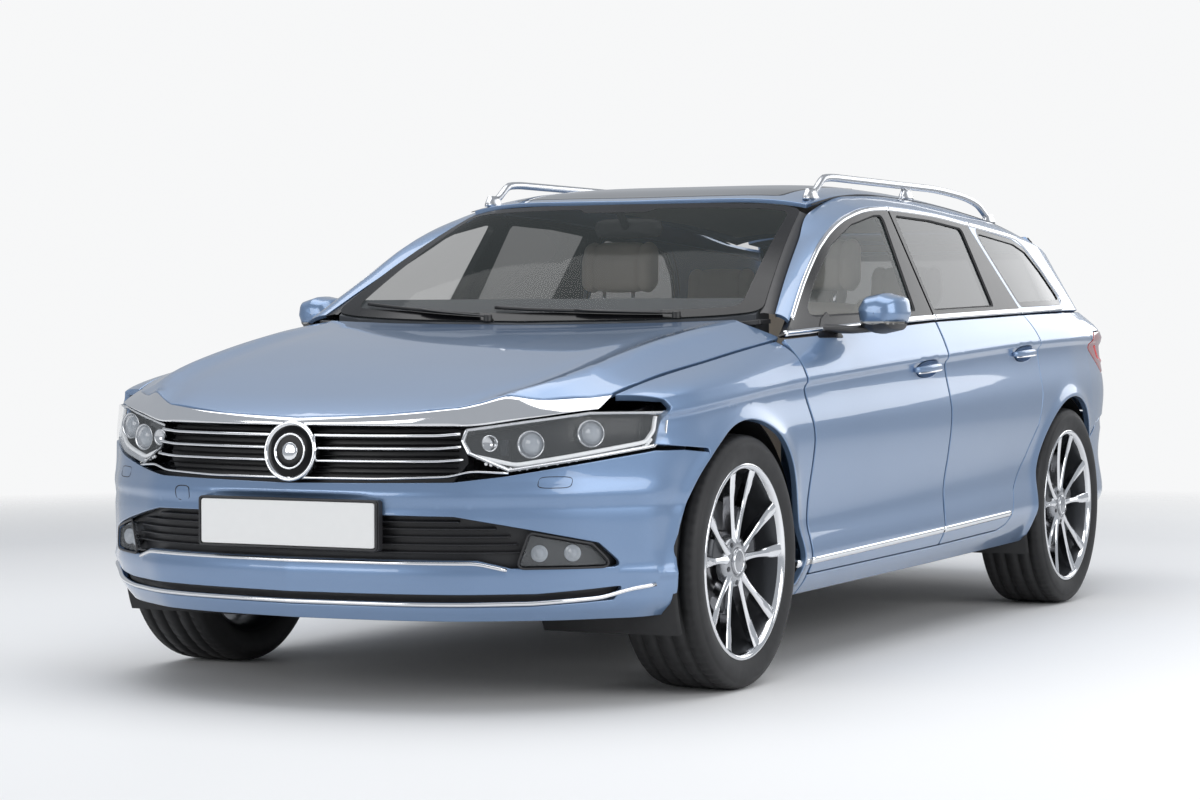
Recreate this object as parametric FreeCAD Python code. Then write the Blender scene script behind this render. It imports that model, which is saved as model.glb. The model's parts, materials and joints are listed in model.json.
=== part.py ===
import FreeCAD, Part
import math
import os

V = FreeCAD.Vector

# A full-size estate car, in millimetres: +X forward, +Y to its left, +Z up,
# with the origin on the ground under the middle of its box.

# Driving dimensions of the whole car
LENGTH = 4767.0
WIDTH = 1832.0
HEIGHT = 1460.0
WHEELBASE = 2791.0
FRONT_AXLE_X = 1494.5
HALF_LENGTH = LENGTH / 2
HALF_WIDTH = WIDTH / 2
REAR_AXLE_X = FRONT_AXLE_X - WHEELBASE

# Wheels and tyres
TYRE_RADIUS = 345.0
TYRE_WIDTH = 235.0
TYRE_SHOULDER = 12.0
RIM_LIP_RADIUS = 266.0
RIM_LIP_HEIGHT = 16.0
RIM_WALL = 6.0
RIM_WELL_RADIUS = 228.0
RIM_INSET = 10.0
HUB_CAP_RADIUS = 38.0
HUB_RADIUS = 82.0
SPOKE_WIDTH = 30.0
SPOKE_DEPTH = 34.0
SPOKE_GROUPS = 5
WHEEL_Y = 785.0
KINGPIN_Y = 700.0
DISC_RADIUS = 165.0
DISC_THICKNESS = 26.0
DISC_INSET = 20.0

# Panels, glass and the gaps between them
SHUT_GAP = 6.5
PANEL = 12.0
DOOR_SKIN = 20.0
DOOR_FRAME = 22.0
DOOR_INNER_Y = 785.0
BODY_INNER_Y = 770.0
DOOR_RETURN = 45.0
BODY_WALL = 100.0
RECESS = 32.0
RAIL_WALL = 55.0
GLASS = 5.0
SEAT_GAP = 0.3
PIN_GAP = 0.3
OVERRUN = 50.0
CORNER = 30.0
HINGE_BACK = 28.0
HINGE_IN = 8.0
RUN_CLEARANCE = 6.0

# Where the body's long lines run, as shares of half length, half width and height
widest_shares = ((-0.6713, 0.9662), (-0.5454, 0.9913), (-0.3986, 0.9945), (0.0000, 1.0000),
                 (0.2098, 0.9956), (0.5035, 0.9880), (0.6251, 0.9913), (0.7342, 0.9793),
                 (0.7971, 0.9443), (0.8391, 0.8734))
tornado_shares = ((-0.9650, 0.6336), (-0.6428, 0.6363), (-0.4036, 0.6295), (-0.0126, 0.6048),
                  (0.5349, 0.5575), (0.7342, 0.5308), (0.8391, 0.5137))
belt_height_shares = ((-0.9650, 0.7123), (-0.5232, 0.7041), (-0.2601, 0.6945), (0.0696, 0.6788),
                      (0.4405, 0.6507), (0.8391, 0.6164))
belt_width_shares = ((-0.6713, 0.8624), (-0.5244, 0.9116), (-0.3776, 0.9312), (0.0000, 0.9410),
                     (0.2098, 0.9312), (0.4615, 0.8952), (0.8391, 0.8297))
window_top_height_shares = ((-0.8811, 0.8390), (-0.7971, 0.8562), (-0.6713, 0.8740),
                            (-0.5077, 0.8918), (-0.3398, 0.9089), (-0.1636, 0.9260),
                            (-0.0189, 0.9301), (0.0420, 0.9260), (0.1343, 0.9021), (0.2224, 0.8562),
                            (0.3201, 0.7740), (0.4279, 0.6747))
window_top_width_shares = ((-0.8811, 0.5950), (-0.7971, 0.6605), (-0.6713, 0.7205), (-0.5077, 0.7587),
                           (-0.3398, 0.7642), (-0.1636, 0.7587), (0.0420, 0.7555), (0.1343, 0.7620),
                           (0.2224, 0.7806), (0.3201, 0.8210), (0.4279, 0.8865))
roof_crown_shares = ((-0.8811, 0.8788), (-0.7132, 0.9212), (-0.5874, 0.9486), (-0.4196, 0.9726),
                     (-0.2517, 0.9842), (-0.0839, 0.9863), (0.0420, 0.9726), (0.1762, 0.9397))
ROOF_EDGE_Y_share = 0.6550
ROOF_CURVE_POWER = 5

# Each row of the lower side: height at the front post, height at the rear wheel, and inset
side_row_shares = ((0.1418, 0.1630, 0.0819), (0.1795, 0.2089, 0.0371), (0.2260, 0.2548, 0.0098),
                   (0.2925, 0.3459, 0.0295), (0.4658, 0.5034, 0.0))
SIDE_ROW_FRONT_share = 0.5035
SIDE_ROW_REAR_share = -0.5454
UNDERCUT_BELOW_share = 0.0164
UNDERCUT_INSET_share = 0.0229
EDGE_INSET_share = 0.0076
SHOULDER_ABOVE_share = 0.0205
SHOULDER_INSET_share = 0.0175

# The tail: where the side begins to turn in, and the turn as shares of depth and half width
TAIL_START_share = -0.6713
tail_plan_shares = ((0.0, 1.0), (0.20, 0.978), (0.383, 0.947), (0.511, 0.905), (0.638, 0.853), (0.766, 0.785),
                    (0.893, 0.668), (0.970, 0.480), (0.993, 0.270), (1.0, 0.0))
tail_centre_shares = ((0.1370, -0.9692), (0.2055, -0.9910), (0.3082, -1.0000), (0.3836, -0.9985),
                      (0.4384, -0.9901), (0.4658, -0.9838), (0.5479, -0.9809), (0.6164, -0.9767),
                      (0.6610, -0.9650), (0.6849, -0.9503), (0.7740, -0.9083), (0.8562, -0.8685),
                      (0.8973, -0.8454))

# The nose: plan of the front from the wing to the middle, and its middle by height
NOSE_START_share = 0.7342
nose_plan_shares = ((1.0, 0.0), (0.988, 0.09), (0.959, 0.240), (0.931, 0.334), (0.873, 0.437), (0.773, 0.605),
                    (0.619, 0.775), (0.497, 0.880), (0.276, 0.960), (0.0, 1.0))
nose_centre_shares = ((0.1541, 0.9797), (0.1918, 0.9901), (0.2603, 0.9943), (0.3219, 0.9973),
                      (0.3767, 1.0000), (0.4110, 0.9893), (0.4795, 0.9838), (0.5137, 0.9755))
nose_width_shares = ((0.1541, 0.9279), (0.1918, 0.9749), (0.2740, 0.9880), (0.5137, 0.9880))

# Outlines of the side, as (x, z) shares
front_door_shares = ((0.4552, 0.6473), (0.4523, 0.5753), (0.4351, 0.4521), (0.4351, 0.2329),
                     (0.4321, 0.1884), (0.0000, 0.1979), (-0.0042, 0.2637), (-0.0147, 0.3089),
                     (-0.0210, 0.3801), (-0.0168, 0.4877), (-0.0130, 0.5938), (-0.0130, 0.6849),
                     (-0.0168, 0.9301), (0.0420, 0.9260), (0.1343, 0.9021), (0.2224, 0.8562),
                     (0.3201, 0.7740), (0.4196, 0.6815))
rear_door_shares = ((-0.0157, 0.6849), (-0.0157, 0.5938), (-0.0195, 0.4877), (-0.0237, 0.3801),
                    (-0.0174, 0.3089), (-0.0069, 0.2637), (-0.0027, 0.1979), (-0.2308, 0.2055),
                    (-0.2601, 0.2158), (-0.2769, 0.2377), (-0.2937, 0.2945), (-0.3524, 0.3664),
                    (-0.3944, 0.4384), (-0.4036, 0.5130), (-0.4036, 0.6267), (-0.3902, 0.6747),
                    (-0.3797, 0.7055), (-0.3189, 0.9116), (-0.1636, 0.9260), (-0.0195, 0.9301))
front_window_shares = ((0.3734, 0.6884), (0.0420, 0.7021), (0.0105, 0.9096), (0.0420, 0.9068),
                       (0.1259, 0.8836), (0.2098, 0.8390), (0.3021, 0.7603))
rear_window_shares = ((-0.0252, 0.7041), (-0.2685, 0.7144), (-0.2853, 0.8938), (-0.1636, 0.9068),
                      (-0.0357, 0.9110))
quarter_window_shares = ((-0.3902, 0.7226), (-0.6545, 0.7315), (-0.6083, 0.8048),
                         (-0.5643, 0.8527), (-0.5119, 0.8712), (-0.3440, 0.8904))
belt_cut_shares = ((-1.0908, 0.7329), (-0.5232, 0.7158), (-0.2601, 0.7062), (0.0696, 0.6904),
                   (0.4279, 0.6781), (0.5874, 0.6575), (0.5874, 0.0000), (-1.0908, 0.0000))


# Small helpers for curves, outlines and sheets
def smooth(table, at):
    """Value of a smooth curve through a table of (place, value), flat past its ends."""
    pts = sorted(table)
    if at <= pts[0][0]:
        return pts[0][1]
    if at >= pts[-1][0]:
        return pts[-1][1]
    gaps = [b[0] - a[0] for a, b in zip(pts, pts[1:])]
    rises = [(b[1] - a[1]) / g for a, b, g in zip(pts, pts[1:], gaps)]
    slopes = [rises[0]]
    for k in range(1, len(rises)):
        before, after = rises[k - 1], rises[k]
        if before * after <= 0:
            slopes.append(0.0)
        else:
            w_before = 2 * gaps[k] + gaps[k - 1]
            w_after = gaps[k] + 2 * gaps[k - 1]
            slopes.append((w_before + w_after) / (w_before / before + w_after / after))
    slopes.append(rises[-1])
    k = max(i for i in range(len(gaps)) if pts[i][0] <= at)
    t = (at - pts[k][0]) / gaps[k]
    start, end = pts[k][1], pts[k + 1][1]
    return ((2 * t ** 3 - 3 * t ** 2 + 1) * start + (t ** 3 - 2 * t ** 2 + t) * gaps[k] * slopes[k]
            + (3 * t ** 2 - 2 * t ** 3) * end + (t ** 3 - t ** 2) * gaps[k] * slopes[k + 1])


def blend(a, b, t):
    return a + (b - a) * t


def mirrored(shape):
    return shape.mirror(V(0, 0, 0), V(0, 1, 0))


def on_plane(axis, u, v):
    """A point of the plane across the named axis: (y, z), (x, z) or (x, y)."""
    return {"x": V(0, u, v), "y": V(u, 0, v), "z": V(u, v, 0)}[axis]


def along(axis, length):
    return {"x": V(length, 0, 0), "y": V(0, length, 0), "z": V(0, 0, length)}[axis]


def outline(points, axis, radius=0.0):
    """A flat face with straight runs and rounded corners."""
    corners = [on_plane(axis, *p) for p in points]
    count = len(corners)
    edges = []
    ends = []
    for i, point in enumerate(corners):
        back = corners[i - 1] - point
        ahead = corners[(i + 1) % count] - point
        turn = back.getAngle(ahead)
        if radius <= 0 or turn > math.radians(176):
            ends.append((point, None, point))
            continue
        reach = min(radius / math.tan(turn / 2), back.Length * 0.45, ahead.Length * 0.45)
        round_radius = reach * math.tan(turn / 2)
        back.normalize()
        ahead.normalize()
        bisector = (back + ahead).normalize()
        middle = point + bisector * (round_radius / math.sin(turn / 2) - round_radius)
        ends.append((point + back * reach, middle, point + ahead * reach))
    for i, (start, middle, end) in enumerate(ends):
        if middle is not None:
            edges.append(Part.Arc(start, middle, end).toShape())
        following = ends[(i + 1) % count][0]
        if (following - end).Length > 1e-6:
            edges.append(Part.LineSegment(end, following).toShape())
    return Part.Face(Part.Wire(edges))


def prism(face, axis, start, end):
    """The face, pushed along an axis from one place to another."""
    moved = face.copy()
    moved.translate(along(axis, start))
    return moved.extrude(along(axis, end - start))


def block(x_range, y_range, z_range):
    low = V(min(x_range), min(y_range), min(z_range))
    high = V(max(x_range), max(y_range), max(z_range))
    return Part.makeBox(high.x - low.x, high.y - low.y, high.z - low.z, low)


def rod(start, end, radius):
    return Part.makeCylinder(radius, (end - start).Length, start, end - start)


def ring(centre, direction, profile, sides):
    """A ring with flat facets round its axis, from a profile of (place along axis, radius)."""
    axis = V(direction).normalize()
    across = axis.cross(V(0, 0, 1) if abs(axis.z) < 0.9 else V(1, 0, 0)).normalize()
    up = axis.cross(across)
    turns = [2 * math.pi * k / sides for k in range(sides)]
    spokes = [up * math.cos(turn) + across * math.sin(turn) for turn in turns]
    loops = [[centre + axis * place + arm * radius for arm in spokes] for place, radius in profile]
    faces = []
    for k, loop in enumerate(loops):
        following = loops[(k + 1) % len(loops)]
        for i in range(sides):
            j = (i + 1) % sides
            corners = [loop[i], loop[j], following[j], following[i]]
            corners = [p for n, p in enumerate(corners) if (p - corners[n - 1]).Length > SEAT_GAP / 10]
            if len(corners) > 2:
                faces.append(Part.Face(Part.makePolygon(corners + corners[:1])))
    return closed(faces)


def tube(path, radius, sides=8):
    """A bar with flat facets along a path of points."""
    sections = []
    for k, point in enumerate(path):
        ahead = (path[min(k + 1, len(path) - 1)] - path[max(k - 1, 0)]).normalize()
        across = ahead.cross(V(0, 0, 1) if abs(ahead.z) < 0.9 else V(0, 1, 0)).normalize()
        up = across.cross(ahead)
        turns = [2 * math.pi * (n + 0.5) / sides for n in range(sides)]
        loop = [point + (across * math.cos(turn) + up * math.sin(turn)) * radius for turn in turns]
        sections.append(Part.makePolygon(loop + loop[:1]))
    return Part.makeLoft(sections, True, True)


def closed(faces):
    """A solid from the faces that bound it."""
    shell = Part.makeShell(faces)
    shell.sewShape()
    solid = Part.makeSolid(shell)
    if solid.Volume < 0:
        solid.reverse()
    return solid


def grown(face, amount):
    return face.makeOffset2D(amount)


def long_line(points):
    curve = Part.BSplineCurve()
    curve.interpolate(points)
    return curve.toShape()


def panel(rows, push, lift=None):
    """A plate whose face is ruled between long lines, one through each row of points."""
    lines = [long_line(row) for row in rows]
    strips = [Part.makeRuledSurface(a, b) for a, b in zip(lines, lines[1:])]
    rims = [lines[0], lines[-1]]
    for end in (0, -1):
        rims += [Part.LineSegment(a[end], b[end]).toShape() for a, b in zip(rows, rows[1:])]
    faces = []
    for strip in strips:
        far = strip.copy()
        far.translate(push)
        faces += [strip, far]
    faces += [rim.extrude(push) for rim in rims]
    solid = closed(faces)
    if lift is not None:
        solid.translate(lift)
    return solid


def xz(shares):
    return [(x * HALF_LENGTH, z * HEIGHT) for x, z in shares]


def xy(shares):
    return [(x * HALF_LENGTH, y * HALF_WIDTH) for x, y in shares]


def yz(shares):
    return [(y * HALF_WIDTH, z * HEIGHT) for y, z in shares]


def line_z(shares, x):
    return smooth(shares, x / HALF_LENGTH) * HEIGHT


def line_y(shares, x):
    return smooth(shares, x / HALF_LENGTH) * HALF_WIDTH


# The side of the body, below the glass
def side_levels(x):
    """Heights and half widths of the side's long lines at one place along the car."""
    front = SIDE_ROW_FRONT_share * HALF_LENGTH
    rear = SIDE_ROW_REAR_share * HALF_LENGTH
    back = (front - max(x, rear)) / (front - rear)
    wide = line_y(widest_shares, x)
    edge = line_z(tornado_shares, x)
    levels = [(blend(low, high, back) * HEIGHT, wide - inset * HALF_WIDTH) for low, high, inset in side_row_shares]
    levels.append((edge - UNDERCUT_BELOW_share * HEIGHT, wide - UNDERCUT_INSET_share * HALF_WIDTH))
    levels.append((edge, wide - EDGE_INSET_share * HALF_WIDTH))
    levels.append((edge + SHOULDER_ABOVE_share * HEIGHT, wide - SHOULDER_INSET_share * HALF_WIDTH))
    levels.append((line_z(belt_height_shares, x), line_y(belt_width_shares, x)))
    return levels


TAIL_START = TAIL_START_share * HALF_LENGTH


def tail_centre(z):
    return smooth(tail_centre_shares, z / HEIGHT) * HALF_LENGTH


def tail_narrowing(x, z):
    """Share of the half width that is left at x, where the side turns into the tail."""
    if x >= TAIL_START:
        return 1.0
    depth = (TAIL_START - x) / (TAIL_START - tail_centre(z))
    return smooth(tail_plan_shares, min(depth, 1.0))


def side_row(x, level):
    z, y = side_levels(max(x, TAIL_START))[level]
    return V(x, y * tail_narrowing(x, z), z)


def side_y(x, z):
    """Half width of the side at any place below the belt."""
    levels = [(height, y) for height, y in side_levels(max(x, TAIL_START))]
    return smooth(levels, z) * tail_narrowing(x, z)


def roof_z(x, y):
    crown = line_z(roof_crown_shares, x)
    edge = line_z(window_top_height_shares, x)
    return crown - (crown - edge) * (abs(y) / line_y(window_top_width_shares, x)) ** ROOF_CURVE_POWER


side_station_shares = (0.4867, 0.3147, 0.1468, -0.0210, -0.1888, -0.3566, -0.5244, -0.6713, -0.7888,
                       -0.8811)
SIDE_X = [s * HALF_LENGTH for s in side_station_shares]
glass_station_shares = (0.4196, 0.3201, 0.2224, 0.1343, 0.0420, -0.1049, -0.2517, -0.3986, -0.5454, -0.6923,
                        -0.8307)
GLASS_X = [s * HALF_LENGTH for s in glass_station_shares]


SIDE_LEVELS = len(side_row_shares) + 4


def side_rows():
    """One row of points along the car for each long line of the lower side."""
    return [[side_row(x, level) for x in SIDE_X] for level in range(SIDE_LEVELS)]


# The glass house: from just under the belt to the top of the windows, then over to the roof joint
BELT_OVERLAP = 30.0
pillar_inner_shares = ((0.4196, 0.4133, 0.8242, 0.6952), (0.3201, 0.3356, 0.7697, 0.7630),
                       (0.2224, 0.2349, 0.7041, 0.8445), (0.1343, 0.1510, 0.6550, 0.9110))


wall_rise_shares = (-0.12, 0.5, 1.06)


def glasshouse_column(x):
    """Points of one upright section of the glass house, bottom to roof joint."""
    belt_z = line_z(belt_height_shares, x)
    belt_y = line_y(belt_width_shares, x)
    top_z = line_z(window_top_height_shares, x)
    top_y = line_y(window_top_width_shares, x)
    if x < TAIL_START:
        belt_y *= tail_narrowing(x, belt_z)
    foot = V(x, belt_y, min(belt_z, top_z - BELT_OVERLAP))
    head = V(x, top_y, top_z)
    return foot, head


def roof_joint(x):
    for outer, inner_x, inner_y, inner_z in pillar_inner_shares:
        if abs(outer * HALF_LENGTH - x) < 1.0:
            return V(inner_x * HALF_LENGTH, inner_y * HALF_WIDTH, inner_z * HEIGHT)
    y = min(ROOF_EDGE_Y_share * HALF_WIDTH, line_y(window_top_width_shares, x) - RAIL_WALL)
    return V(x, y, roof_z(x, y))


def wall_rows():
    """Rows of the side glass plane, from under the belt to just over the windows."""
    pairs = [glasshouse_column(x) for x in GLASS_X]
    return [[foot + (head - foot) * rise for foot, head in pairs] for rise in wall_rise_shares]


def rail_rows():
    """Rows of the strip from the window tops to the roof or the windscreen."""
    heads = [glasshouse_column(x)[1] for x in GLASS_X]
    joints = [roof_joint(x) for x in GLASS_X]
    middles = []
    for x, head, joint in zip(GLASS_X, heads, joints):
        middle = (head + joint) * 0.5
        if abs(joint.x - x) < 1.0:
            middle.z = roof_z(x, middle.y)
        else:
            middle = middle + V(0.2, 0.6, 0.8) * (PANEL / 2)
        middles.append(middle)
    return [heads, middles, joints]


RAIL_PUSH = V(-0.2, -0.55, -0.8)
SIDE_FACES = {"front": xz(front_door_shares), "rear": xz(rear_door_shares)}
APERTURE_SPACE = 10.0


def both(build):
    """A left piece and its mirror image."""
    left = build()
    return left, mirrored(left)


def side_slab(start, depth):
    """The lower side, from start to start + depth inwards of its surface."""
    return panel(side_rows(), V(0, -depth, 0), V(0, -start, 0))


def wall_slab(start, depth):
    return panel(wall_rows(), V(0, -depth, 0), V(0, -start, 0))


def through(face, inner=OVERRUN):
    """An upright region of the side, cut right through it."""
    return prism(face, "y", inner, WIDTH)


# Door hinges: a little behind the leading edge and just inside the widest surface
def door_hinge(name):
    points = [p for p in SIDE_FACES[name] if p[1] < line_z(tornado_shares, p[0]) and p[1] > TYRE_RADIUS]
    if name == "front":
        lead = min(x for x, z in points if x > SIDE_X[2])
    else:
        lead = min(x for x, z in points if x > SIDE_X[4])
    x = lead - HINGE_BACK
    return x, line_y(widest_shares, x) - HINGE_IN


HINGE_POCKET = 125.0
HINGE_POCKET_REAR = 106.0
HINGE_POCKET_TOP = 1000.0
HINGE_POCKET_TOP_REAR = 1060.0
STEER_SWEEP = 393.0


def steer_space():
    """The room that a steered front tyre sweeps round its kingpin."""
    return Part.makeSphere(STEER_SWEEP, V(FRONT_AXLE_X, KINGPIN_Y, AXLE_Z))


def door_face(name):
    return outline(SIDE_FACES[name], "y", CORNER)


def window_face(name):
    shares = {"front": front_window_shares, "rear": rear_window_shares, "quarter": quarter_window_shares}
    return outline(xz(shares[name]), "y", CORNER)


STRAP_HALF = 5.0
PIN_RADIUS = 4.5
PIN_REACH = 14.0
strap_heights = {"front": (380.0, 600.0), "rear": (480.0, 790.0)}
strap_points = ((-4.5, 0), (-4.5, -34), (12, -54), (72, -54), (72, -41), (15, -41), (4.5, -30), (4.5, 0))
slot_points = ((-7.5, -1), (-7.5, -60), (60, -60), (60, 1), (26, 1), (6.5, 1))


def straps(name):
    """Hinge straps that stand out of the post, each with an upright pin for the door."""
    x, y = door_hinge(name)
    pieces = []
    for z in strap_heights[name]:
        plate = outline([(x + u, y + w) for u, w in strap_points], "z")
        pieces.append(prism(plate, "z", z - STRAP_HALF, z + STRAP_HALF))
        pieces.append(rod(V(x, y, z - PIN_REACH), V(x, y, z + PIN_REACH), PIN_RADIUS))
    return pieces


def strap_space(name):
    """Slots and bores in the door for its hinge straps and pins."""
    x, y = door_hinge(name)
    pieces = []
    for z in strap_heights[name]:
        slot = outline([(x + u, y + w) for u, w in slot_points], "z")
        reach = STRAP_HALF + RUN_CLEARANCE / 2
        pieces.append(prism(slot, "z", z - reach, z + reach))
        pieces.append(rod(V(x, y, z - PIN_REACH - 1), V(x, y, z + PIN_REACH + 1), PIN_RADIUS + PIN_GAP))
    return pieces


def door(name):
    """A door: a skin over a thick inner box, with its window frame."""
    face = door_face(name)
    window = through(window_face(name))
    skin = side_slab(0, DOOR_SKIN).common(through(face))
    frame = wall_slab(0, DOOR_FRAME).common(through(face)).cut(window)
    inner = side_slab(1.0, BODY_WALL * 2).common(through(grown(face, -DOOR_RETURN), DOOR_INNER_Y))
    leaf = skin.fuse(inner).fuse(frame)
    for space in strap_space(name):
        leaf = leaf.cut(space)
    return leaf


def door_glass(name):
    return wall_slab(GLASS, GLASS).common(through(grown(window_face(name), -SEAT_GAP)))


ARCH_RADIUS = 383.0
ARCH_LINER = 20.0
SILL_TOP = 275.0
SILL_BOTTOM = 225.0
SILL_IN = 700.0
SILL_OUT = 800.0
CABIN_FRONT = 1120.0
HEEL_X = -930.0
FLOOR_THICKNESS = 20.0
LOAD_FLOOR_Z = 470.0
TUNNEL_HALF = 130.0
TUNNEL_TOP = 380.0
TUB_RADIUS = 420.0
TUB_IN = 560.0
TUB_OUT = 800.0
LOAD_HALF = 700.0
LOAD_END = -2240.0
SPARE_WELL = 230.0
AXLE_Z = TYRE_RADIUS

side_outline_shares = ((0.4720, 0.1370), (0.4720, 0.6370), (0.4405, 0.7534), (-0.8601, 0.7534),
                       (-0.8601, 0.4521), (-0.7132, 0.4521), (-0.6713, 0.1370))
wall_outline_shares = ((0.4447, 0.6164), (0.4447, 0.9932), (-0.8223, 0.9932), (-0.8223, 0.6164))
tail_rows_z_shares = (0.4110, 0.4658, 0.5479, 0.6164, 0.6610, 0.6849, 0.7260)
tail_corner_shares = ((0.5459, 0.4486), (0.5950, 0.5479), (0.6168, 0.6370), (0.6823, 0.6849),
                      (0.6769, 0.7260), (1.0371, 0.7260), (1.0371, 0.4486))
tail_lamp_shares = ((0.6223, 0.5582), (0.6277, 0.6370), (0.6550, 0.6630), (0.9389, 0.6541), (0.9498, 0.6164),
                    (0.9170, 0.5514))
TAIL_STEPS = (0.02, 0.30, 0.55, 0.77, 0.90, 0.965, 0.99)


def tail_rows(steps):
    """Rows round the corner of the tail, by height and by share of the turn's depth."""
    rows = []
    for z in [share * HEIGHT for share in tail_rows_z_shares]:
        row = []
        for depth in steps:
            x = TAIL_START - depth * (TAIL_START - tail_centre(z))
            start_y = side_y(TAIL_START, z)
            row.append(V(x, start_y * smooth(tail_plan_shares, depth), z))
        rows.append(row)
    return rows


def body_side():
    """One side of the body: sill, posts, rail and quarter, with recesses for its two doors."""
    doors = [door_face("front"), door_face("rear")]
    rooms = [through(grown(face, SHUT_GAP)) for face in doors]
    apertures = [through(grown(face, APERTURE_SPACE - DOOR_RETURN)) for face in doors]
    arch = rod(V(REAR_AXLE_X, OVERRUN, AXLE_Z), V(REAR_AXLE_X, WIDTH, AXLE_Z), ARCH_RADIUS)
    lower = side_slab(0, BODY_WALL * 2).common(through(outline(xz(side_outline_shares), "y"), BODY_INNER_Y))
    wall = wall_slab(0, RAIL_WALL).common(through(outline(xz(wall_outline_shares), "y")))
    side_recess = side_slab(-OVERRUN, OVERRUN + RECESS)
    wall_recess = wall_slab(-OVERRUN, OVERRUN + RECESS)
    for k in (0, 1):
        lower = lower.cut(side_recess.common(rooms[k])).cut(apertures[k])
        wall = wall.cut(wall_recess.common(rooms[k])).cut(apertures[k])
    lower = lower.cut(arch)
    wall = wall.cut(through(window_face("quarter")))
    rail = panel(rail_rows(), RAIL_PUSH * RAIL_WALL)
    corner = panel(tail_rows(TAIL_STEPS), V(0.7, -0.7, 0) * BODY_WALL / 2)
    corner = corner.common(prism(outline(yz(tail_corner_shares), "x"), "x", -LENGTH, 0))
    sill = block((HEEL_X, CABIN_FRONT), (SILL_IN, SILL_OUT), (SILL_BOTTOM, SILL_TOP))
    side = lower
    for piece in (wall, rail, corner, sill):
        side = side.fuse(piece)
    for name, room in zip(("front", "rear"), rooms):
        hinge_x, hinge_y = door_hinge(name)
        pocket = HINGE_POCKET if name == "front" else HINGE_POCKET_REAR
        top = HINGE_POCKET_TOP if name == "front" else HINGE_POCKET_TOP_REAR
        turn = rod(V(hinge_x, hinge_y, SILL_TOP - RUN_CLEARANCE), V(hinge_x, hinge_y, top), pocket)
        side = side.cut(turn.common(room))
        side = side.cut(wall_recess.common(room))
    side = side.cut(tail_lamp_space())
    for shift in (V(0, 0, 0), V(-SHUT_GAP / 2, 0, -SEAT_GAP)):
        room = wing_space()
        room.translate(shift)
        side = side.cut(room)
    for space in (bonnet_space(), rear_bumper_space(), roof_space(), gate_space(), gate_top_space()):
        side = side.cut(space)
    side = max(side.cut(steer_space()).Solids, key=lambda solid: solid.Volume)
    return side.fuse(straps("front") + straps("rear"))


LAMP_DEPTH = 45.0


def tail_lamp_block(face, start, depth):
    inwards = V(0.7, -0.7, 0)
    skin = panel(tail_rows(TAIL_STEPS), inwards * depth, inwards * start)
    return skin.common(prism(face, "x", -LENGTH, -1900.0))


def tail_lamp_space():
    return tail_lamp_block(outline(yz(tail_lamp_shares), "x", CORNER / 2), -OVERRUN, LAMP_DEPTH + OVERRUN)


def tail_lamp():
    face = outline(yz(tail_lamp_shares), "x", CORNER / 2)
    return tail_lamp_block(grown(face, -SEAT_GAP), 0.0, LAMP_DEPTH - SEAT_GAP)


def quarter_glass():
    return wall_slab(GLASS, GLASS).common(through(grown(window_face("quarter"), -SEAT_GAP)))



# Roof, its dark glass, and the windscreen
ROOF_SPACE_LOW = 1250.0
roof_station_shares = (-0.7279, -0.5874, -0.4196, -0.2517, -0.0839, 0.0420, 0.1259, 0.1762)
roof_across_shares = (-1.0, -0.85, -0.45, 0.45, 0.85, 1.0)
roof_plan_shares = ((0.1745, 0.0000), (0.1670, 0.3057), (0.1477, 0.6386), (0.0420, 0.6517), (-0.5874, 0.6517),
                    (-0.7132, 0.6277), (-0.7279, 0.4367), (-0.7279, 0.0000))
roof_glass_shares = ((0.1447, 0.0000), (0.1385, 0.3057), (0.1217, 0.5131), (-0.4447, 0.5131), (-0.4573, 0.3275),
                     (-0.4573, 0.0000))
ROOF_SHEET = 14.0
GATE_FRONT_X = -1743.5


def both_sides(shares):
    """A plan outline given for the left half, closed with its mirror image."""
    half = xy(shares)
    return half + [(x, -y) for x, y in reversed(half) if y != 0]


def roof_rows():
    rows = []
    for across in roof_across_shares:
        row = []
        for share in roof_station_shares:
            x = share * HALF_LENGTH
            y = across * ROOF_EDGE_Y_share * HALF_WIDTH
            row.append(V(x, y, roof_z(x, y)))
        rows.append(row)
    return rows


def roof_cutter(shares, radius=0.0, amount=0.0):
    face = outline(both_sides(shares), "z", radius)
    if amount:
        face = grown(face, amount)
    return prism(face, "z", AXLE_Z, HEIGHT + OVERRUN)


def roof_space():
    """The room of the roof panel, kept clear by the rails."""
    face = grown(outline(both_sides(roof_plan_shares), "z"), SEAT_GAP)
    return prism(face, "z", ROOF_SPACE_LOW, HEIGHT + OVERRUN)


def roof_panel():
    roof = panel(roof_rows(), V(0, 0, -ROOF_SHEET)).common(roof_cutter(roof_plan_shares))
    return roof.cut(roof_cutter(roof_glass_shares, CORNER * 2)).cut(screen_space()).fuse(gate_brackets())


def roof_glass():
    pane = panel(roof_rows(), V(0, 0, -GLASS), V(0, 0, -1.0))
    return pane.common(roof_cutter(roof_glass_shares, CORNER * 2, -SEAT_GAP))


screen_foot_shares = ((0.0000, 0.4678, 0.6767), (0.3275, 0.4615, 0.6795), (0.6550, 0.4384, 0.6877),
                      (0.8024, 0.4133, 0.6979))
screen_head_shares = ((0.0000, 0.1779, 0.9363), (0.2729, 0.1724, 0.9356), (0.4913, 0.1603, 0.9322),
                      (0.6332, 0.1477, 0.9212))
SCREEN_BULGE = 16.0


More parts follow.
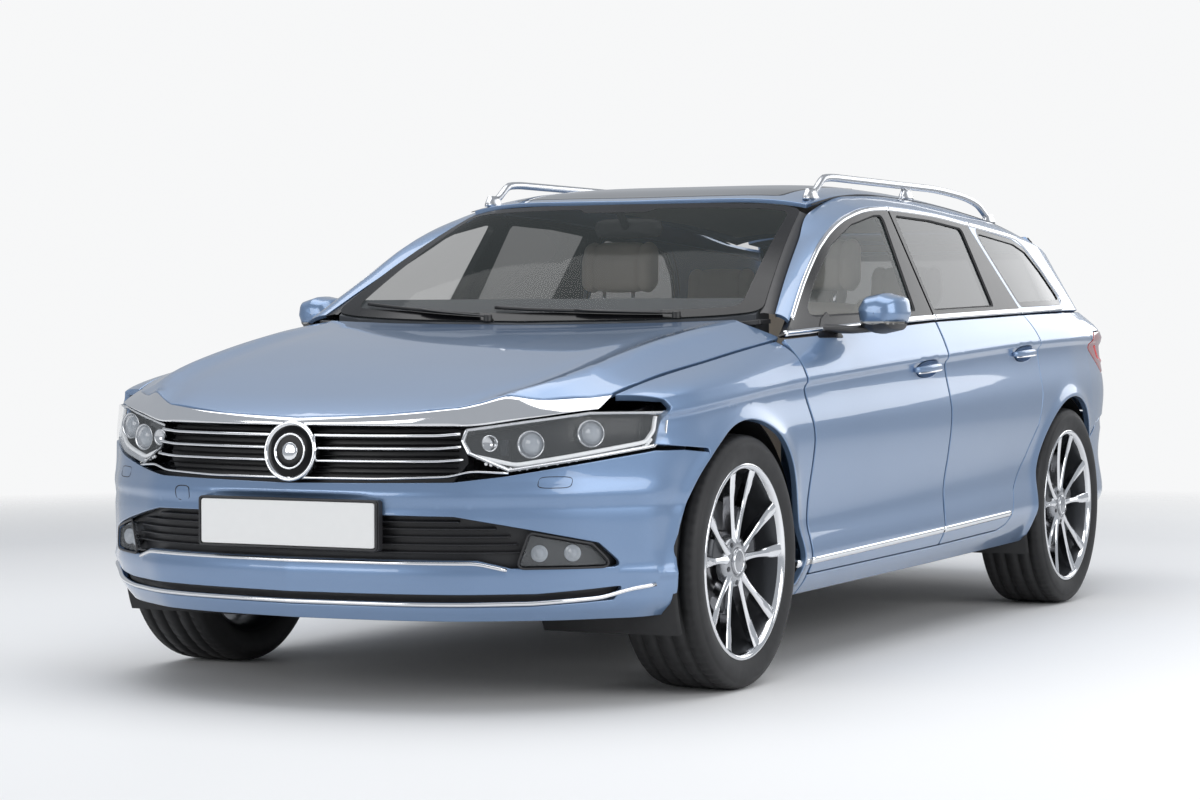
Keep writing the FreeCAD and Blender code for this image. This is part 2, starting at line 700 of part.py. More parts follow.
def screen_rows():
    """Rows across the windscreen from its foot to the roof."""
    feet = [V(x * HALF_LENGTH, y * HALF_WIDTH, z * HEIGHT) for y, x, z in screen_foot_shares]
    heads = [V(x * HALF_LENGTH, y * HALF_WIDTH, z * HEIGHT) for y, x, z in screen_head_shares]
    rows = []
    for rise in (0.0, 0.35, 0.7, 1.0):
        swell = V(0.46, 0, 0.89) * (SCREEN_BULGE * 4 * rise * (1 - rise))
        half = [foot + (head - foot) * rise + swell for foot, head in zip(feet, heads)]
        rows.append([V(p.x, -p.y, p.z) for p in reversed(half[1:])] + half)
    return rows


def screen_space():
    """The room of the windscreen, to just over its outer face."""
    return panel(screen_rows(), V(-0.46, 0, -0.89) * (2 * GLASS), V(0.46, 0, 0.89) * SEAT_GAP)


def windscreen():
    return panel(screen_rows(), V(-0.46, 0, -0.89) * GLASS)


# Nose: wings, bumper, grilles, lamps and bonnet
NOSE_START = NOSE_START_share * HALF_LENGTH
nose_level_shares = (0.1541, 0.1918, 0.2603, 0.3219, 0.3767, 0.4110, 0.4795, 0.5479)
NOSE_INWARDS = V(-0.7, -0.7, 0)


def nose_rows(level_shares):
    """Rows round the left half of the nose, from the wing to the middle."""
    rows = []
    for share in level_shares:
        centre = smooth(nose_centre_shares, share) * HALF_LENGTH
        width = smooth(nose_width_shares, share) * HALF_WIDTH
        rows.append([V(NOSE_START + depth * (centre - NOSE_START), across * width, share * HEIGHT)
                     for across, depth in nose_plan_shares])
    return rows


def nose_slab(start, depth):
    return panel(nose_rows(nose_level_shares), NOSE_INWARDS * depth, NOSE_INWARDS * start)


def facing(shares, radius=0.0, amount=0.0):
    """A region of the nose as seen from the front, cut right through it."""
    face = outline(yz(shares), "x", radius)
    if amount:
        face = grown(face, amount)
    return prism(face, "x", FRONT_AXLE_X, LENGTH)


LEFT_HALF = block((-LENGTH, LENGTH), (0, WIDTH), (0, HEIGHT))
bumper_face_shares = ((-0.1092, 0.1370), (1.0480, 0.1370), (1.0480, 0.4452), (0.9203, 0.4507), (0.6124, 0.4110),
                      (0.4803, 0.4027), (-0.1092, 0.3986))
air_intake_shares = ((-0.1092, 0.2658), (0.5459, 0.2658), (0.6223, 0.2521), (0.8624, 0.2521), (0.8133, 0.2945),
                     (0.6550, 0.3205), (0.4913, 0.3425), (-0.1092, 0.3459))
low_slot_shares = ((-0.1092, 0.1849), (0.6550, 0.1863), (0.8297, 0.1952), (0.8515, 0.2178), (0.6769, 0.2055),
                   (-0.1092, 0.2041))
fog_lamp_shares = ((0.6386, 0.2523), (0.8406, 0.2523), (0.8024, 0.2918), (0.6659, 0.3137))
lower_grille_shares = ((-0.6223, 0.2548), (0.6223, 0.2548), (0.6441, 0.3178), (0.4913, 0.3397),
                       (-0.4913, 0.3397), (-0.6441, 0.3178))
upper_grille_shares = ((-0.1092, 0.4041), (0.4585, 0.4082), (0.5044, 0.4384), (0.4891, 0.4726),
                       (0.4934, 0.4945), (-0.1092, 0.4979))
headlamp_shares = ((0.5131, 0.4486), (0.4934, 0.4726), (0.5044, 0.4986), (0.6550, 0.5103), (0.7860, 0.5240),
                   (0.9476, 0.5219), (0.9410, 0.4795), (0.9203, 0.4575), (0.6124, 0.4178))
BUMPER_WALL = 26.0
LAMP_WALL = 48.0
GRILLE_BACK = 34.0
GRILLE_BAR = 14.0
grille_bar_shares = (0.4130, 0.4356, 0.4589, 0.4822)
GRILLE_BAR_DEPTH = 20.0


def halves(left):
    return left.common(LEFT_HALF).fuse(mirrored(left.common(LEFT_HALF)))


def wheel_space(radius, x):
    return rod(V(x, OVERRUN, AXLE_Z), V(x, WIDTH, AXLE_Z), radius)


PLATE_FACE_X = 2379.0
PLATE_THICK = 14.0
PLATE_HALF = 262.0
PLATE_LOW, PLATE_TOP = 418.0, 533.0
TOW_EYE_Y, TOW_EYE_Z = -350.0, 544.0
TOW_EYE_FACE_X = 2330.0
TOW_EYE_LENGTH = 75.0
TOW_EYE_RADIUS = 8.0
TOW_BOSS_RADIUS = 16.0
TOW_CAP_RADIUS = 20.0


def tow_eye(start, end, radius):
    return rod(V(start, TOW_EYE_Y, TOW_EYE_Z), V(end, TOW_EYE_Y, TOW_EYE_Z), radius)


def front_bumper():
    """The bumper skin, its plate holder and the socket for a towing eye."""
    skin = nose_slab(0, BUMPER_WALL).common(facing(bumper_face_shares))
    skin = skin.cut(facing(air_intake_shares, CORNER / 2)).cut(facing(low_slot_shares, CORNER / 4))
    skin = skin.cut(wheel_space(ARCH_RADIUS, FRONT_AXLE_X))
    plate = block((PLATE_FACE_X - PLATE_THICK, PLATE_FACE_X), (-PLATE_HALF, PLATE_HALF), (PLATE_LOW, PLATE_TOP))
    back = TOW_EYE_FACE_X - TOW_EYE_LENGTH
    whole = halves(skin).fuse(plate).fuse(tow_eye(back, TOW_EYE_FACE_X, TOW_BOSS_RADIUS))
    whole = whole.cut(tow_eye(TOW_EYE_FACE_X, LENGTH, TOW_CAP_RADIUS))
    return whole.cut(tow_eye(back - OVERRUN, LENGTH, TOW_EYE_RADIUS))


def upper_grille():
    back = nose_slab(GRILLE_BACK, BUMPER_WALL / 2).common(facing(upper_grille_shares))
    grille = back
    for share in grille_bar_shares:
        low = share * HEIGHT
        bar_space = block((FRONT_AXLE_X, LENGTH), (-OVERRUN, WIDTH), (low, low + GRILLE_BAR))
        bar = nose_slab(GRILLE_BAR_DEPTH, GRILLE_BAR_DEPTH).common(facing(upper_grille_shares)).common(bar_space)
        grille = grille.fuse(bar)
    peg = tube([V(SUPPORT_X + WALL * 2 + SEAT_GAP, 300.0, 640.0), V(SUPPORT_X + 140.0, 300.0, 640.0)], 8.0)
    return halves(grille.fuse(peg))


def lower_grille():
    back = nose_slab(GRILLE_BACK, BUMPER_WALL / 2).common(facing(lower_grille_shares, 0, -SEAT_GAP))
    return halves(back)


def headlamp():
    peg = block((SUPPORT_X + WALL * 2 + SEAT_GAP, SUPPORT_X + 90.0), (478.0, 505.0), (662.0, 682.0))
    return nose_slab(0, LAMP_WALL).common(facing(headlamp_shares, CORNER / 3)).fuse(peg)


def fog_lamp():
    return nose_slab(8.0, LAMP_WALL).common(facing(fog_lamp_shares, CORNER / 3))


# Bonnet and wings share one surface over the engine
bonnet_centre_shares = ((0.4279, 0.6842), (0.4699, 0.6753), (0.5320, 0.6630), (0.6474, 0.6363),
                        (0.7665, 0.6014), (0.8391, 0.5760), (0.8811, 0.5596), (0.9230, 0.5418),
                        (0.9566, 0.5240), (0.9838, 0.5055))
shut_height_shares = ((0.4279, 0.6466), (0.5077, 0.6329), (0.6293, 0.6068), (0.7846, 0.5699),
                      (0.8601, 0.5377), (0.9020, 0.5192), (0.9398, 0.5089), (0.9838, 0.5000))
shut_width_shares = ((0.4279, 0.8788), (0.5077, 0.8734), (0.6293, 0.8570), (0.7846, 0.8319), (0.8601, 0.7860),
                     (0.9020, 0.7205), (0.9398, 0.6769), (0.9838, 0.6550))
CREASE_share = 0.84
CREASE_RISE_share = 0.0041
bonnet_station_shares = (0.4279, 0.5077, 0.6293, 0.7552, 0.8391, 0.8894, 0.9398, 0.9797)
bonnet_across_shares = (-1.04, -1.0, -0.84, 0.0, 0.84, 1.0, 1.04)
bonnet_plan_shares = ((0.9755, 0.0000), (0.9671, 0.2729), (0.9490, 0.4803), (0.9335, 0.5349), (0.8936, 0.6659),
                      (0.8538, 0.7642), (0.8307, 0.8024), (0.7846, 0.8264), (0.6293, 0.8515),
                      (0.5077, 0.8679), (0.4342, 0.8701), (0.4510, 0.7642), (0.4678, 0.4913),
                      (0.4762, 0.0000))
BONNET_SKIN = 12.0
BONNET_FRAME = 24.0
BONNET_RETURN = 62.0
BONNET_LOW = 650.0
HOOD_HINGE_X = 1030.0
HOOD_HINGE_Z = 945.0


def bonnet_z(x, share):
    """Height of the bonnet at x, at a share of the way from its middle to its shut line."""
    centre = line_z(bonnet_centre_shares, x)
    shut = line_z(shut_height_shares, x)
    top = centre + CREASE_RISE_share * HEIGHT
    if abs(share) <= CREASE_share:
        return blend(centre, top, (share / CREASE_share) ** 2)
    return blend(top, shut, (abs(share) - CREASE_share) / (1 - CREASE_share))


def bonnet_rows():
    rows = []
    for across in bonnet_across_shares:
        row = []
        for share in bonnet_station_shares:
            x = share * HALF_LENGTH
            row.append(V(x, across * line_y(shut_width_shares, x), bonnet_z(x, across)))
        rows.append(row)
    return rows


def bonnet_face():
    return outline(both_sides(bonnet_plan_shares), "z", CORNER / 2)


def bonnet_space():
    return prism(grown(bonnet_face(), SHUT_GAP), "z", BONNET_LOW, HEIGHT)


HOOD_EAR_Y = 680.0
HOOD_EAR = 14.0
HOOD_PIN_RADIUS = 6.0
hood_ear_points = ((-15, -15), (15, -15), (140, -4), (140, 28), (15, 15), (-15, 15))


def bonnet_ears():
    """Arms under the bonnet's rear corners, bored for the hinge pins."""
    arm = outline([(HOOD_HINGE_X + u, HOOD_HINGE_Z + w) for u, w in hood_ear_points], "y")
    left = prism(arm, "y", HOOD_EAR_Y, HOOD_EAR_Y + HOOD_EAR)
    left = left.cut(rod(V(HOOD_HINGE_X, 0, HOOD_HINGE_Z), V(HOOD_HINGE_X, WIDTH, HOOD_HINGE_Z), HOOD_PIN_RADIUS + PIN_GAP))
    return left.fuse(mirrored(left))


def bonnet_pins():
    """Brackets on the cowl with the pins that carry the bonnet."""
    x, z, near = HOOD_HINGE_X, HOOD_HINGE_Z, HOOD_EAR_Y - HOOD_EAR
    bracket = block((x - 4 * HOOD_EAR, x + HOOD_EAR / 2), (near - HOOD_EAR, near + HOOD_EAR / 2), (z - HOOD_EAR, z + HOOD_EAR / 2))
    pin = rod(V(x, near, z), V(x, HOOD_EAR_Y + HOOD_EAR, z), HOOD_PIN_RADIUS)
    left = bracket.fuse(pin)
    return [left, mirrored(left)]


BONNET_CORNER_X = 1070.0
BONNET_CORNER_Y = 778.0


def bonnet():
    """The bonnet, with its rear corners kept clear of the doors' front edges."""
    face = bonnet_face()
    skin = panel(bonnet_rows(), V(0, 0, -BONNET_SKIN)).common(prism(face, "z", AXLE_Z, HEIGHT))
    inner = panel(bonnet_rows(), V(0, 0, 1 - BONNET_FRAME), V(0, 0, 1 - BONNET_SKIN))
    inner = inner.common(prism(grown(face, -BONNET_RETURN), "z", AXLE_Z, HEIGHT))
    lid = skin.fuse(inner)
    for side in (1, -1):
        lid = lid.cut(block((0, BONNET_CORNER_X), (side * BONNET_CORNER_Y, side * WIDTH), (0, HEIGHT)))
    return lid.fuse(bonnet_ears())


wing_station_shares = (0.4279, 0.5077, 0.6293, 0.7552, 0.8181)
wing_outline_shares = ((0.4584, 0.7192), (0.4579, 0.6473), (0.4550, 0.5753), (0.4378, 0.4521),
                       (0.4378, 0.2329), (0.4351, 0.1473), (0.4804, 0.1473), (0.5454, 0.4110),
                       (0.7355, 0.4500), (0.8173, 0.4603), (0.7930, 0.5260), (0.8349, 0.5377),
                       (0.8349, 0.7192))
WING_PUSH = V(0, -0.8, -0.6)
WING_WALL = 12.0


def wing_rows():
    """Rows of the front wing: up the side, over the shoulder and in to the bonnet."""
    stations = [share * HALF_LENGTH for share in wing_station_shares]
    rows = [[side_row(x, level) for x in stations] for level in range(SIDE_LEVELS - 1)]
    shoulders = []
    shuts = []
    for x, edge in zip(stations, rows[-1]):
        shut = V(x, line_y(shut_width_shares, x), line_z(shut_height_shares, x))
        shoulder = edge + (shut - edge) * 0.5
        shoulder.z = blend(edge.z, shut.z, 0.8)
        shoulders.append(shoulder)
        shuts.append(shut)
    return rows + [shoulders, shuts]


def wing_space():
    """The room of a front wing, sunk into the side behind it."""
    room = panel(wing_rows(), WING_PUSH * (WING_WALL + 1 + OVERRUN), WING_PUSH * -OVERRUN)
    return room.common(prism(outline(xz(wing_outline_shares), "y"), "y", OVERRUN, WIDTH))


def front_wing():
    wing = panel(wing_rows(), WING_PUSH * WING_WALL)
    wing = wing.common(prism(outline(xz(wing_outline_shares), "y"), "y", OVERRUN, WIDTH))
    lamp = facing(headlamp_shares, CORNER / 3, SHUT_GAP / 2)
    return wing.cut(wheel_space(ARCH_RADIUS, FRONT_AXLE_X)).cut(bonnet_space()).cut(lamp)


# Tail: gate, glass and bumper
GATE_SHEET = 16.0
GATE_SPACE_X = -1750.0
GATE_SPACE_Z = 1200.0
gate_level_shares = (0.4486, 0.4795, 0.5479, 0.6164, 0.6610, 0.6849, 0.7740, 0.8562, 0.8904)
GATE_STEPS = (0.60, 0.77, 0.90, 0.965, 0.99, 1.0)
gate_face_shares = ((0.0000, 0.4507), (0.5349, 0.4534), (0.5873, 0.5479), (0.6092, 0.6404), (0.6550, 0.6747),
                    (0.6605, 0.7260), (0.6135, 0.8836), (0.5895, 0.9007), (0.0000, 0.9007))
gate_window_shares = ((0.0000, 0.6849), (0.5459, 0.6849), (0.5841, 0.7055), (0.5404, 0.8527), (0.5131, 0.8644),
                      (0.0000, 0.8644))
gate_top_shares = ((-0.7315, 0.0000), (-0.7315, 0.4367), (-0.7246, 0.5950), (-0.8349, 0.5459),
                   (-0.8580, 0.4367), (-0.8622, 0.0000))
gate_top_station_shares = (-0.8622, -0.8181, -0.7720, -0.7132)


def full_face(shares, radius=0.0, amount=0.0):
    half = yz(shares)
    points = half + [(-y, z) for y, z in reversed(half) if y != 0]
    face = outline(points, "x", radius)
    if amount:
        face = grown(face, amount)
    return prism(face, "x", -LENGTH, -1700.0)


def gate_rows(push_in=0.0):
    """Rows across the whole tail, one for each height."""
    rows = []
    for share in gate_level_shares:
        z = share * HEIGHT
        start_y = side_y(TAIL_START, z) if z < line_z(belt_height_shares, TAIL_START) else wall_y(TAIL_START, z)
        half = []
        for depth in GATE_STEPS:
            x = TAIL_START - depth * (TAIL_START - tail_centre(z))
            half.append(V(x, start_y * smooth(tail_plan_shares, depth), z))
        rows.append(half + [V(p.x, -p.y, p.z) for p in reversed(half[:-1])])
    return rows


def wall_y(x, z):
    foot, head = glasshouse_column(x)
    return blend(foot.y, head.y, (z - foot.z) / (head.z - foot.z))


GATE_PIN_Y = 330.0
GATE_PIN_RADIUS = 3.5
GATE_PIN_BELOW = 7.0
GATE_PIN_BEHIND = 8.0
BRACKET_HALF = 5.0
GATE_EDGE_ROOM = 3.0
PIN_NOTCH_RISE = 4.0
GATE_PIN_X = GATE_FRONT_X - GATE_PIN_BEHIND
gate_bracket_points = ((-3, 2), (3, 2), (3, -19), (26, -19), (26, -5), (40, -5), (40, -25), (-3, -25))


def gate_pin_z():
    return roof_z(GATE_PIN_X, GATE_PIN_Y) - GATE_PIN_BELOW


def gate_brackets():
    """Cranked brackets under the roof's rear edge, each with a pin for the tailgate."""
    z = gate_pin_z()
    plate = outline([(GATE_PIN_X + u, z + w) for u, w in gate_bracket_points], "y")
    left = prism(plate, "y", GATE_PIN_Y - BRACKET_HALF, GATE_PIN_Y + BRACKET_HALF)
    pin = rod(V(GATE_PIN_X, GATE_PIN_Y - 4 * BRACKET_HALF, z), V(GATE_PIN_X, GATE_PIN_Y + 4 * BRACKET_HALF, z), GATE_PIN_RADIUS)
    left = left.fuse(pin)
    return left.fuse(mirrored(left))


def gate_pin_space():
    z = gate_pin_z()
    reach = BRACKET_HALF + RUN_CLEARANCE / 2
    notch = block((GATE_PIN_X - RUN_CLEARANCE, GATE_PIN_X + OVERRUN), (GATE_PIN_Y - reach, GATE_PIN_Y + reach),
                  (z - OVERRUN, z + PIN_NOTCH_RISE))
    bore = rod(V(GATE_PIN_X, GATE_PIN_Y - 4 * BRACKET_HALF - 1, z), V(GATE_PIN_X, GATE_PIN_Y + 4 * BRACKET_HALF + 1, z),
               GATE_PIN_RADIUS + PIN_GAP)
    left = notch.fuse(bore)
    return left.fuse(mirrored(left))


def gate_space():
    """The room of the tailgate, as seen from behind."""
    half = yz(gate_face_shares)
    points = half + [(-y, z) for y, z in reversed(half) if y != 0]
    face = grown(outline(points, "x", CORNER), SHUT_GAP)
    return prism(face, "x", -LENGTH, GATE_SPACE_X)


def gate_top_space():
    face = grown(outline(both_sides(gate_top_shares), "z", CORNER), SHUT_GAP)
    return prism(face, "z", GATE_SPACE_Z, HEIGHT + OVERRUN)


def tailgate():
    face = full_face(gate_face_shares, CORNER, -GATE_EDGE_ROOM)
    skin = panel(gate_rows(), V(GATE_SHEET, 0, 0)).common(face)
    top_rows = [[V(share * HALF_LENGTH, y, roof_z(share * HALF_LENGTH, y)) for share in gate_top_station_shares]
                for y in (-560.0, -480.0, -250.0, 250.0, 480.0, 560.0)]
    top = panel(top_rows, V(0, 0, -GATE_SHEET * 1.6))
    top_face = grown(outline(both_sides(gate_top_shares), "z", CORNER), -GATE_EDGE_ROOM)
    top = top.common(prism(top_face, "z", AXLE_Z, HEIGHT))
    frame = panel(gate_rows(), V(GATE_SHEET * 2, 0, 0), V(GATE_SHEET - 1, 0, 0))
    frame = frame.common(full_face(gate_face_shares, CORNER, -DOOR_RETURN))
    return skin.fuse(frame).fuse(top).cut(full_face(gate_window_shares, CORNER)).cut(gate_pin_space())


def tailgate_glass():
    pane = panel(gate_rows(), V(GLASS, 0, 0), V(1.0, 0, 0))
    return pane.common(full_face(gate_window_shares, CORNER, -SEAT_GAP))


rear_level_shares = (0.1541, 0.1849, 0.2740, 0.3562, 0.4110, 0.4418)
REAR_STEPS = (-0.25, 0.0, 0.20, 0.383, 0.638, 0.766, 0.893, 0.970, 0.993, 1.0)
rear_bumper_shares = ((-1.0908, 0.1370), (-1.0908, 0.4425), (-0.7132, 0.4425), (-0.6713, 0.3425),
                      (-0.6503, 0.1370))


def rear_rows():
    rows = []
    for share in rear_level_shares:
        z = share * HEIGHT
        row = []
        for depth in REAR_STEPS:
            x = TAIL_START - depth * (TAIL_START - tail_centre(z))
            row.append(V(x, side_y(max(x, TAIL_START), z) * smooth(tail_plan_shares, max(depth, 0.0)), z))
        rows.append(row)
    return rows


def rear_bumper_space():
    """The room of the rear bumper's corner, sunk into the side."""
    room = panel(rear_rows(), V(0.7, -0.7, 0) * (BUMPER_WALL + OVERRUN + SEAT_GAP), V(-0.7, 0.7, 0) * OVERRUN)
    face = grown(outline(xz(rear_bumper_shares), "y"), SEAT_GAP)
    return room.common(prism(face, "y", OVERRUN, WIDTH))


def rear_bumper():
    skin = panel(rear_rows(), V(0.7, -0.7, 0) * BUMPER_WALL)
    skin = skin.common(prism(outline(xz(rear_bumper_shares), "y"), "y", -OVERRUN, WIDTH))
    return halves(skin.cut(wheel_space(ARCH_RADIUS, REAR_AXLE_X)))



# Wheels
TYRE_BEAD = 96.0
TYRE_SEAT_RADIUS = 250.0
BARREL_RADIUS = 249.7
BARREL_INNER = 239.0
LIP_OUT = 108.0
SPOKE_HUB_ANGLE = 11.0
SPOKE_RIM_ANGLE = 15.5
SPOKE_FACE = 96.0
SPOKE_BACK = 62.0
STUB_RADIUS = 30.0
STUB_END = -85.0
HUB_BACK = -30.0
HUB_FACE = 84.0


WHEEL_SIDES = 48
HUB_SIDES = 24


def turned(profile, x, sides):
    """A ring about the axle of the wheel at x."""
    return ring(V(x, WHEEL_Y, AXLE_Z), V(0, 1, 0), profile, sides)


def tyre(x):
    half = TYRE_WIDTH / 2
    bulge_radius = (RIM_LIP_RADIUS + TYRE_RADIUS) / 2
    side = [(TYRE_BEAD, TYRE_SEAT_RADIUS), (TYRE_BEAD, RIM_LIP_RADIUS + SEAT_GAP),
            (TYRE_BEAD + TYRE_SHOULDER, RIM_LIP_RADIUS + 2 * SEAT_GAP), (half, bulge_radius),
            (half - TYRE_SHOULDER / 2, TYRE_RADIUS - TYRE_SHOULDER), (half - 2 * TYRE_SHOULDER, TYRE_RADIUS)]
    profile = side + [(-a, r) for a, r in reversed(side)]
    return turned(profile, x, WHEEL_SIDES)


def spoke(angle_hub, angle_rim, x):
    """One straight spoke, from the hub out to the barrel."""
    start = math.radians(angle_hub)
    end = math.radians(angle_rim)
    inner = V(math.sin(start), 0, math.cos(start)) * (HUB_RADIUS - SPOKE_WIDTH / 2)
    outer = V(math.sin(end), 0, math.cos(end)) * (BARREL_INNER + RIM_WALL)
    across = (outer - inner).cross(V(0, 1, 0)).normalize() * (SPOKE_WIDTH / 2)
    taper = 0.72
    corners = [inner + across, outer + across * taper, outer - across * taper, inner - across]
    face = Part.Face(Part.makePolygon(corners + corners[:1]))
    face.translate(V(x, WHEEL_Y + SPOKE_BACK, AXLE_Z))
    return face.extrude(V(0, SPOKE_FACE - SPOKE_BACK, 0))


def rim(x):
    """A cast wheel with its brake disc and stub, in one solid."""
    barrel = turned([(-LIP_OUT, BARREL_INNER), (LIP_OUT, BARREL_INNER), (LIP_OUT, RIM_LIP_RADIUS),
                     (TYRE_BEAD + SEAT_GAP, RIM_LIP_RADIUS), (TYRE_BEAD + SEAT_GAP, BARREL_RADIUS),
                     (-TYRE_BEAD - SEAT_GAP, BARREL_RADIUS), (-TYRE_BEAD - SEAT_GAP, RIM_LIP_RADIUS),
                     (-LIP_OUT, RIM_LIP_RADIUS)], x, WHEEL_SIDES)
    hub = turned([(STUB_END, 0), (STUB_END, STUB_RADIUS), (HUB_BACK, STUB_RADIUS), (HUB_BACK, HUB_RADIUS),
                  (DISC_INSET - DISC_THICKNESS, HUB_RADIUS), (DISC_INSET - DISC_THICKNESS, DISC_RADIUS),
                  (DISC_INSET, DISC_RADIUS), (DISC_INSET, HUB_RADIUS), (HUB_FACE, HUB_RADIUS),
                  (HUB_FACE, HUB_CAP_RADIUS), (HUB_FACE + TYRE_SHOULDER / 2, HUB_CAP_RADIUS),
                  (HUB_FACE + TYRE_SHOULDER / 2, 0)], x, HUB_SIDES)
    spokes = []
    for group in range(SPOKE_GROUPS):
        middle = 360.0 * group / SPOKE_GROUPS
        spokes.append(spoke(middle - SPOKE_HUB_ANGLE, middle - SPOKE_RIM_ANGLE, x))
        spokes.append(spoke(middle + SPOKE_HUB_ANGLE, middle + SPOKE_RIM_ANGLE, x))
    return barrel.fuse([hub] + spokes)


# Knuckles, front subframe and rear axle
KNUCKLE_HALF_X = 42.0
KNUCKLE_IN_Y = 655.0
KNUCKLE_OUT_Y = 735.0
KNUCKLE_LOW = 240.0
KNUCKLE_HIGH = 470.0
BEARING_GAP = 0.3
CALIPER_NEAR = 100.0
CALIPER_FAR = 205.0
CALIPER_HALF_HEIGHT = 75.0
CALIPER_OUT_Y = 818.0
DISC_CLEARANCE = 5.5
STEERING_ARM = 120.0
ARM_THICKNESS = 22.0
BALL_RADIUS = 15.0


BALL_PIN_RADIUS = 5.0


def ball_pins(radius):
    """Upright pins on the kingpin line, over and under the knuckle."""
    reach = ARM_THICKNESS / 2
    return [rod(V(FRONT_AXLE_X, KINGPIN_Y, z - reach), V(FRONT_AXLE_X, KINGPIN_Y, z + reach), radius)
            for z in (KNUCKLE_LOW, KNUCKLE_HIGH)]


def knuckle():
    """The upright that carries a front wheel, with its caliper and steering arm."""
    x = FRONT_AXLE_X
    post = block((x - KNUCKLE_HALF_X, x + KNUCKLE_HALF_X), (KNUCKLE_IN_Y, KNUCKLE_OUT_Y), (KNUCKLE_LOW, KNUCKLE_HIGH))
    caliper = block((x + CALIPER_NEAR, x + CALIPER_FAR), (KNUCKLE_OUT_Y - ARM_THICKNESS, CALIPER_OUT_Y),
                    (AXLE_Z - CALIPER_HALF_HEIGHT, AXLE_Z + CALIPER_HALF_HEIGHT))
    disc_in = WHEEL_Y + DISC_INSET - DISC_THICKNESS - DISC_CLEARANCE
    disc_out = WHEEL_Y + DISC_INSET + DISC_CLEARANCE
    caliper = caliper.cut(rod(V(x, disc_in, AXLE_Z), V(x, disc_out, AXLE_Z), DISC_RADIUS + DISC_CLEARANCE))
    caliper = caliper.common(rod(V(x, 0, AXLE_Z), V(x, WIDTH, AXLE_Z), BARREL_INNER - 2 * RUN_CLEARANCE))
    bridge = block((x, x + CALIPER_FAR - ARM_THICKNESS * 2), (KNUCKLE_OUT_Y - ARM_THICKNESS, KNUCKLE_OUT_Y),
                   (AXLE_Z - STUB_RADIUS, AXLE_Z + STUB_RADIUS))
    arm = block((x - STEERING_ARM, x), (KNUCKLE_IN_Y, KNUCKLE_IN_Y + ARM_THICKNESS),
                (KNUCKLE_LOW, KNUCKLE_LOW + ARM_THICKNESS))
    body = post.fuse([caliper, bridge, arm] + ball_pins(BALL_PIN_RADIUS))
    return body.cut(rod(V(x, 0, AXLE_Z), V(x, WIDTH, AXLE_Z), STUB_RADIUS + BEARING_GAP))


SUBFRAME_Y = 380.0
SUBFRAME_BAR = 60.0
SUBFRAME_LOW = 200.0
SUBFRAME_HIGH = 250.0
SUBFRAME_FRONT = 1800.0
SUBFRAME_REAR = 1220.0
ARM_SPREAD = 150.0
SPRING_Y = 555.0
SPRING_RADIUS = 48.0
SPRING_TOP = 756.5
UPPER_ARM_Z = 478.0


def wishbone(z, inner_y):
    """A V-shaped arm with its ball joint under or over the knuckle."""
    x = FRONT_AXLE_X
    narrow = ARM_THICKNESS
    points = [(x - ARM_SPREAD - narrow, inner_y), (x - ARM_SPREAD + narrow, inner_y), (x, KINGPIN_Y - 3 * narrow),
              (x + ARM_SPREAD - narrow, inner_y), (x + ARM_SPREAD + narrow, inner_y), (x + narrow, KINGPIN_Y + narrow),
              (x - narrow, KINGPIN_Y + narrow)]
    return prism(outline(points, "z"), "z", z, z + ARM_THICKNESS)


def front_subframe():
    x = FRONT_AXLE_X
    left = block((SUBFRAME_REAR, SUBFRAME_FRONT), (SUBFRAME_Y - SUBFRAME_BAR, SUBFRAME_Y), (SUBFRAME_LOW, SUBFRAME_HIGH))
    cross = [block((place - SUBFRAME_BAR / 2, place + SUBFRAME_BAR / 2), (-SUBFRAME_BAR, SUBFRAME_Y),
                   (SUBFRAME_LOW, SUBFRAME_HIGH)) for place in (SUBFRAME_REAR + SUBFRAME_BAR, SUBFRAME_FRONT - SUBFRAME_BAR)]
    lower = wishbone(KNUCKLE_LOW - BEARING_GAP - ARM_THICKNESS, SUBFRAME_Y - SUBFRAME_BAR / 2)
    upper = wishbone(KNUCKLE_HIGH + BEARING_GAP, SUBFRAME_Y + SUBFRAME_BAR)
    low_pin, high_pin = ball_pins(BALL_PIN_RADIUS + BEARING_GAP)
    lower = lower.cut(low_pin)
    upper = upper.cut(high_pin)
    spring = rod(V(x, SPRING_Y, KNUCKLE_LOW - ARM_THICKNESS), V(x, SPRING_Y, SPRING_TOP), SPRING_RADIUS)
    mount = block((x - SUBFRAME_BAR / 2, x + SUBFRAME_BAR / 2 + ARM_SPREAD), (ENGINE_HALF - SUBFRAME_BAR, SUBFRAME_Y - SUBFRAME_BAR / 2),
                  (SUBFRAME_LOW, ENGINE_LOW - SEAT_GAP))
    half = left.fuse(cross + [lower, upper, spring, mount])
    return half.fuse(mirrored(half))


ENGINE_LOW = 290.0
ENGINE_HALF = 310.0


def engine():
    return block((1400.0, 1950.0), (-ENGINE_HALF, ENGINE_HALF), (ENGINE_LOW, 780.0))


REAR_CARRIER_RADIUS = 62.0
REAR_CARRIER_IN = 630.0
REAR_TUBE_RADIUS = 30.0
REAR_ARM_FRONT = -950.0
REAR_SPRING_Y = 480.0


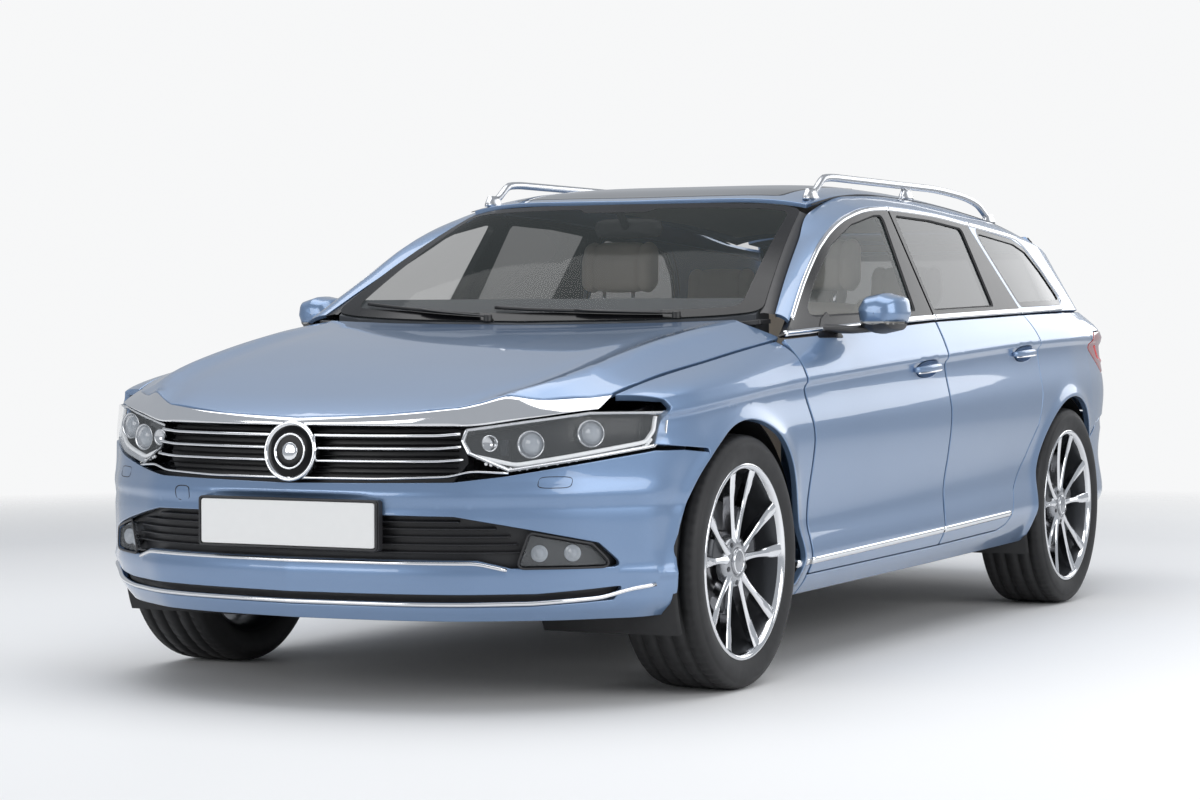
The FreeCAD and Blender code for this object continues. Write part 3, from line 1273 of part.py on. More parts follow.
def rear_axle():
    x = REAR_AXLE_X
    tube = rod(V(x, -OVERRUN, AXLE_Z), V(x, REAR_CARRIER_IN + OVERRUN / 2, AXLE_Z), REAR_TUBE_RADIUS)
    carrier = rod(V(x, REAR_CARRIER_IN, AXLE_Z), V(x, KNUCKLE_OUT_Y, AXLE_Z), REAR_CARRIER_RADIUS)
    arm = block((x, REAR_ARM_FRONT), (SUBFRAME_Y + SUBFRAME_BAR, SUBFRAME_Y + 2 * SUBFRAME_BAR), (AXLE_Z - 2 * ARM_THICKNESS, AXLE_Z))
    spring = rod(V(x - SUBFRAME_BAR, REAR_SPRING_Y, AXLE_Z), V(x - SUBFRAME_BAR, REAR_SPRING_Y, LOAD_FLOOR_Z - SEAT_GAP), SPRING_RADIUS)
    seat = block((x - 2 * SUBFRAME_BAR, x), (REAR_SPRING_Y - SPRING_RADIUS, REAR_SPRING_Y + SPRING_RADIUS), (AXLE_Z - ARM_THICKNESS, AXLE_Z))
    half = tube.fuse([carrier, arm, spring, seat])
    half = half.cut(rod(V(x, KNUCKLE_IN_Y, AXLE_Z), V(x, WIDTH, AXLE_Z), STUB_RADIUS + BEARING_GAP))
    return half.fuse(mirrored(half))


PIPE_RADIUS = 25.0
PIPE_Z = 262.0
SILENCER_REAR = -2150.0
SILENCER_FRONT = -1750.0


def exhaust():
    pipe = tube([V(CABIN_FRONT - OVERRUN, 0, PIPE_Z), V(SILENCER_FRONT - OVERRUN, 0, PIPE_Z)], PIPE_RADIUS)
    box = block((SILENCER_REAR, SILENCER_FRONT), (-400.0, 400.0), (240.0, 360.0))
    hangers = [tube([V(x, y, 350.0), V(x, y, LOAD_FLOOR_Z - SEAT_GAP)], 8.0) for x in (-2100.0, -1800.0)
               for y in (-350.0, 350.0)]
    hangers.append(tube([V(0, 0, PIPE_Z), V(0, 0, TUNNEL_TOP - WALL - SEAT_GAP)], 8.0))
    return pipe.fuse([box] + hangers)


# Floor, bulkhead and what hangs on them
WALL = 12.0


load_plan_shares = ((-0.7132, 0.0000), (-0.7132, 0.7642), (-0.7971, 0.7642), (-0.9398, 0.4913), (-0.9398, 0.0000))


def floor():
    low, high = SILL_BOTTOM, SILL_BOTTOM + FLOOR_THICKNESS
    pan = block((HEEL_X, CABIN_FRONT - OVERRUN / 2), (-SILL_IN + SEAT_GAP, SILL_IN - SEAT_GAP), (low, high))
    hump = block((HEEL_X, CABIN_FRONT - OVERRUN / 2), (-TUNNEL_HALF, TUNNEL_HALF), (low, TUNNEL_TOP))
    heel = block((HEEL_X - FLOOR_THICKNESS, HEEL_X), (-SILL_IN + SEAT_GAP, SILL_IN - SEAT_GAP), (low, LOAD_FLOOR_Z))
    load = block((REAR_AXLE_X - TUB_RADIUS, HEEL_X), (-TUB_IN, TUB_IN), (LOAD_FLOOR_Z, LOAD_FLOOR_Z + FLOOR_THICKNESS))
    wide_rear = prism(outline(both_sides(load_plan_shares), "z"), "z", LOAD_FLOOR_Z, LOAD_FLOOR_Z + FLOOR_THICKNESS)
    back = block((LOAD_END, LOAD_END + FLOOR_THICKNESS), (-450.0, 450.0), (SILL_BOTTOM + OVERRUN, 630.0))
    pieces = [hump, heel, load, wide_rear, back]
    for side in (1, -1):
        ring = Part.makeCylinder(TUB_RADIUS + WALL, BODY_INNER_Y - SEAT_GAP - TUB_IN, V(REAR_AXLE_X, TUB_IN, AXLE_Z), V(0, 1, 0))
        ring = ring.cut(Part.makeCylinder(TUB_RADIUS, BODY_INNER_Y, V(REAR_AXLE_X, TUB_IN + WALL, AXLE_Z), V(0, 1, 0)))
        ring = ring.common(block((-LENGTH, 0), (0, WIDTH), (LOAD_FLOOR_Z, HEIGHT)))
        pieces.append(ring if side == 1 else mirrored(ring))
    shape = pan.fuse(pieces)
    inside = block((HEEL_X - OVERRUN, CABIN_FRONT), (-TUNNEL_HALF + WALL, TUNNEL_HALF - WALL), (0, TUNNEL_TOP - WALL))
    return shape.cut(inside)


COWL_REAR = 900.0
COWL_FRONT = 1160.0
COWL_LOW = 880.0
COWL_HALF = 735.0
BULKHEAD_X = 1100.0
LINER_RADIUS = 415.0
LINER_IN = 445.0
LINER_OUT = 840.0
RAIL_IN = 380.0
RAIL_OUT = 440.0
RAIL_LOW = 500.0
RAIL_HIGH = 580.0
SUPPORT_X = 2150.0
cowl_plan_shares = ((0.4661, 0.0000), (0.4598, 0.3275), (0.4368, 0.6550), (0.4116, 0.8002), (0.3776, 0.8002),
                    (0.3776, 0.0000))


SIDE_FRONT_X = 1125.0


def front_structure():
    """Bulkhead, cowl, inner wings, rails and the frame round the radiator."""
    bulkhead = block((BULKHEAD_X, BULKHEAD_X + WALL * 2), (-SILL_IN, SILL_IN), (SILL_BOTTOM, COWL_LOW + WALL))
    cowl = prism(outline(both_sides(cowl_plan_shares), "z"), "z", COWL_LOW, 1060.0)
    above = panel(screen_rows(), V(0.46, 0, 0.89) * OVERRUN * 6, V(-0.46, 0, -0.89) * (GLASS + SEAT_GAP))
    cowl = cowl.cut(above)
    link = block((COWL_REAR, COWL_FRONT), (-SILL_IN, SILL_IN), (COWL_LOW, COWL_LOW + WALL * 2))
    pieces = [cowl, link]
    for side in (1, -1):
        ring = Part.makeCylinder(LINER_RADIUS + WALL / 2, LINER_OUT - LINER_IN, V(FRONT_AXLE_X, LINER_IN, AXLE_Z), V(0, 1, 0))
        ring = ring.cut(Part.makeCylinder(LINER_RADIUS, LINER_OUT, V(FRONT_AXLE_X, LINER_IN + WALL, AXLE_Z), V(0, 1, 0)))
        ring = ring.common(block((0, LENGTH), (0, WIDTH), (RAIL_LOW + ARM_THICKNESS, HEIGHT)))
        rail = block((BULKHEAD_X, SUPPORT_X + WALL), (RAIL_IN, RAIL_OUT + SUBFRAME_BAR / 5), (RAIL_LOW, RAIL_HIGH))
        brace = block((BULKHEAD_X, FRONT_AXLE_X - LINER_RADIUS + WALL), (SILL_IN - OVERRUN, SILL_IN + OVERRUN), (RAIL_LOW, RAIL_HIGH))
        leg = block((SUBFRAME_FRONT - SUBFRAME_BAR * 2, SUBFRAME_FRONT), (SUBFRAME_Y - SUBFRAME_BAR, SUBFRAME_Y), (SUBFRAME_HIGH + SEAT_GAP, RAIL_LOW))
        leg = leg.fuse(block((SUBFRAME_FRONT - SUBFRAME_BAR * 2, SUBFRAME_FRONT), (SUBFRAME_Y - SUBFRAME_BAR, RAIL_OUT), (RAIL_LOW - WALL, RAIL_LOW)))
        group = ring.fuse([rail, leg])
        pieces.append(group if side == 1 else mirrored(group))
    support = block((SUPPORT_X, SUPPORT_X + WALL * 2), (-560.0, 560.0), (300.0, 590.0))
    top = block((SUPPORT_X, SUPPORT_X + WALL * 2), (-400.0, 400.0), (580.0, 700.0))
    core = block((SUPPORT_X, SUPPORT_X + WALL), (-490.0, 490.0), (350.0, 580.0))
    support = support.cut(block((0, LENGTH), (-480.0, 480.0), (360.0, 560.0)))
    tabs = block((SUPPORT_X, SUPPORT_X + WALL * 2), (-530.0, 530.0), (650.0, 690.0))
    structure = bulkhead.fuse(pieces + [support, top, core, tabs])
    for side in (1, -1):
        structure = structure.cut(block((0, SIDE_FRONT_X + SEAT_GAP), (side * (SILL_IN - SEAT_GAP), side * WIDTH), (0, HEIGHT)))
        room = steer_space().common(block((0, FRONT_AXLE_X), (LINER_IN + WALL, WIDTH), (0, HEIGHT)))
        structure = structure.cut(room if side == 1 else mirrored(room))
    return structure.fuse(bonnet_pins())


dash_profile_shares = ((0.2601, 0.4795), (0.2517, 0.5685), (0.2769, 0.6267), (0.3775, 0.6493), (0.3775, 0.4795))
DASH_HALF = 690.0
CONSOLE_HALF = 105.0
CONSOLE_REAR = -60.0
CONSOLE_TOP = 560.0


def dashboard():
    top = prism(outline(xz(dash_profile_shares), "y", CORNER), "y", -DASH_HALF, DASH_HALF)
    console = block((CONSOLE_REAR, 760.0), (-CONSOLE_HALF, CONSOLE_HALF), (TUNNEL_TOP + SEAT_GAP, CONSOLE_TOP))
    stem = block((640.0, 760.0), (-CONSOLE_HALF, CONSOLE_HALF), (CONSOLE_TOP - OVERRUN, 720.0))
    arm = Part.makeCylinder(COLUMN_RADIUS + WALL, 260.0, WHEEL_CENTRE + COLUMN_DIRECTION * 60.0, COLUMN_DIRECTION)
    bore = Part.makeCylinder(COLUMN_RADIUS + SEAT_GAP, 160.0, WHEEL_CENTRE, COLUMN_DIRECTION)
    return top.fuse([console, stem, arm]).cut(bore)


WHEEL_CENTRE = V(480.0, 370.0, 850.0)
COLUMN_TILT = 24.0
COLUMN_DIRECTION = V(math.cos(math.radians(COLUMN_TILT)), 0, -math.sin(math.radians(COLUMN_TILT)))
COLUMN_RADIUS = 18.0
HAND_RING = 180.0
HAND_GRIP = 14.0


def steering_wheel():
    grip = [(HAND_GRIP * math.sin(turn), HAND_RING + HAND_GRIP * math.cos(turn))
            for turn in [math.pi * k / 3 for k in range(6)]]
    hoop = ring(WHEEL_CENTRE, COLUMN_DIRECTION, grip, HUB_SIDES)
    boss = ring(WHEEL_CENTRE, COLUMN_DIRECTION, [(0, 0), (0, 60.0), (40.0, 60.0), (40.0, 0)], HUB_SIDES // 2)
    shaft = Part.makeCylinder(COLUMN_RADIUS, 150.0, WHEEL_CENTRE, COLUMN_DIRECTION)
    side = V(0, 1, 0)
    down = COLUMN_DIRECTION.cross(side)
    down = down if down.z < 0 else down * -1
    spokes = [tube([WHEEL_CENTRE + COLUMN_DIRECTION * 12, WHEEL_CENTRE + COLUMN_DIRECTION * 2 + way * HAND_RING], 10.0)
              for way in (side, side * -1, down)]
    return hoop.fuse([boss, shaft] + spokes)


seat_cushion_shares = ((0.1552, 0.2651), (0.1678, 0.3219), (0.1552, 0.3527), (-0.0210, 0.3322), (-0.0545, 0.3082),
                       (-0.0545, 0.2651))
seat_back_shares = ((-0.0084, 0.3014), (-0.0420, 0.4795), (-0.0839, 0.7123), (-0.1259, 0.7192), (-0.1133, 0.5137),
                    (-0.0671, 0.2877))
headrest_shares = ((-0.0944, 0.7466), (-0.1049, 0.8596), (-0.1426, 0.8664), (-0.1405, 0.7534))
bench_cushion_shares = ((-0.1762, 0.2740), (-0.1678, 0.3425), (-0.1888, 0.3733), (-0.3692, 0.3596), (-0.3881, 0.2740))
bench_back_shares = ((-0.3566, 0.3425), (-0.3902, 0.5137), (-0.4321, 0.6986), (-0.4699, 0.6986), (-0.4447, 0.5137),
                     (-0.3965, 0.3377))
bench_headrest_shares = ((-0.4384, 0.7192), (-0.4468, 0.8151), (-0.4783, 0.8151), (-0.4741, 0.7192))
SEAT_Y = 370.0
SEAT_HALF = 255.0
BENCH_HALF = 545.0
HEAD_HALF = 135.0
ROD_RADIUS = 8.0


def cushion(shares, low_y, high_y):
    return prism(outline(xz(shares), "y"), "y", low_y, high_y)


def front_seat():
    base = cushion(seat_cushion_shares, SEAT_Y - SEAT_HALF, SEAT_Y + SEAT_HALF)
    back = cushion(seat_back_shares, SEAT_Y - SEAT_HALF + CORNER / 2, SEAT_Y + SEAT_HALF - CORNER / 2)
    head = cushion(headrest_shares, SEAT_Y - HEAD_HALF, SEAT_Y + HEAD_HALF)
    rods = [tube([V(-255.0, SEAT_Y + y, 1020.0), V(-285.0, SEAT_Y + y, 1120.0)], ROD_RADIUS) for y in (-60.0, 60.0)]
    rail = block((-100.0, 330.0), (SEAT_Y - 200.0, SEAT_Y + 200.0), (SILL_BOTTOM + FLOOR_THICKNESS + SEAT_GAP, 400.0))
    return base.fuse([back, head, rail] + rods)


def rear_bench():
    base = cushion(bench_cushion_shares, -BENCH_HALF, BENCH_HALF)
    back = cushion(bench_back_shares, -BENCH_HALF, BENCH_HALF)
    pieces = [back]
    for y in (-360.0, 0.0, 360.0):
        pieces.append(cushion(bench_headrest_shares, y - HEAD_HALF, y + HEAD_HALF))
        pieces.append(tube([V(-1080.0, y - 50.0, 1000.0), V(-1090.0, y - 50.0, 1080.0)], ROD_RADIUS))
        pieces.append(tube([V(-1080.0, y + 50.0, 1000.0), V(-1090.0, y + 50.0, 1080.0)], ROD_RADIUS))
    plinth = block((-900.0, -450.0), (-500.0, 500.0), (SILL_BOTTOM + FLOOR_THICKNESS + SEAT_GAP, 420.0))
    plinth = plinth.cut(block((-LENGTH, LENGTH), (-TUNNEL_HALF - SEAT_GAP, TUNNEL_HALF + SEAT_GAP), (0, TUNNEL_TOP + SEAT_GAP)))
    return base.fuse(pieces + [plinth])


# Small outside pieces
mirror_back_shares = ((0.9880, 0.6610), (0.9749, 0.7055), (0.9989, 0.7315), (1.0590, 0.7384),
                      (1.1223, 0.7274), (1.1310, 0.6952), (1.1081, 0.6610), (1.0371, 0.6521))
MIRROR_REAR_X = 622.0
MIRROR_FRONT_X = 745.0
MIRROR_NOSE_share = 0.5


def mirror():
    """A door mirror: a tapered shell on a foot at the corner of the door glass."""
    points = yz(mirror_back_shares)
    middle_y = sum(y for y, z in points) / len(points)
    middle_z = sum(z for y, z in points) / len(points)
    sections = []
    for x, scale in ((MIRROR_REAR_X, 1.0), (blend(MIRROR_REAR_X, MIRROR_FRONT_X, 0.6), 0.93),
                     (MIRROR_FRONT_X, MIRROR_NOSE_share)):
        ring = [V(x, blend(middle_y, y, scale), blend(middle_z, z, scale)) for y, z in points]
        sections.append(Part.makePolygon(ring + ring[:1]))
    shell = Part.makeLoft(sections, True, True)
    foot = Part.makeLoft([Part.makePolygon([V(x, y, z) for x, z in ring + ring[:1]])
                          for y, ring in ((820.0, [(800.0, 955.0), (860.0, 955.0), (850.0, 1000.0), (790.0, 985.0)]),
                                          (930.0, [(655.0, 955.0), (715.0, 955.0), (715.0, 985.0), (655.0, 985.0)]))],
                         True, True)
    return shell.fuse(foot).cut(side_slab(-SEAT_GAP, OVERRUN * 2)).cut(wall_slab(-SEAT_GAP, OVERRUN * 2))


RAIL_Y = 562.0
RAIL_RADIUS = 13.0
RAIL_FRONT_X = 290.0
RAIL_REAR_X = -1420.0
RAIL_LEVEL_FRONT = 60.0
RAIL_LEVEL_REAR = -760.0
RAIL_TOP_Z = HEIGHT - RAIL_RADIUS


def roof_rail():
    """A round roof rail on a foot at each end, level over its middle."""
    rear_z = roof_z(RAIL_REAR_X, RAIL_Y)
    front_z = roof_z(RAIL_FRONT_X, RAIL_Y)
    bend_x = RAIL_REAR_X + OVERRUN * 2
    bend_z = roof_z(bend_x, RAIL_Y) + RAIL_RADIUS * 3
    path = [V(RAIL_FRONT_X, RAIL_Y, front_z), V(RAIL_LEVEL_FRONT, RAIL_Y, RAIL_TOP_Z),
            V(RAIL_LEVEL_REAR, RAIL_Y, RAIL_TOP_Z), V(bend_x, RAIL_Y, bend_z), V(RAIL_REAR_X, RAIL_Y, rear_z)]
    rail = tube(path, RAIL_RADIUS)
    return rail.cut(panel(roof_rows(), V(0, 0, -OVERRUN * 2), V(0, 0, SEAT_GAP)))


def screen_point(y, rise, lift):
    """A point of the windscreen, lifted off the glass."""
    foot_x = smooth([(a, b) for a, b, c in screen_foot_shares], abs(y) / HALF_WIDTH) * HALF_LENGTH
    foot_z = smooth([(a, c) for a, b, c in screen_foot_shares], abs(y) / HALF_WIDTH) * HEIGHT
    head_x = smooth([(a, b) for a, b, c in screen_head_shares], abs(y) / HALF_WIDTH) * HALF_LENGTH
    head_z = smooth([(a, c) for a, b, c in screen_head_shares], abs(y) / HALF_WIDTH) * HEIGHT
    swell = V(0.46, 0, 0.89) * (SCREEN_BULGE * 4 * rise * (1 - rise) + lift)
    return V(blend(foot_x, head_x, rise), y, blend(foot_z, head_z, rise)) + swell


WIPER_RADIUS = 6.0
WIPER_LIFT = 1.3 * WIPER_RADIUS


def wiper(pivot_y, tip_y):
    """A wiper parked low on the glass, flat enough for the bonnet to pass over it."""
    pivot = screen_point(pivot_y, 0.02, 1.7 * WIPER_RADIUS)
    elbow = screen_point(blend(pivot_y, tip_y, 0.45), 0.055, 2.1 * WIPER_RADIUS)
    blade_in = screen_point(blend(pivot_y, tip_y, 0.08), 0.04, WIPER_LIFT)
    blade_out = screen_point(tip_y, 0.09, WIPER_LIFT)
    post = tube([screen_point(pivot_y, 0.02, SEAT_GAP), screen_point(pivot_y, 0.02, 2.5 * WIPER_RADIUS)], WIPER_RADIUS * 0.8)
    arm = tube([pivot, elbow, (blade_in + blade_out) * 0.5], WIPER_RADIUS * 0.8, 6)
    blade = tube([blade_in, blade_out], WIPER_RADIUS * 0.8, 6)
    return post.fuse([arm, blade]).cut(screen_space())


def save(name, *solids):
    shape = solids[0] if len(solids) == 1 else Part.makeCompound(list(solids))
    shape.exportStep(f"parts/{name}.step")


def build():
    os.makedirs("parts", exist_ok=True)
    side = body_side()
    save("body_side_left", side)
    save("body_side_right", mirrored(side))
    save("roof_panel", roof_panel())
    save("roof_glass", roof_glass())
    save("windscreen", windscreen())
    pane = quarter_glass()
    save("quarter_glass", pane, mirrored(pane))
    wing = front_wing()
    save("front_wings", wing, mirrored(wing))
    save("front_structure", front_structure())
    save("floor", floor())
    save("front_bumper", front_bumper())
    save("upper_grille", upper_grille())
    save("lower_grille", lower_grille())
    for name, piece in (("headlamps", headlamp()), ("fog_lamps", fog_lamp()), ("tail_lamps", tail_lamp()),
                        ("roof_rails", roof_rail()), ("front_seats", front_seat())):
        save(name, piece, mirrored(piece))
    save("rear_bumper", rear_bumper())
    save("wipers", wiper(480.0, -120.0), wiper(-120.0, -600.0))
    save("dashboard", dashboard())
    save("rear_bench", rear_bench())
    save("engine", engine())
    save("exhaust", exhaust())
    save("front_subframe", front_subframe())
    save("rear_axle", rear_axle())
    save("bonnet", bonnet())
    save("tailgate", tailgate())
    save("tailgate_glass", tailgate_glass())
    save("steering_wheel", steering_wheel())
    for name in ("front", "rear"):
        leaf = door(name)
        glass = door_glass(name)
        save(f"{name}_door_left", leaf)
        save(f"{name}_door_right", mirrored(leaf))
        save(f"{name}_door_glass_left", glass)
        save(f"{name}_door_glass_right", mirrored(glass))
    piece = mirror()
    save("mirror_left", piece)
    save("mirror_right", mirrored(piece))
    upright = knuckle()
    save("knuckle_left", upright)
    save("knuckle_right", mirrored(upright))
    for end, x in (("front", FRONT_AXLE_X), ("rear", REAR_AXLE_X)):
        ring = tyre(x)
        wheel = rim(x)
        save(f"tyre_{end}_left", ring)
        save(f"tyre_{end}_right", mirrored(ring))
        save(f"rim_{end}_left", wheel)
        save(f"rim_{end}_right", mirrored(wheel))


build()
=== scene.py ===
import json
from math import ceil, copysign, cos, exp, hypot, pi, radians, sin, sqrt, tan

import bmesh
import bpy
import numpy as np
from mathutils import Matrix, Vector
from mathutils.geometry import delaunay_2d_cdt

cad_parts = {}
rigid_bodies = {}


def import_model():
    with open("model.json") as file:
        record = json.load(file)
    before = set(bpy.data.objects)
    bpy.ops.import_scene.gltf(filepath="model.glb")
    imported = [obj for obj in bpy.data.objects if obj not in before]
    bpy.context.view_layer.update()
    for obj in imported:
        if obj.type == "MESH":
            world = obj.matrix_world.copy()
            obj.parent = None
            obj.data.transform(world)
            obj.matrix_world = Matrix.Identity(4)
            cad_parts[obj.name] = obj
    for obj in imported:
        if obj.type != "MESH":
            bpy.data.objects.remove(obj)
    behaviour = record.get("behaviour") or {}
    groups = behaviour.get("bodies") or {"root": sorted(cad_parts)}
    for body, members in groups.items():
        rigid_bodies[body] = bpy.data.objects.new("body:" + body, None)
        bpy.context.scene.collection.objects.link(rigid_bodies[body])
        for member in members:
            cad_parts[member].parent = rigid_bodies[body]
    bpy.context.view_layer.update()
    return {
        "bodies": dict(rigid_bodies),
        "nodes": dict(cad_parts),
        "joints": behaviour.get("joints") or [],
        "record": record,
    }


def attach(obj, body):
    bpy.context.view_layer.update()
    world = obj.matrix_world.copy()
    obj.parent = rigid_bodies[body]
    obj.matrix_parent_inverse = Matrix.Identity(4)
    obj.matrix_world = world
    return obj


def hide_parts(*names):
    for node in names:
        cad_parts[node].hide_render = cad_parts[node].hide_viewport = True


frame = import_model()

# Long lines and outlines of the body, in metres
WIDEST = ((-1.6, .885), (-1.3, .908), (-.95, .911), (0, .916), (.5, .912), (1.2, .905), (1.49, .908),
    (1.75, .897), (1.9, .865), (2.0, .8))
TORNADO = ((-2.3, .925), (-1.532, .929), (-.962, .919), (-.03, .883), (1.275, .814), (1.75, .775), (2.0, .75))
BELT_HEIGHT = ((-2.3, 1.04), (-1.247, 1.028), (-.62, 1.014), (.166, .991), (1.05, .95), (2.0, .9))
BELT_WIDTH = ((-1.6, .79), (-1.25, .835), (-.9, .853), (0, .862), (.5, .853), (1.1, .82), (2.0, .76))
WINDOW_TOP_HEIGHT = ((-2.1, 1.225), (-1.9, 1.25), (-1.6, 1.276), (-1.21, 1.302), (-.81, 1.327), (-.39, 1.352),
    (-.045, 1.358), (.1, 1.352), (.32, 1.317), (.53, 1.25), (.763, 1.13), (1.02, .985))
WINDOW_TOP_WIDTH = ((-2.1, .545), (-1.9, .605), (-1.6, .66), (-1.21, .695), (-.81, .7), (-.39, .695),
    (.1, .692), (.32, .698), (.53, .715), (.763, .752), (1.02, .812))
ROOF_CROWN = ((-2.1, 1.283), (-1.7, 1.345), (-1.4, 1.385), (-1.0, 1.42), (-.6, 1.437), (-.2, 1.44),
    (.1, 1.42), (.42, 1.372))
SIDE_ROW = ((.207, .238, .075), (.262, .305, .034), (.33, .372, .009), (.427, .505, .027), (.68, .735, 0.0))
TAIL_PLAN = ((0.0, 1.0), (.2, .978), (.383, .947), (.511, .905), (.638, .853), (.766, .785), (.893, .668),
    (.97, .48), (.993, .27), (1.0, 0.0))
TAIL_CENTRE = ((.2, -2.31), (.3, -2.362), (.45, -2.3835), (.56, -2.38), (.64, -2.36), (.68, -2.345),
    (.8, -2.338), (.9, -2.328), (.965, -2.3), (1.0, -2.265), (1.13, -2.165), (1.25, -2.07), (1.31, -2.015))
NOSE_PLAN = ((1.0, 0.0), (.988, .09), (.959, .24), (.931, .334), (.873, .437), (.773, .605), (.619, .775),
    (.497, .88), (.276, .96), (0.0, 1.0))
NOSE_CENTRE = ((.225, 2.335), (.28, 2.36), (.38, 2.37), (.47, 2.377), (.55, 2.3835), (.6, 2.358), (.7, 2.345),
    (.75, 2.325))
NOSE_WIDTH = ((.225, .85), (.28, .893), (.4, .905), (.75, .905))
FRONT_DOOR = ((1.085, .945), (1.078, .84), (1.037, .66), (1.037, .34), (1.03, .275), (0, .289), (-.01, .385),
    (-.035, .451), (-.05, .555), (-.04, .712), (-.031, .867), (-.031, 1.0), (-.04, 1.358), (.1, 1.352),
    (.32, 1.317), (.53, 1.25), (.763, 1.13), (1.0, .995))
REAR_DOOR = ((-.0375, 1.0), (-.0375, .867), (-.0465, .712), (-.0565, .555), (-.0415, .451), (-.0165, .385),
    (-.0065, .289), (-.55, .3), (-.62, .315), (-.66, .347), (-.7, .43), (-.84, .535), (-.94, .64),
    (-.962, .749), (-.962, .915), (-.93, .985), (-.905, 1.03), (-.76, 1.331), (-.39, 1.352), (-.0465, 1.358))
FRONT_WINDOW = ((.89, 1.005), (.1, 1.025), (.025, 1.328), (.1, 1.324), (.3, 1.29), (.5, 1.225), (.72, 1.11))
REAR_WINDOW = ((-.06, 1.028), (-.64, 1.043), (-.68, 1.305), (-.39, 1.324), (-.085, 1.33))
QUARTER_WINDOW = ((-.93, 1.055), (-1.56, 1.068), (-1.45, 1.175), (-1.345, 1.245), (-1.22, 1.272), (-.82, 1.3))
TAIL_LAMP = ((.57, .815), (.575, .93), (.6, .968), (.86, .955), (.87, .9), (.84, .805))
ROOF_PLAN = ((.416, 0), (.398, .28), (.352, .585), (.1, .597), (-1.4, .597), (-1.7, .575), (-1.735, .4),
    (-1.735, 0))
ROOF_GLASS = ((.345, 0), (.33, .28), (.29, .47), (-1.06, .47), (-1.09, .3), (-1.09, 0))
SCREEN_FOOT = ((0, 1.115, .988), (.3, 1.1, .992), (.6, 1.045, 1.004), (.735, .985, 1.019))
SCREEN_HEAD = ((0, .424, 1.367), (.25, .411, 1.366), (.45, .382, 1.361), (.58, .352, 1.345))
BONNET_CENTRE = ((1.02, .999), (1.12, .986), (1.268, .968), (1.543, .929), (1.827, .878), (2.0, .841),
    (2.1, .817), (2.2, .791), (2.28, .765), (2.345, .738))
SHUT_HEIGHT = ((1.02, .944), (1.21, .924), (1.5, .886), (1.87, .832), (2.05, .785), (2.15, .758),
    (2.24, .743), (2.345, .73))
SHUT_WIDTH = ((1.02, .805), (1.21, .8), (1.5, .785), (1.87, .762), (2.05, .72), (2.15, .66), (2.24, .62),
    (2.345, .6))
BONNET_PLAN = ((2.325, 0), (2.305, .25), (2.262, .44), (2.225, .49), (2.13, .61), (2.035, .7), (1.98, .735),
    (1.87, .757), (1.5, .78), (1.21, .795), (1.035, .797), (1.075, .7), (1.115, .45), (1.135, 0))
GATE_FACE = ((0, .658), (.49, .662), (.538, .8), (.558, .935), (.6, .985), (.605, 1.06), (.562, 1.29),
    (.54, 1.315), (0, 1.315))
GATE_WINDOW = ((0, 1.0), (.5, 1.0), (.535, 1.03), (.495, 1.245), (.47, 1.262), (0, 1.262))
GATE_TOP = ((-1.7435, 0), (-1.7435, .4), (-1.727, .545), (-1.99, .5), (-2.045, .4), (-2.055, 0))
PILLAR_INNER = ((1.0, .985, .755, 1.015), (.763, .8, .705, 1.114), (.53, .56, .645, 1.233),
    (.32, .36, .6, 1.33))


# Curves and surfaces
def vec(*parts):
    return np.array(parts)


def cols(*parts):
    return np.stack(parts, 1)


def pchip(xs, ys, at):
    """Monotone cubic down columns: xs and ys are (rows, n), at is (n,)."""
    h = np.diff(xs, axis=0)
    d = np.diff(ys, axis=0) / h
    same = d[:-1] * d[1:] > 0
    w1 = 2 * h[1:] + h[:-1]
    w2 = h[1:] + 2 * h[:-1]
    below = np.where(same, d[:-1], 1.0)
    above = np.where(same, d[1:], 1.0)
    inner = np.where(same, (w1 + w2) / (w1 / below + w2 / above), 0.0)
    m = np.vstack([d[:1], inner, d[-1:]])
    at = np.clip(at, xs[0], xs[-1])
    k = np.clip((xs <= at[None, :]).sum(0) - 1, 0, len(xs) - 2)
    i = np.arange(at.size)
    g = h[k, i]
    t = (at - xs[k, i]) / g
    return ((2 * t ** 3 - 3 * t ** 2 + 1) * ys[k, i] + (t ** 3 - 2 * t ** 2 + t) * g * m[k, i]
        + (3 * t ** 2 - 2 * t ** 3) * ys[k + 1, i] + (t ** 3 - t ** 2) * g * m[k + 1, i])


def curve(table, col=1):
    """A smooth function through a table of places and values, flat past its ends."""
    pts = np.array(sorted((row[0], row[col]) for row in table), float)
    dense = np.linspace(pts[0, 0], pts[-1, 0], 3000)
    vals = pchip(np.repeat(pts[:, :1], 3000, 1), np.repeat(pts[:, 1:], 3000, 1), dense)
    return lambda at: np.interp(at, dense, vals)


widest, tornado, belt_h, belt_w = curve(WIDEST), curve(TORNADO), curve(BELT_HEIGHT), curve(BELT_WIDTH)
top_h, top_w, crown = curve(WINDOW_TOP_HEIGHT), curve(WINDOW_TOP_WIDTH), curve(ROOF_CROWN)
tail_plan, tail_mid = curve(TAIL_PLAN), curve(TAIL_CENTRE)
nose_mid, nose_wide = curve(NOSE_CENTRE), curve(NOSE_WIDTH)
bonnet_mid, shut_h, shut_w = curve(BONNET_CENTRE), curve(SHUT_HEIGHT), curve(SHUT_WIDTH)
TAIL_X, NOSE_X = -1.6, 1.75
FX, RX, WY, AZ = 1.4945, -1.2965, .785, .345
ARCH = .383


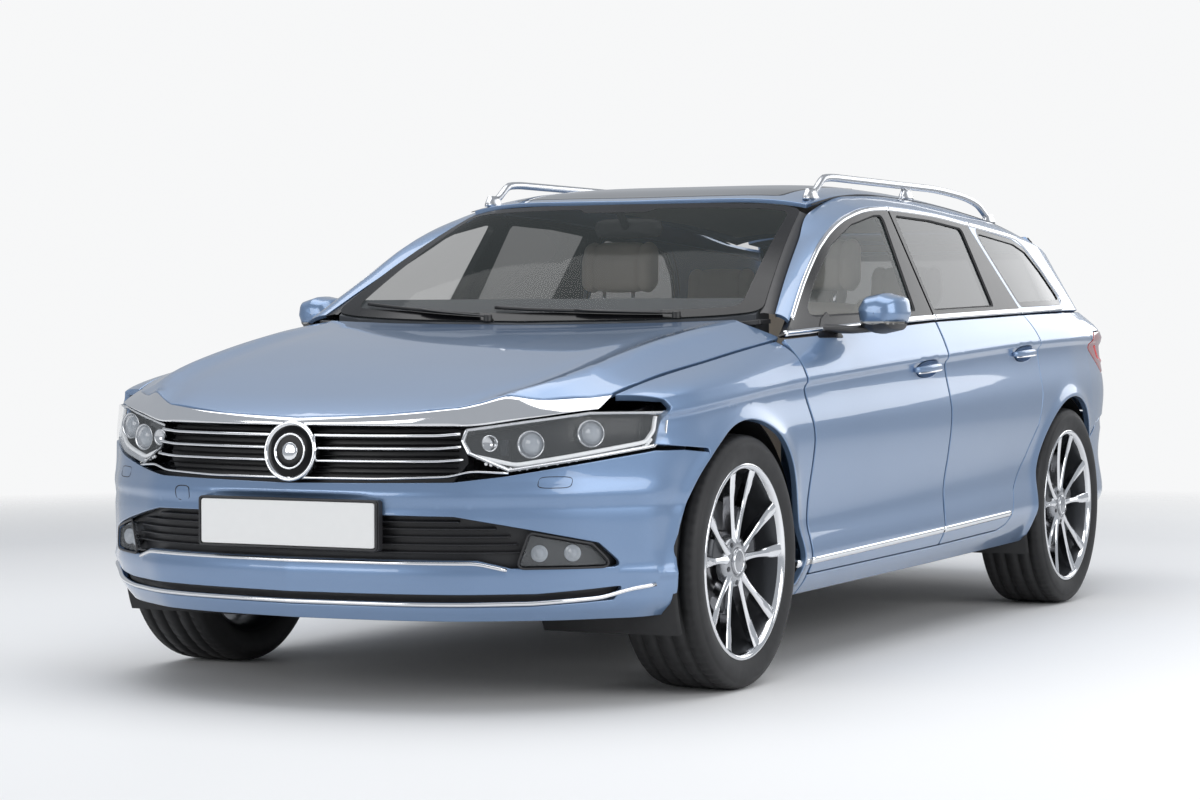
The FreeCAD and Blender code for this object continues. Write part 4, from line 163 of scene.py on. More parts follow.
def levels(x):
    """Heights and half widths of the side's long lines."""
    back = np.clip((1.2 - x) / 2.5, 0.0, 1.0)
    back = np.where(x > 1.2, (1.2 - x) / 2.5, back)
    wide, edge = widest(x), tornado(x)
    zs = [lo + (hi - lo) * back for lo, hi, _ in SIDE_ROW]
    ys = [wide - inset for _, _, inset in SIDE_ROW]
    zs += [edge - .024, edge, edge + .03, belt_h(x)]
    ys += [wide - .021, wide - .007, wide - .016, belt_w(x)]
    return np.array(zs), np.array(ys)


def narrowing(x, z):
    depth = np.clip((TAIL_X - x) / (TAIL_X - tail_mid(z)), 0.0, 1.0)
    return np.where(x >= TAIL_X, 1.0, tail_plan(depth))


def side_y(x, z):
    zs, ys = levels(np.maximum(x, TAIL_X))
    return pchip(zs, ys, z) * narrowing(x, z)


def side(x, z):
    return cols(x, side_y(x, z), z)


def wall_ends(x):
    by = belt_w(x) * np.where(x < TAIL_X, narrowing(x, belt_h(x)), 1.0)
    bz = np.minimum(belt_h(x), top_h(x) - .03)
    return by, bz, top_w(x), top_h(x)


def wall(x, z):
    """The plane of the side windows and their frames."""
    by, bz, ty, tz = wall_ends(x)
    rise = (z - bz) / (tz - bz)
    return cols(x, by + (ty - by) * rise, z)


def roof_z(x, y):
    return crown(x) - (crown(x) - top_h(x)) * (np.abs(y) / top_w(x)) ** 5


def roof(x, y):
    return cols(x, y, roof_z(x, y))


def joint_table():
    rows = [tuple(row) for row in PILLAR_INNER]
    for x in (.1, -.25, -.6, -.95, -1.3, -1.65, -1.98):
        y = min(.6, float(top_w(x)) - .055)
        rows.append((x, x, y, float(roof_z(np.array(x), np.array(y)))))
    return rows


JOINTS = joint_table()
joint_x, joint_y, joint_z = curve(JOINTS, 1), curve(JOINTS, 2), curve(JOINTS, 3)


def rail(x, t):
    """The strip from the window tops to the roof or the windscreen."""
    head = cols(x, top_w(x), top_h(x))
    end = cols(joint_x(x), joint_y(x), joint_z(x))
    mid = (head + end) / 2
    lift = np.where(x > .2, .0048, 0.0)[:, None] * vec(.2, .6, .8)
    mid[:, 2] = np.where(x <= .2, roof_z(x, mid[:, 1]), mid[:, 2])
    mid = mid + lift
    t = t[:, None]
    return head * (1 - t) * (1 - 2 * t) + mid * 4 * t * (1 - t) + end * t * (2 * t - 1)


FOOT_HALF, HEAD_HALF = .735, .58
SWELL_X, SWELL_Z = .46, .89
foot_x, foot_z = curve(SCREEN_FOOT, 1), curve(SCREEN_FOOT, 2)
head_x, head_z = curve(SCREEN_HEAD, 1), curve(SCREEN_HEAD, 2)


def screen(a, rise):
    """The windscreen: share of the half width, and rise from its foot to the roof."""
    fy, hy = FOOT_HALF * np.abs(a), HEAD_HALF * np.abs(a)
    swell = .064 * rise * (1 - rise)
    x = foot_x(fy) * (1 - rise) + head_x(hy) * rise + SWELL_X * swell
    z = foot_z(fy) * (1 - rise) + head_z(hy) * rise + SWELL_Z * swell
    return cols(x, np.sign(a) * (fy * (1 - rise) + hy * rise), z)


def bonnet(x, y):
    share = np.abs(y) / shut_w(x)
    mid, shut = bonnet_mid(x), shut_h(x)
    top = mid + .006
    inner = mid + (top - mid) * (share / .84) ** 2
    outer = top + (shut - top) * (share - .84) / .16
    return cols(x, y, np.where(share <= .84, inner, outer))


def plan_line(table, wide, deep):
    """Arc-length functions of a plan curve given as (across, depth)."""
    pts = np.array(table, float)
    s = np.concatenate([[0], np.cumsum(np.hypot(np.diff(pts[:, 0]) * wide, np.diff(pts[:, 1]) * deep))])
    s = s[-1] - s
    order = np.argsort(s)
    rows = cols(s[order], pts[order, 0], pts[order, 1])
    return curve(rows, 1), curve(rows, 2), s.max()


nose_across, nose_depth, NOSE_S = plan_line(NOSE_PLAN, .905, .6)
tail_across, tail_depth, TAIL_S = plan_line([(w, d) for d, w in TAIL_PLAN], .9, .76)


def tail(s, z):
    """The rear, by distance from the middle and height."""
    depth = tail_depth(np.abs(s))
    wide = pchip(*levels(np.full(np.shape(s), TAIL_X)), z)
    return cols(TAIL_X - depth * (TAIL_X - tail_mid(z)), np.sign(s) * tail_across(np.abs(s)) * wide, z)


def gate_plan(y, z):
    """The tail as seen from behind, over its whole height."""
    by, bz, ty, tz = wall_ends(np.full(np.shape(y), TAIL_X))
    low = pchip(*levels(np.full(np.shape(y), TAIL_X)), z)
    high = by + (ty - by) * (z - bz) / (tz - bz)
    wide = np.where(z < bz, low, high)
    share = np.clip(np.abs(y) / wide, 0, 1)
    dense = np.linspace(0, 1, 600)
    depth = np.interp(share, tail_plan(dense)[::-1], dense[::-1])
    return cols(TAIL_X - depth * (TAIL_X - tail_mid(z)), y, z)


def to_s(points, wide_at, across, length):
    """(y, z) places of the nose or tail as (s, z)."""
    dense = np.linspace(0, length, 1500)
    shares = across(dense)
    out = []
    for y, z in points:
        share = min(abs(y) / float(wide_at(z)), 1.0)
        out.append((copysign(float(np.interp(share, shares, dense)), y), z))
    return out


def tail_wide(z):
    return pchip(*levels(vec(TAIL_X)), vec(z))[0]


# Outlines
def rounded(points, radius=0.0, step=.01):
    """A closed outline with rounded corners, as closely spaced points."""
    pts = [Vector(p) for p in points]
    path = []
    for i, p in enumerate(pts):
        back, ahead = pts[i - 1] - p, pts[(i + 1) % len(pts)] - p
        turn = back.angle(ahead, pi)
        if radius <= 0 or turn > radians(177):
            path.append(p)
            continue
        reach = min(radius / tan(turn / 2), back.length * .48, ahead.length * .48)
        a, b = p + back.normalized() * reach, p + ahead.normalized() * reach
        for k in range(9):
            t = k / 8
            path.append(a * (1 - t) ** 2 + p * 2 * t * (1 - t) + b * t * t)
    dense = []
    for p, q in zip(path, path[1:] + path[:1]):
        count = max(1, int(ceil((q - p).length / step)))
        dense += [p.lerp(q, k / count) for k in range(count)]
    out = [dense[0]]
    for p in dense[1:]:
        if (p - out[-1]).length > .0008:
            out.append(p)
    arr = np.array([(p.x, p.y) for p in out])
    area = np.sum(arr[:, 0] * np.roll(arr[:, 1], -1) - arr[:, 1] * np.roll(arr[:, 0], -1))
    return arr if area > 0 else arr[::-1]


def between(points, step=None, count=1):
    """Places along a line, about a step apart or a fixed count to each stretch."""
    dense = []
    for p, q in zip(points, points[1:]):
        n = count if step is None else max(1, int(hypot(q[0] - p[0], q[1] - p[1]) / step))
        dense += [(p[0] + (q[0] - p[0]) * k / n, p[1] + (q[1] - p[1]) * k / n) for k in range(n)]
    return np.array(dense + [points[-1]])


def softened(line, rounds):
    """The line with its corners eased, its ends kept."""
    for _ in range(rounds):
        line[1:-1] = .25 * line[:-2] + .5 * line[1:-1] + .25 * line[2:]
    return line


def full_turn(count):
    """Angles all the way round."""
    return np.linspace(0, 2 * pi, count, endpoint=False)


def oblong(u, v, wide, high, round_u, round_v, count):
    """A rounded box as an outline: a low power gives squarer corners."""
    power = lambda value, by: copysign(abs(value) ** by, value)
    return [(u + wide * power(cos(t), round_u), v + high * power(sin(t), round_v)) for t in full_turn(count)]


def upright(y, ring):
    """A plan of (x, z) places at one distance from the car's middle."""
    return cols(ring[:, 0], np.full(len(ring), y), ring[:, 1])


def inset(loop, amount):
    """The outline moved inwards, its point count kept."""
    ahead = np.roll(loop, -1, 0) - loop
    ahead /= np.linalg.norm(ahead, axis=1)[:, None]
    normal = cols(-ahead[:, 1], ahead[:, 0])
    both = normal + np.roll(normal, 1, 0)
    both /= np.maximum(np.linalg.norm(both, axis=1), .3)[:, None]
    return loop + both * amount


def inside(loop, pts):
    """Which points lie inside a closed outline."""
    a, b = loop, np.roll(loop, -1, 0)
    hit = np.zeros(len(pts), bool)
    for start in range(0, len(pts), 4000):
        p = pts[start:start + 4000]
        above_a = a[None, :, 1] > p[:, None, 1]
        above_b = b[None, :, 1] > p[:, None, 1]
        run = np.where(above_a == above_b, 1.0, b[None, :, 1] - a[None, :, 1])
        cross = a[None, :, 0] + (p[:, None, 1] - a[None, :, 1]) * (b[None, :, 0] - a[None, :, 0]) / run
        hit[start:start + 4000] = ((above_a != above_b) & (p[:, None, 0] < cross)).sum(1) % 2 == 1
    return hit


def far_from(loop, pts, distance):
    keep = np.ones(len(pts), bool)
    for start in range(0, len(pts), 2000):
        p = pts[start:start + 2000]
        d = np.hypot(p[:, None, 0] - loop[None, :, 0], p[:, None, 1] - loop[None, :, 1]).min(1)
        keep[start:start + 2000] = d > distance
    return keep


def normals(f, uv, hint, inner=None):
    e = .0015
    du = f(uv[:, 0] + e, uv[:, 1]) - f(uv[:, 0] - e, uv[:, 1])
    dv = f(uv[:, 0], uv[:, 1] + e) - f(uv[:, 0], uv[:, 1] - e)
    n = np.cross(du, dv)
    n /= np.maximum(np.linalg.norm(n, axis=1), 1e-12)[:, None]
    if inner is None:
        flip = np.sign(n @ np.array(hint, float))
    else:
        away = f(uv[:, 0], uv[:, 1])[:, :2] - np.array(inner)
        flip = np.sign((n[:, :2] * away).sum(1))
    flip[flip == 0] = 1
    return n * flip[:, None]


# Pieces
def put(name, verts, faces, mat, body="shell", slot=None, smooth=True, vertex_normals=None):
    mesh = bpy.data.meshes.new(name)
    mesh.from_pydata([tuple(v) for v in verts], [], [tuple(int(i) for i in f) for f in faces])
    mesh.polygons.foreach_set("use_smooth", [smooth] * len(mesh.polygons))
    mesh.materials.append(mat)
    if vertex_normals is not None:
        mesh.normals_split_custom_set_from_vertices([tuple(n) for n in vertex_normals])
    mesh.update()
    obj = bpy.data.objects.new(name, mesh)
    bpy.context.scene.collection.objects.link(obj)
    slot = slot or SLOTS[mat.name.split(".")[0]]
    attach(obj, body)
    return obj


def other(name):
    return name.replace("_left", "_right")


def pair(name, verts, faces, mat, body="shell", slot=None, smooth=True, vertex_normals=None):
    """A left piece and its mirror image on the right."""
    verts = np.array(verts, float)
    flip = vec(1, -1, 1)
    left = put(name, verts, faces, mat, body, slot, smooth, vertex_normals)
    turned = None if vertex_normals is None else np.array(vertex_normals) * flip
    right = put(other(name), verts * flip, [tuple(reversed(f)) for f in faces], mat, other(body), slot,
        smooth, turned)
    return left, right


def skin_data(f, outer, holes=(), step=.02, edge=.003, flange=.01, hint=(0, 1, 0), lift=0.0, rows=(),
        inner=None):
    """A sheet on a surface with rounded rims that turn inwards: points, faces and normals."""
    rings = [outer] + [np.array(h)[::-1] for h in holes]
    quarter = .29
    bounds = [inset(ring, edge) for ring in rings]
    low, high = bounds[0].min(0), bounds[0].max(0)
    gu = np.arange(low[0], high[0], step)
    gv = np.arange(low[1], high[1], step * .87)
    grid = np.array([(u + (step / 2 if j % 2 else 0), v) for j, v in enumerate(gv) for u in gu]).reshape(-1,
        2)
    extra = [np.array(r, float) for r in rows]
    extra = np.vstack(extra) if extra else np.zeros((0, 2))
    if len(extra):
        grid = grid[far_from(extra, grid, step * .55)] if len(grid) else grid
        grid = np.vstack([grid, extra])
    if len(grid):
        keep = inside(bounds[0], grid)
        for hole in bounds[1:]:
            keep &= ~inside(hole, grid)
        grid = grid[keep]
        for ring in bounds:
            grid = grid[far_from(ring, grid, step * .45)]
    flat = [tuple(p) for ring in bounds for p in ring] + [tuple(p) for p in grid]
    edges, base = [], 0
    for ring in bounds:
        n = len(ring)
        edges += [(base + k, base + (k + 1) % n) for k in range(n)]
        base += n
    made = delaunay_2d_cdt([Vector(p) for p in flat], edges, [], 0, 1e-7)
    uv = np.array([(p.x, p.y) for p in made[0]])
    tris = np.array([t for t in made[2] if len(t) == 3])
    mids = uv[tris].mean(1)
    keep = inside(bounds[0], mids)
    for hole in bounds[1:]:
        keep &= ~inside(hole, mids)
    tris = tris[keep]
    n_main = normals(f, uv, hint, inner)
    verts = f(uv[:, 0], uv[:, 1]) + n_main * lift
    a = verts[tris[:, 1]] - verts[tris[:, 0]]
    b = verts[tris[:, 2]] - verts[tris[:, 0]]
    wrong = np.einsum("ij,ij->i", np.cross(a, b), n_main[tris[:, 0]]) < 0
    tris[wrong] = tris[wrong][:, ::-1]
    faces = [tuple(t) for t in tris]
    all_v, all_n = [verts], [n_main]
    origins = made[3]
    place = {}
    for i, src in enumerate(origins):
        for k in src:
            place.setdefault(k, i)
    total, base = len(verts), 0
    for ring, bound in zip(rings, bounds):
        n = len(ring)
        first = [place[base + k] for k in range(n)]
        base += n
        pos = f(ring[:, 0], ring[:, 1])
        up = normals(f, ring, hint, inner)
        out = pos - f(bound[:, 0], bound[:, 1])
        out -= up * np.einsum("ij,ij->i", out, up)[:, None]
        out /= np.maximum(np.linalg.norm(out, axis=1), 1e-9)[:, None]
        mid_uv = inset(ring, edge * quarter)
        mid = f(mid_uv[:, 0], mid_uv[:, 1]) + up * (lift - edge * quarter)
        rim = pos + up * (lift - edge)
        layers = [(mid, (up + out) * .7071), (rim, out)]
        if flange > 0:
            layers.append((rim - up * flange, out))
        previous = first
        for points, turned in layers:
            all_v.append(points)
            all_n.append(turned)
            current = list(range(total, total + n))
            total += n
            for k in range(n):
                j = (k + 1) % n
                faces.append((previous[k], previous[j], current[j], current[k]))
            previous = current
    verts, norms = np.vstack(all_v), np.vstack(all_n)
    start = len(tris)
    fixed = []
    for face in faces[start:]:
        p = verts[list(face)]
        g = np.cross(p[1] - p[0], p[3] - p[0])
        fixed.append(face if g @ norms[list(face)].sum(0) >= 0 else tuple(reversed(face)))
    return verts, faces[:start] + fixed, norms


def skin(name, f, outer, mat, body="shell", slot=None, mirror=True, **options):
    verts, faces, norms = skin_data(f, outer, **options)
    if mirror:
        return pair(name, verts, faces, mat, body, slot, True, norms)
    return [put(name, verts, faces, mat, body, slot, True, norms)]


def strip(name, f, line, widths, mat, body="shell", slot=None, mirror=True, hint=(0, 1, 0), lift=.004,
        closed=False):
    """A raised moulding of half-round section along a line on a surface."""
    line = np.array(line, float)
    ahead = (np.roll(line, -1, 0) - np.roll(line, 1, 0)) if closed else np.gradient(line, axis=0)
    ahead /= np.maximum(np.linalg.norm(ahead, axis=1), 1e-9)[:, None]
    across = cols(-ahead[:, 1], ahead[:, 0])
    widths = np.broadcast_to(np.array(widths, float), (len(line),))[:, None]
    section = [(-1.0, -.8), (-.92, .35), (-.55, .85), (0.0, 1.0), (.55, .85), (.92, .35), (1.0, -.8)]
    n, loops = len(line), []
    for side_share, rise in section:
        uv = line + across * widths * side_share / 2
        loops.append(f(uv[:, 0], uv[:, 1]) + normals(f, uv, hint) * lift * rise)
    verts, faces = loft(loops, closed)
    if not closed:
        faces.append(tuple(k * n for k in range(len(section))))
        faces.append(tuple(k * n + n - 1 for k in reversed(range(len(section)))))
    make = pair if mirror else put
    out = make(name, verts, faces, mat, body, slot, True)
    for obj in (out if mirror else [out]):
        tidy_normals(obj)
    return out


def remade(obj, change):
    bm = bmesh.new()
    bm.from_mesh(obj.data)
    change(bm)
    bm.to_mesh(obj.data)
    bm.free()


def tidy_normals(obj):
    remade(obj, lambda bm: bmesh.ops.recalc_face_normals(bm, faces=bm.faces))


def loft(loops, closed=True, caps=(False, False)):
    """Faces between loops that have the same point count."""
    n = len(loops[0])
    faces = []
    for k in range(len(loops) - 1):
        for i in range(n if closed else n - 1):
            j = (i + 1) % n
            faces.append((k * n + i, k * n + j, (k + 1) * n + j, (k + 1) * n + i))
    if caps[0]:
        faces.append(tuple(reversed(range(n))))
    if caps[1]:
        faces.append(tuple(range((len(loops) - 1) * n, len(loops) * n)))
    return np.vstack(loops), faces


def lofted(name, loops, mat, body="shell", slot=None, mirror=True, closed=True, caps=(False, False),
        smooth=True):
    verts, faces = loft(loops, closed, caps)
    made = pair(name, verts, faces, mat, body, slot, smooth) if mirror else [put(name, verts, faces, mat,
        body, slot, smooth)]
    for obj in made:
        tidy_normals(obj)
    return made


def spun(profile, x, y, sides=96, start=0.0):
    """Rings about an axle across the car: profile of (outwards, radius)."""
    loops = []
    for out, radius in profile:
        turn = np.arange(sides) * 2 * pi / sides + start
        loops.append(cols(x + radius * np.cos(turn), np.full(sides, y + out), AZ + radius * np.sin(turn)))
    return loops


# Materials
class Sock:
    """A shader value that can be used in plain expressions."""

    def __init__(self, kit, link):
        self.kit, self.link = kit, link

    def _math(self, operation, *values):
        return Sock(self.kit, self.kit.node("Math", {"operation": operation}, dict(enumerate(values))))

    def __add__(self, o):
        return self._math("ADD", self, o)

    def __mul__(self, o):
        return self._math("MULTIPLY", self, o)

    __radd__, __rmul__ = __add__, __mul__


class Kit:
    """A material with one Principled shader, or the room's own nodes."""

    def __init__(self, name, room=None, **plain):
        self.mat = room or bpy.data.materials.new(name)
        self.mat.use_nodes = True
        self.tree = self.mat.node_tree
        self.shader = self.tree.nodes["World Output" if room else "Principled BSDF"]
        for key, value in plain.items():
            self.set(key.replace("_", " "), value)

    def set(self, socket, value):
        self._feed(self.shader.inputs[socket], value)

    def _feed(self, socket, value):
        if isinstance(value, Sock):
            value = value.link
        if isinstance(value, bpy.types.NodeSocket):
            self.tree.links.new(value, socket)
        elif isinstance(value, tuple) and len(value) == 3 and socket.type == "RGBA":
            socket.default_value = (*value, 1.0)
        else:
            socket.default_value = value

    def node(self, kind, settings=None, values=None, out=0):
        made = self.tree.nodes.new("ShaderNode" + kind)
        for key, value in (settings or {}).items():
            setattr(made, key, value)
        for key, value in (values or {}).items():
            self._feed(made.inputs[key], value)
        return made.outputs[out]

    def noise(self, scale, detail=2.0, rough=.5):
        place = self.node("TexCoord", out=3)
        return Sock(self, self.node("TexNoise", {}, {"Vector": place, "Scale": scale, "Detail": detail,
            "Roughness": rough}))

    def place(self):
        """Object x, y and z."""
        where = self.node("TexCoord", out=3)
        return [Sock(self, self.node("SeparateXYZ", {}, {0: where}, out=k)) for k in range(3)]

    def mix(self, factor, a, b):
        return Sock(self, self.node("Mix", {"data_type": "RGBA"}, {0: factor, 6: a, 7: b}, out=2))

    def bump(self, height, strength, distance):
        self.set("Normal", self.node("Bump", {}, {"Height": height, "Strength": strength,
            "Distance": distance}))


def body_paint():
    kit = Kit("blue_metallic_paint", Metallic=.55, Roughness=.34, Coat_Weight=1.0, Coat_Roughness=.03)
    flake = kit.noise(900, 1.0)
    cloud = kit.noise(2.2, 2.0)
    tone = kit.mix(cloud, (.128, .222, .39), (.14, .24, .415))
    kit.set("Base Color", kit.mix(flake * .35, tone, (.3, .37, .47)))
    kit.set("Roughness", kit.noise(3.0) * .06 + .31)
    return kit.mat


def plain(name, colour, rough, metal=0.0, scale=40.0, spread=.12, grain=0.0, coat=0.0, **more):
    """A finish with a small change of tone and shine over the surface."""
    kit = Kit(name, Metallic=metal, Roughness=rough, Coat_Weight=coat, **more)
    tone = kit.noise(scale, 3.0)
    light = tuple(min(1.0, c * (1 + spread)) for c in colour)
    dark = tuple(c * (1 - spread) for c in colour)
    kit.set("Base Color", kit.mix(tone, dark, light))
    kit.set("Roughness", kit.noise(scale * .37) * (rough * .3) + rough * .85)
    if grain:
        kit.bump(kit.noise(scale * 14, 2.0), .35, grain)
    return kit.mat


def clear_glass(name, tint, share, shine=.5):
    """Thin glass: mostly clear, with a coated reflection; share is how much of it is tinted body."""
    kit = Kit(name, Roughness=.04, IOR=1.5, Specular_IOR_Level=shine)
    kit.set("Base Color", kit.mix(kit.noise(1.5), tint, tuple(c * 1.15 for c in tint)))
    kit.set("Alpha", kit.noise(2.0) * .03 + share)
    kit.mat.surface_render_method = "BLENDED"
    return kit.mat


# The slot that each finish usually fills
SLOTS = {"blue_metallic_paint": "body_paint", "plate_white": "body_paint", "tinted_glass": "window",
    "windscreen_glass": "window", "gloss_black": "dark_glass", "roof_glass_black": "dark_glass",
    "dark_inner_metal": "inner_body", "arch_lining": "inner_body", "soft_seal": "trim_black",
    "black_trim": "trim_black", "wiper_black": "trim_black", "bright_chrome": "rail_metal",
    "rail_alloy": "rail_metal", "lamp_lens": "lamp_clear", "lamp_reflector": "lamp_clear",
    "day_light": "lamp_clear", "pale_reverse_lens": "lamp_clear", "projector_lens": "lamp_clear",
    "dark_door_trim": "dash_black", "soft_black_facia": "dash_black", "light_red_bar": "lamp_red",
    "red_lamp": "lamp_red", "pale_headliner": "seat_cloth", "beige_leather": "seat_cloth",
    "tyre_rubber": "tyre_rubber", "polished_alloy": "wheel_alloy", "dark_wheel_paint": "wheel_alloy",
    "brake_iron": "wheel_alloy", "satin_rail_metal": "chassis_steel"}

# Finishes
PAINT = body_paint()
BLACK = plain("black_trim", (.018, .018, .02), .42, spread=.1, grain=.00004)
GLOSS = plain("gloss_black", (.005, .005, .006), .2, spread=.1, Specular_IOR_Level=.18)
CHROME = plain("bright_chrome", (.8, .81, .83), .07, metal=1.0, spread=.02)
SATIN = plain("satin_rail_metal", (.62, .63, .65), .28, metal=1.0, spread=.03)
GLASS = clear_glass("window_glass", (.05, .062, .062), .42)
TINTED = clear_glass("tinted_glass", (.018, .022, .024), .8)
SHIELD = clear_glass("windscreen_glass", (.045, .052, .052), .36, .1)
ROOF_TINT = plain("roof_glass_black", (.006, .007, .009), .05, spread=.1, coat=.5)
INNER = plain("dark_inner_metal", (.02, .02, .022), .55, spread=.15)
SEALS = plain("soft_seal", (.012, .012, .013), .62, spread=.2)

# Half a shut gap, and the middles that wrap-round panels face away from
GAP = .0019
FRONT_CENTRE, REAR_CENTRE = 1.0, -1.2
DOOR_TRIM_Y = .775
FRONT_LEAF, REAR_LEAF = "front_door_leaf_left", "rear_door_leaf_left"
WALL_HINT, UP = (0, 1, .2), (0, 0, 1)


def split_at(points, low_side, line):
    """The part of an outline under or over a line z = line(x)."""
    out = []
    pts = [tuple(p) for p in points]
    for p, q in zip(pts, pts[1:] + pts[:1]):
        a, b = p[1] - line(p[0]), q[1] - line(q[0])
        if low_side:
            a, b = -a, -b
        if a >= 0:
            out.append(p)
        if (a > 0) != (b > 0) and a != b:
            t = a / (a - b)
            out.append((p[0] + (q[0] - p[0]) * t, p[1] + (q[1] - p[1]) * t))
    return out


def arc(cx, cz, radius, start, end, count=24):
    turns = np.radians(np.linspace(start, end, count))
    return [(cx + radius * cos(t), cz + radius * sin(t)) for t in turns]


def crease_rows(x0, x1, step=.02):
    """Rows of points along the side's long lines, so that its creases stay crisp."""
    xs = np.arange(x0, x1, step)
    rows = []
    for k in (3, 5, 6, 7):
        zs = levels(xs)[0][k]
        rows.append(cols(xs, zs))
    zs = levels(xs)[0]
    rows.append(cols(xs, zs[5] + .35 * (zs[6] - zs[5])))
    rows.append(cols(xs, zs[5] + .7 * (zs[6] - zs[5])))
    rows.append(cols(xs, zs[6] + .5 * (zs[7] - zs[6])))
    return rows


belt_line = lambda x: float(min(belt_h(x), top_h(x) - .03)) - .004


def door(name, outline, window):
    """One door: its skin, window frame, inner box, window rubber and glass."""
    body = name + "_door_leaf_left"
    node = name + "_door_left"
    low = inset(rounded(split_at(outline, True, belt_line), .01), GAP)
    skin(node + "_skin", side, low, PAINT, body, holes=[GRIPS[name]], rows=crease_rows(-1.0, 1.1), step=.021)
    pane = rounded(window, .022)
    frame_line = inset(rounded(split_at(outline, False, lambda x: belt_line(x) + .004), .008), GAP)
    skin(node + "_frame", wall, frame_line, GLOSS, body, holes=[pane], hint=WALL_HINT, flange=.022, edge=.002,
        lift=.001)
    skin(name + "_door_glass_left_pane", wall, inset(pane, -.004), GLASS if name == "front" else TINTED, body,
        "window", hint=WALL_HINT, lift=-.006, edge=.0005, flange=.0038, step=.05)
    rim = [wall(ring[:, 0], ring[:, 1]) + vec(0, dy, 0) for ring, dy in ((inset(pane, .004), -.004),
        (pane, -.0005), (inset(pane, -.003), .0012), (inset(pane, -.004), -.003))]
    lofted(node + "_rubber", rim, SEALS, body)
    tub = rounded(split_at(outline, True, lambda x: belt_line(x) - .012), .03)
    loops = []
    for amount, deep in ((GAP, .006), (.012, .014), (.03, .034)):
        ring = inset(tub, amount)
        loops.append(side(ring[:, 0], ring[:, 1]) - vec(0, deep, 0))
    for amount, y in ((.045, .8), (.05, DOOR_TRIM_Y)):
        ring = inset(tub, amount)
        loops.append(upright(y, ring))
    lofted(node + "_box", loops, PAINT, body)
    trim = lambda a, b: cols(a, DOOR_TRIM_Y + .01 * np.sin((b - .3) * 4.0), b)
    skin(node + "_trim", trim, inset(tub, .05), TRIM, body, hint=(0, -1, 0), edge=.002, flange=0.0, step=.04)


def handle_line(x):
    return float(tornado(x)) - .03


def grip_loop(x0, x1):
    """The scooped recess behind a door handle."""
    z0, z1 = handle_line(x0), handle_line(x1)
    mid = (z0 + z1) / 2
    cx, half = (x0 + x1) / 2, abs(x1 - x0) / 2
    slope = (z1 - z0) / (x1 - x0)
    turn = full_turn(48)
    c, s = np.cos(turn), np.sin(turn)
    u = half * np.sign(c) * np.abs(c) ** .75
    v = .026 * np.sign(s) * np.abs(s) ** .75
    return cols(cx + u, mid + slope * u + v)


GRIPS = {"front": grip_loop(.045, .215), "rear": grip_loop(-.885, -.715)}


def handle(name):
    """A pull handle over its scooped recess."""
    body = name + "_door_leaf_left"
    loop = GRIPS[name]
    centre = loop.mean(0)
    loops = []
    for share, deep in ((1.0, -.002), (.97, .004), (.9, .012), (.72, .022), (.4, .028), (.1, .03)):
        ring = centre + (loop - centre) * share
        loops.append(side(ring[:, 0], ring[:, 1]) - vec(0, deep, 0))
    lofted(name + "_door_left_scoop", loops, PAINT, body, caps=(False, True))
    x0, x1 = loop[:, 0].min() - .022, loop[:, 0].max() + .022
    xs = np.linspace(x0, x1, 28)
    slope = (handle_line(x1) - handle_line(x0)) / (x1 - x0)
    zs = centre[1] + slope * (xs - centre[0]) + .002
    base = side(xs, zs)
    loops = []
    for i, x in enumerate(xs):
        t = (x - x0) / (x1 - x0)
        bow = .004 + .02 * sin(pi * t) ** .45
        half = .012 * (.62 + .38 * sin(pi * t) ** .6)
        thick = .0055
        around = []
        for k in range(12):
            turn = 2 * pi * k / 12
            around.append(base[i] + np.array([0, bow + thick * cos(turn), half * sin(turn)]))
        loops.append(np.array(around))
    lofted(name + "_door_left_handle", loops, PAINT, body, caps=(True, True))
    tip = np.linspace(x0 + .004, x1 - .004, 20)
    tz = centre[1] + slope * (tip - centre[0]) - .0085
    bowed = [.0092 + .02 * sin(pi * (x - x0) / (x1 - x0)) ** .45 for x in tip]
    strip_at = side(tip, tz) + cols(np.zeros(20), bowed, np.zeros(20))
    loops = [strip_at[i] + np.array([[0, .0012, .002], [0, .0012, -.002], [0, -.003, -.002],
        [0, -.003, .002]]) for i in range(20)]
    lofted(name + "_door_left_handle_line", loops, CHROME, body, caps=(True, True))


TRIM = plain("dark_door_trim", (.028, .027, .026), .55, spread=.15, grain=.0001)
door("front", FRONT_DOOR, FRONT_WINDOW)
door("rear", REAR_DOOR, REAR_WINDOW)
handle("front")
handle("rear")


# Panels of the body
def smooth_step(t):
    t = np.clip(t, 0, 1)
    return t * t * (3 - 2 * t)


def front(s, z):
    """The front and the sides behind it, by distance from the middle and height."""
    a = np.abs(s)
    depth = nose_depth(np.minimum(a, NOSE_S))
    side_wide = side_y(np.full(np.shape(s), NOSE_X), z)
    blend = smooth_step(1 - depth / .45)
    wide = nose_wide(z) * (1 - blend) + side_wide * blend
    x = np.where(a <= NOSE_S, NOSE_X + depth * (nose_mid(z) - NOSE_X), NOSE_X - (a - NOSE_S))
    y = np.where(a <= NOSE_S, nose_across(np.minimum(a, NOSE_S)) * wide, side_y(np.minimum(x, NOSE_X), z))
    return cols(x, np.sign(s) * y, z)


def rear(s, z):
    """The rear and the sides before it, by distance from the middle and height."""
    a = np.abs(s)
    back = tail(np.clip(s, -TAIL_S, TAIL_S), z)
    x = TAIL_X + np.maximum(a - TAIL_S, 0)
    flank = cols(x, np.sign(s) * side_y(x, z), z)
    return np.where((a <= TAIL_S)[:, None], back, flank)


def rear_s(x):
    return TAIL_S + (x - TAIL_X)


def front_s(x):
    return NOSE_S + (NOSE_X - x)


def from_front(points):
    return to_s(points, nose_wide, nose_across, NOSE_S)


def from_rear(points):
    return to_s(points, tail_wide, tail_across, TAIL_S)


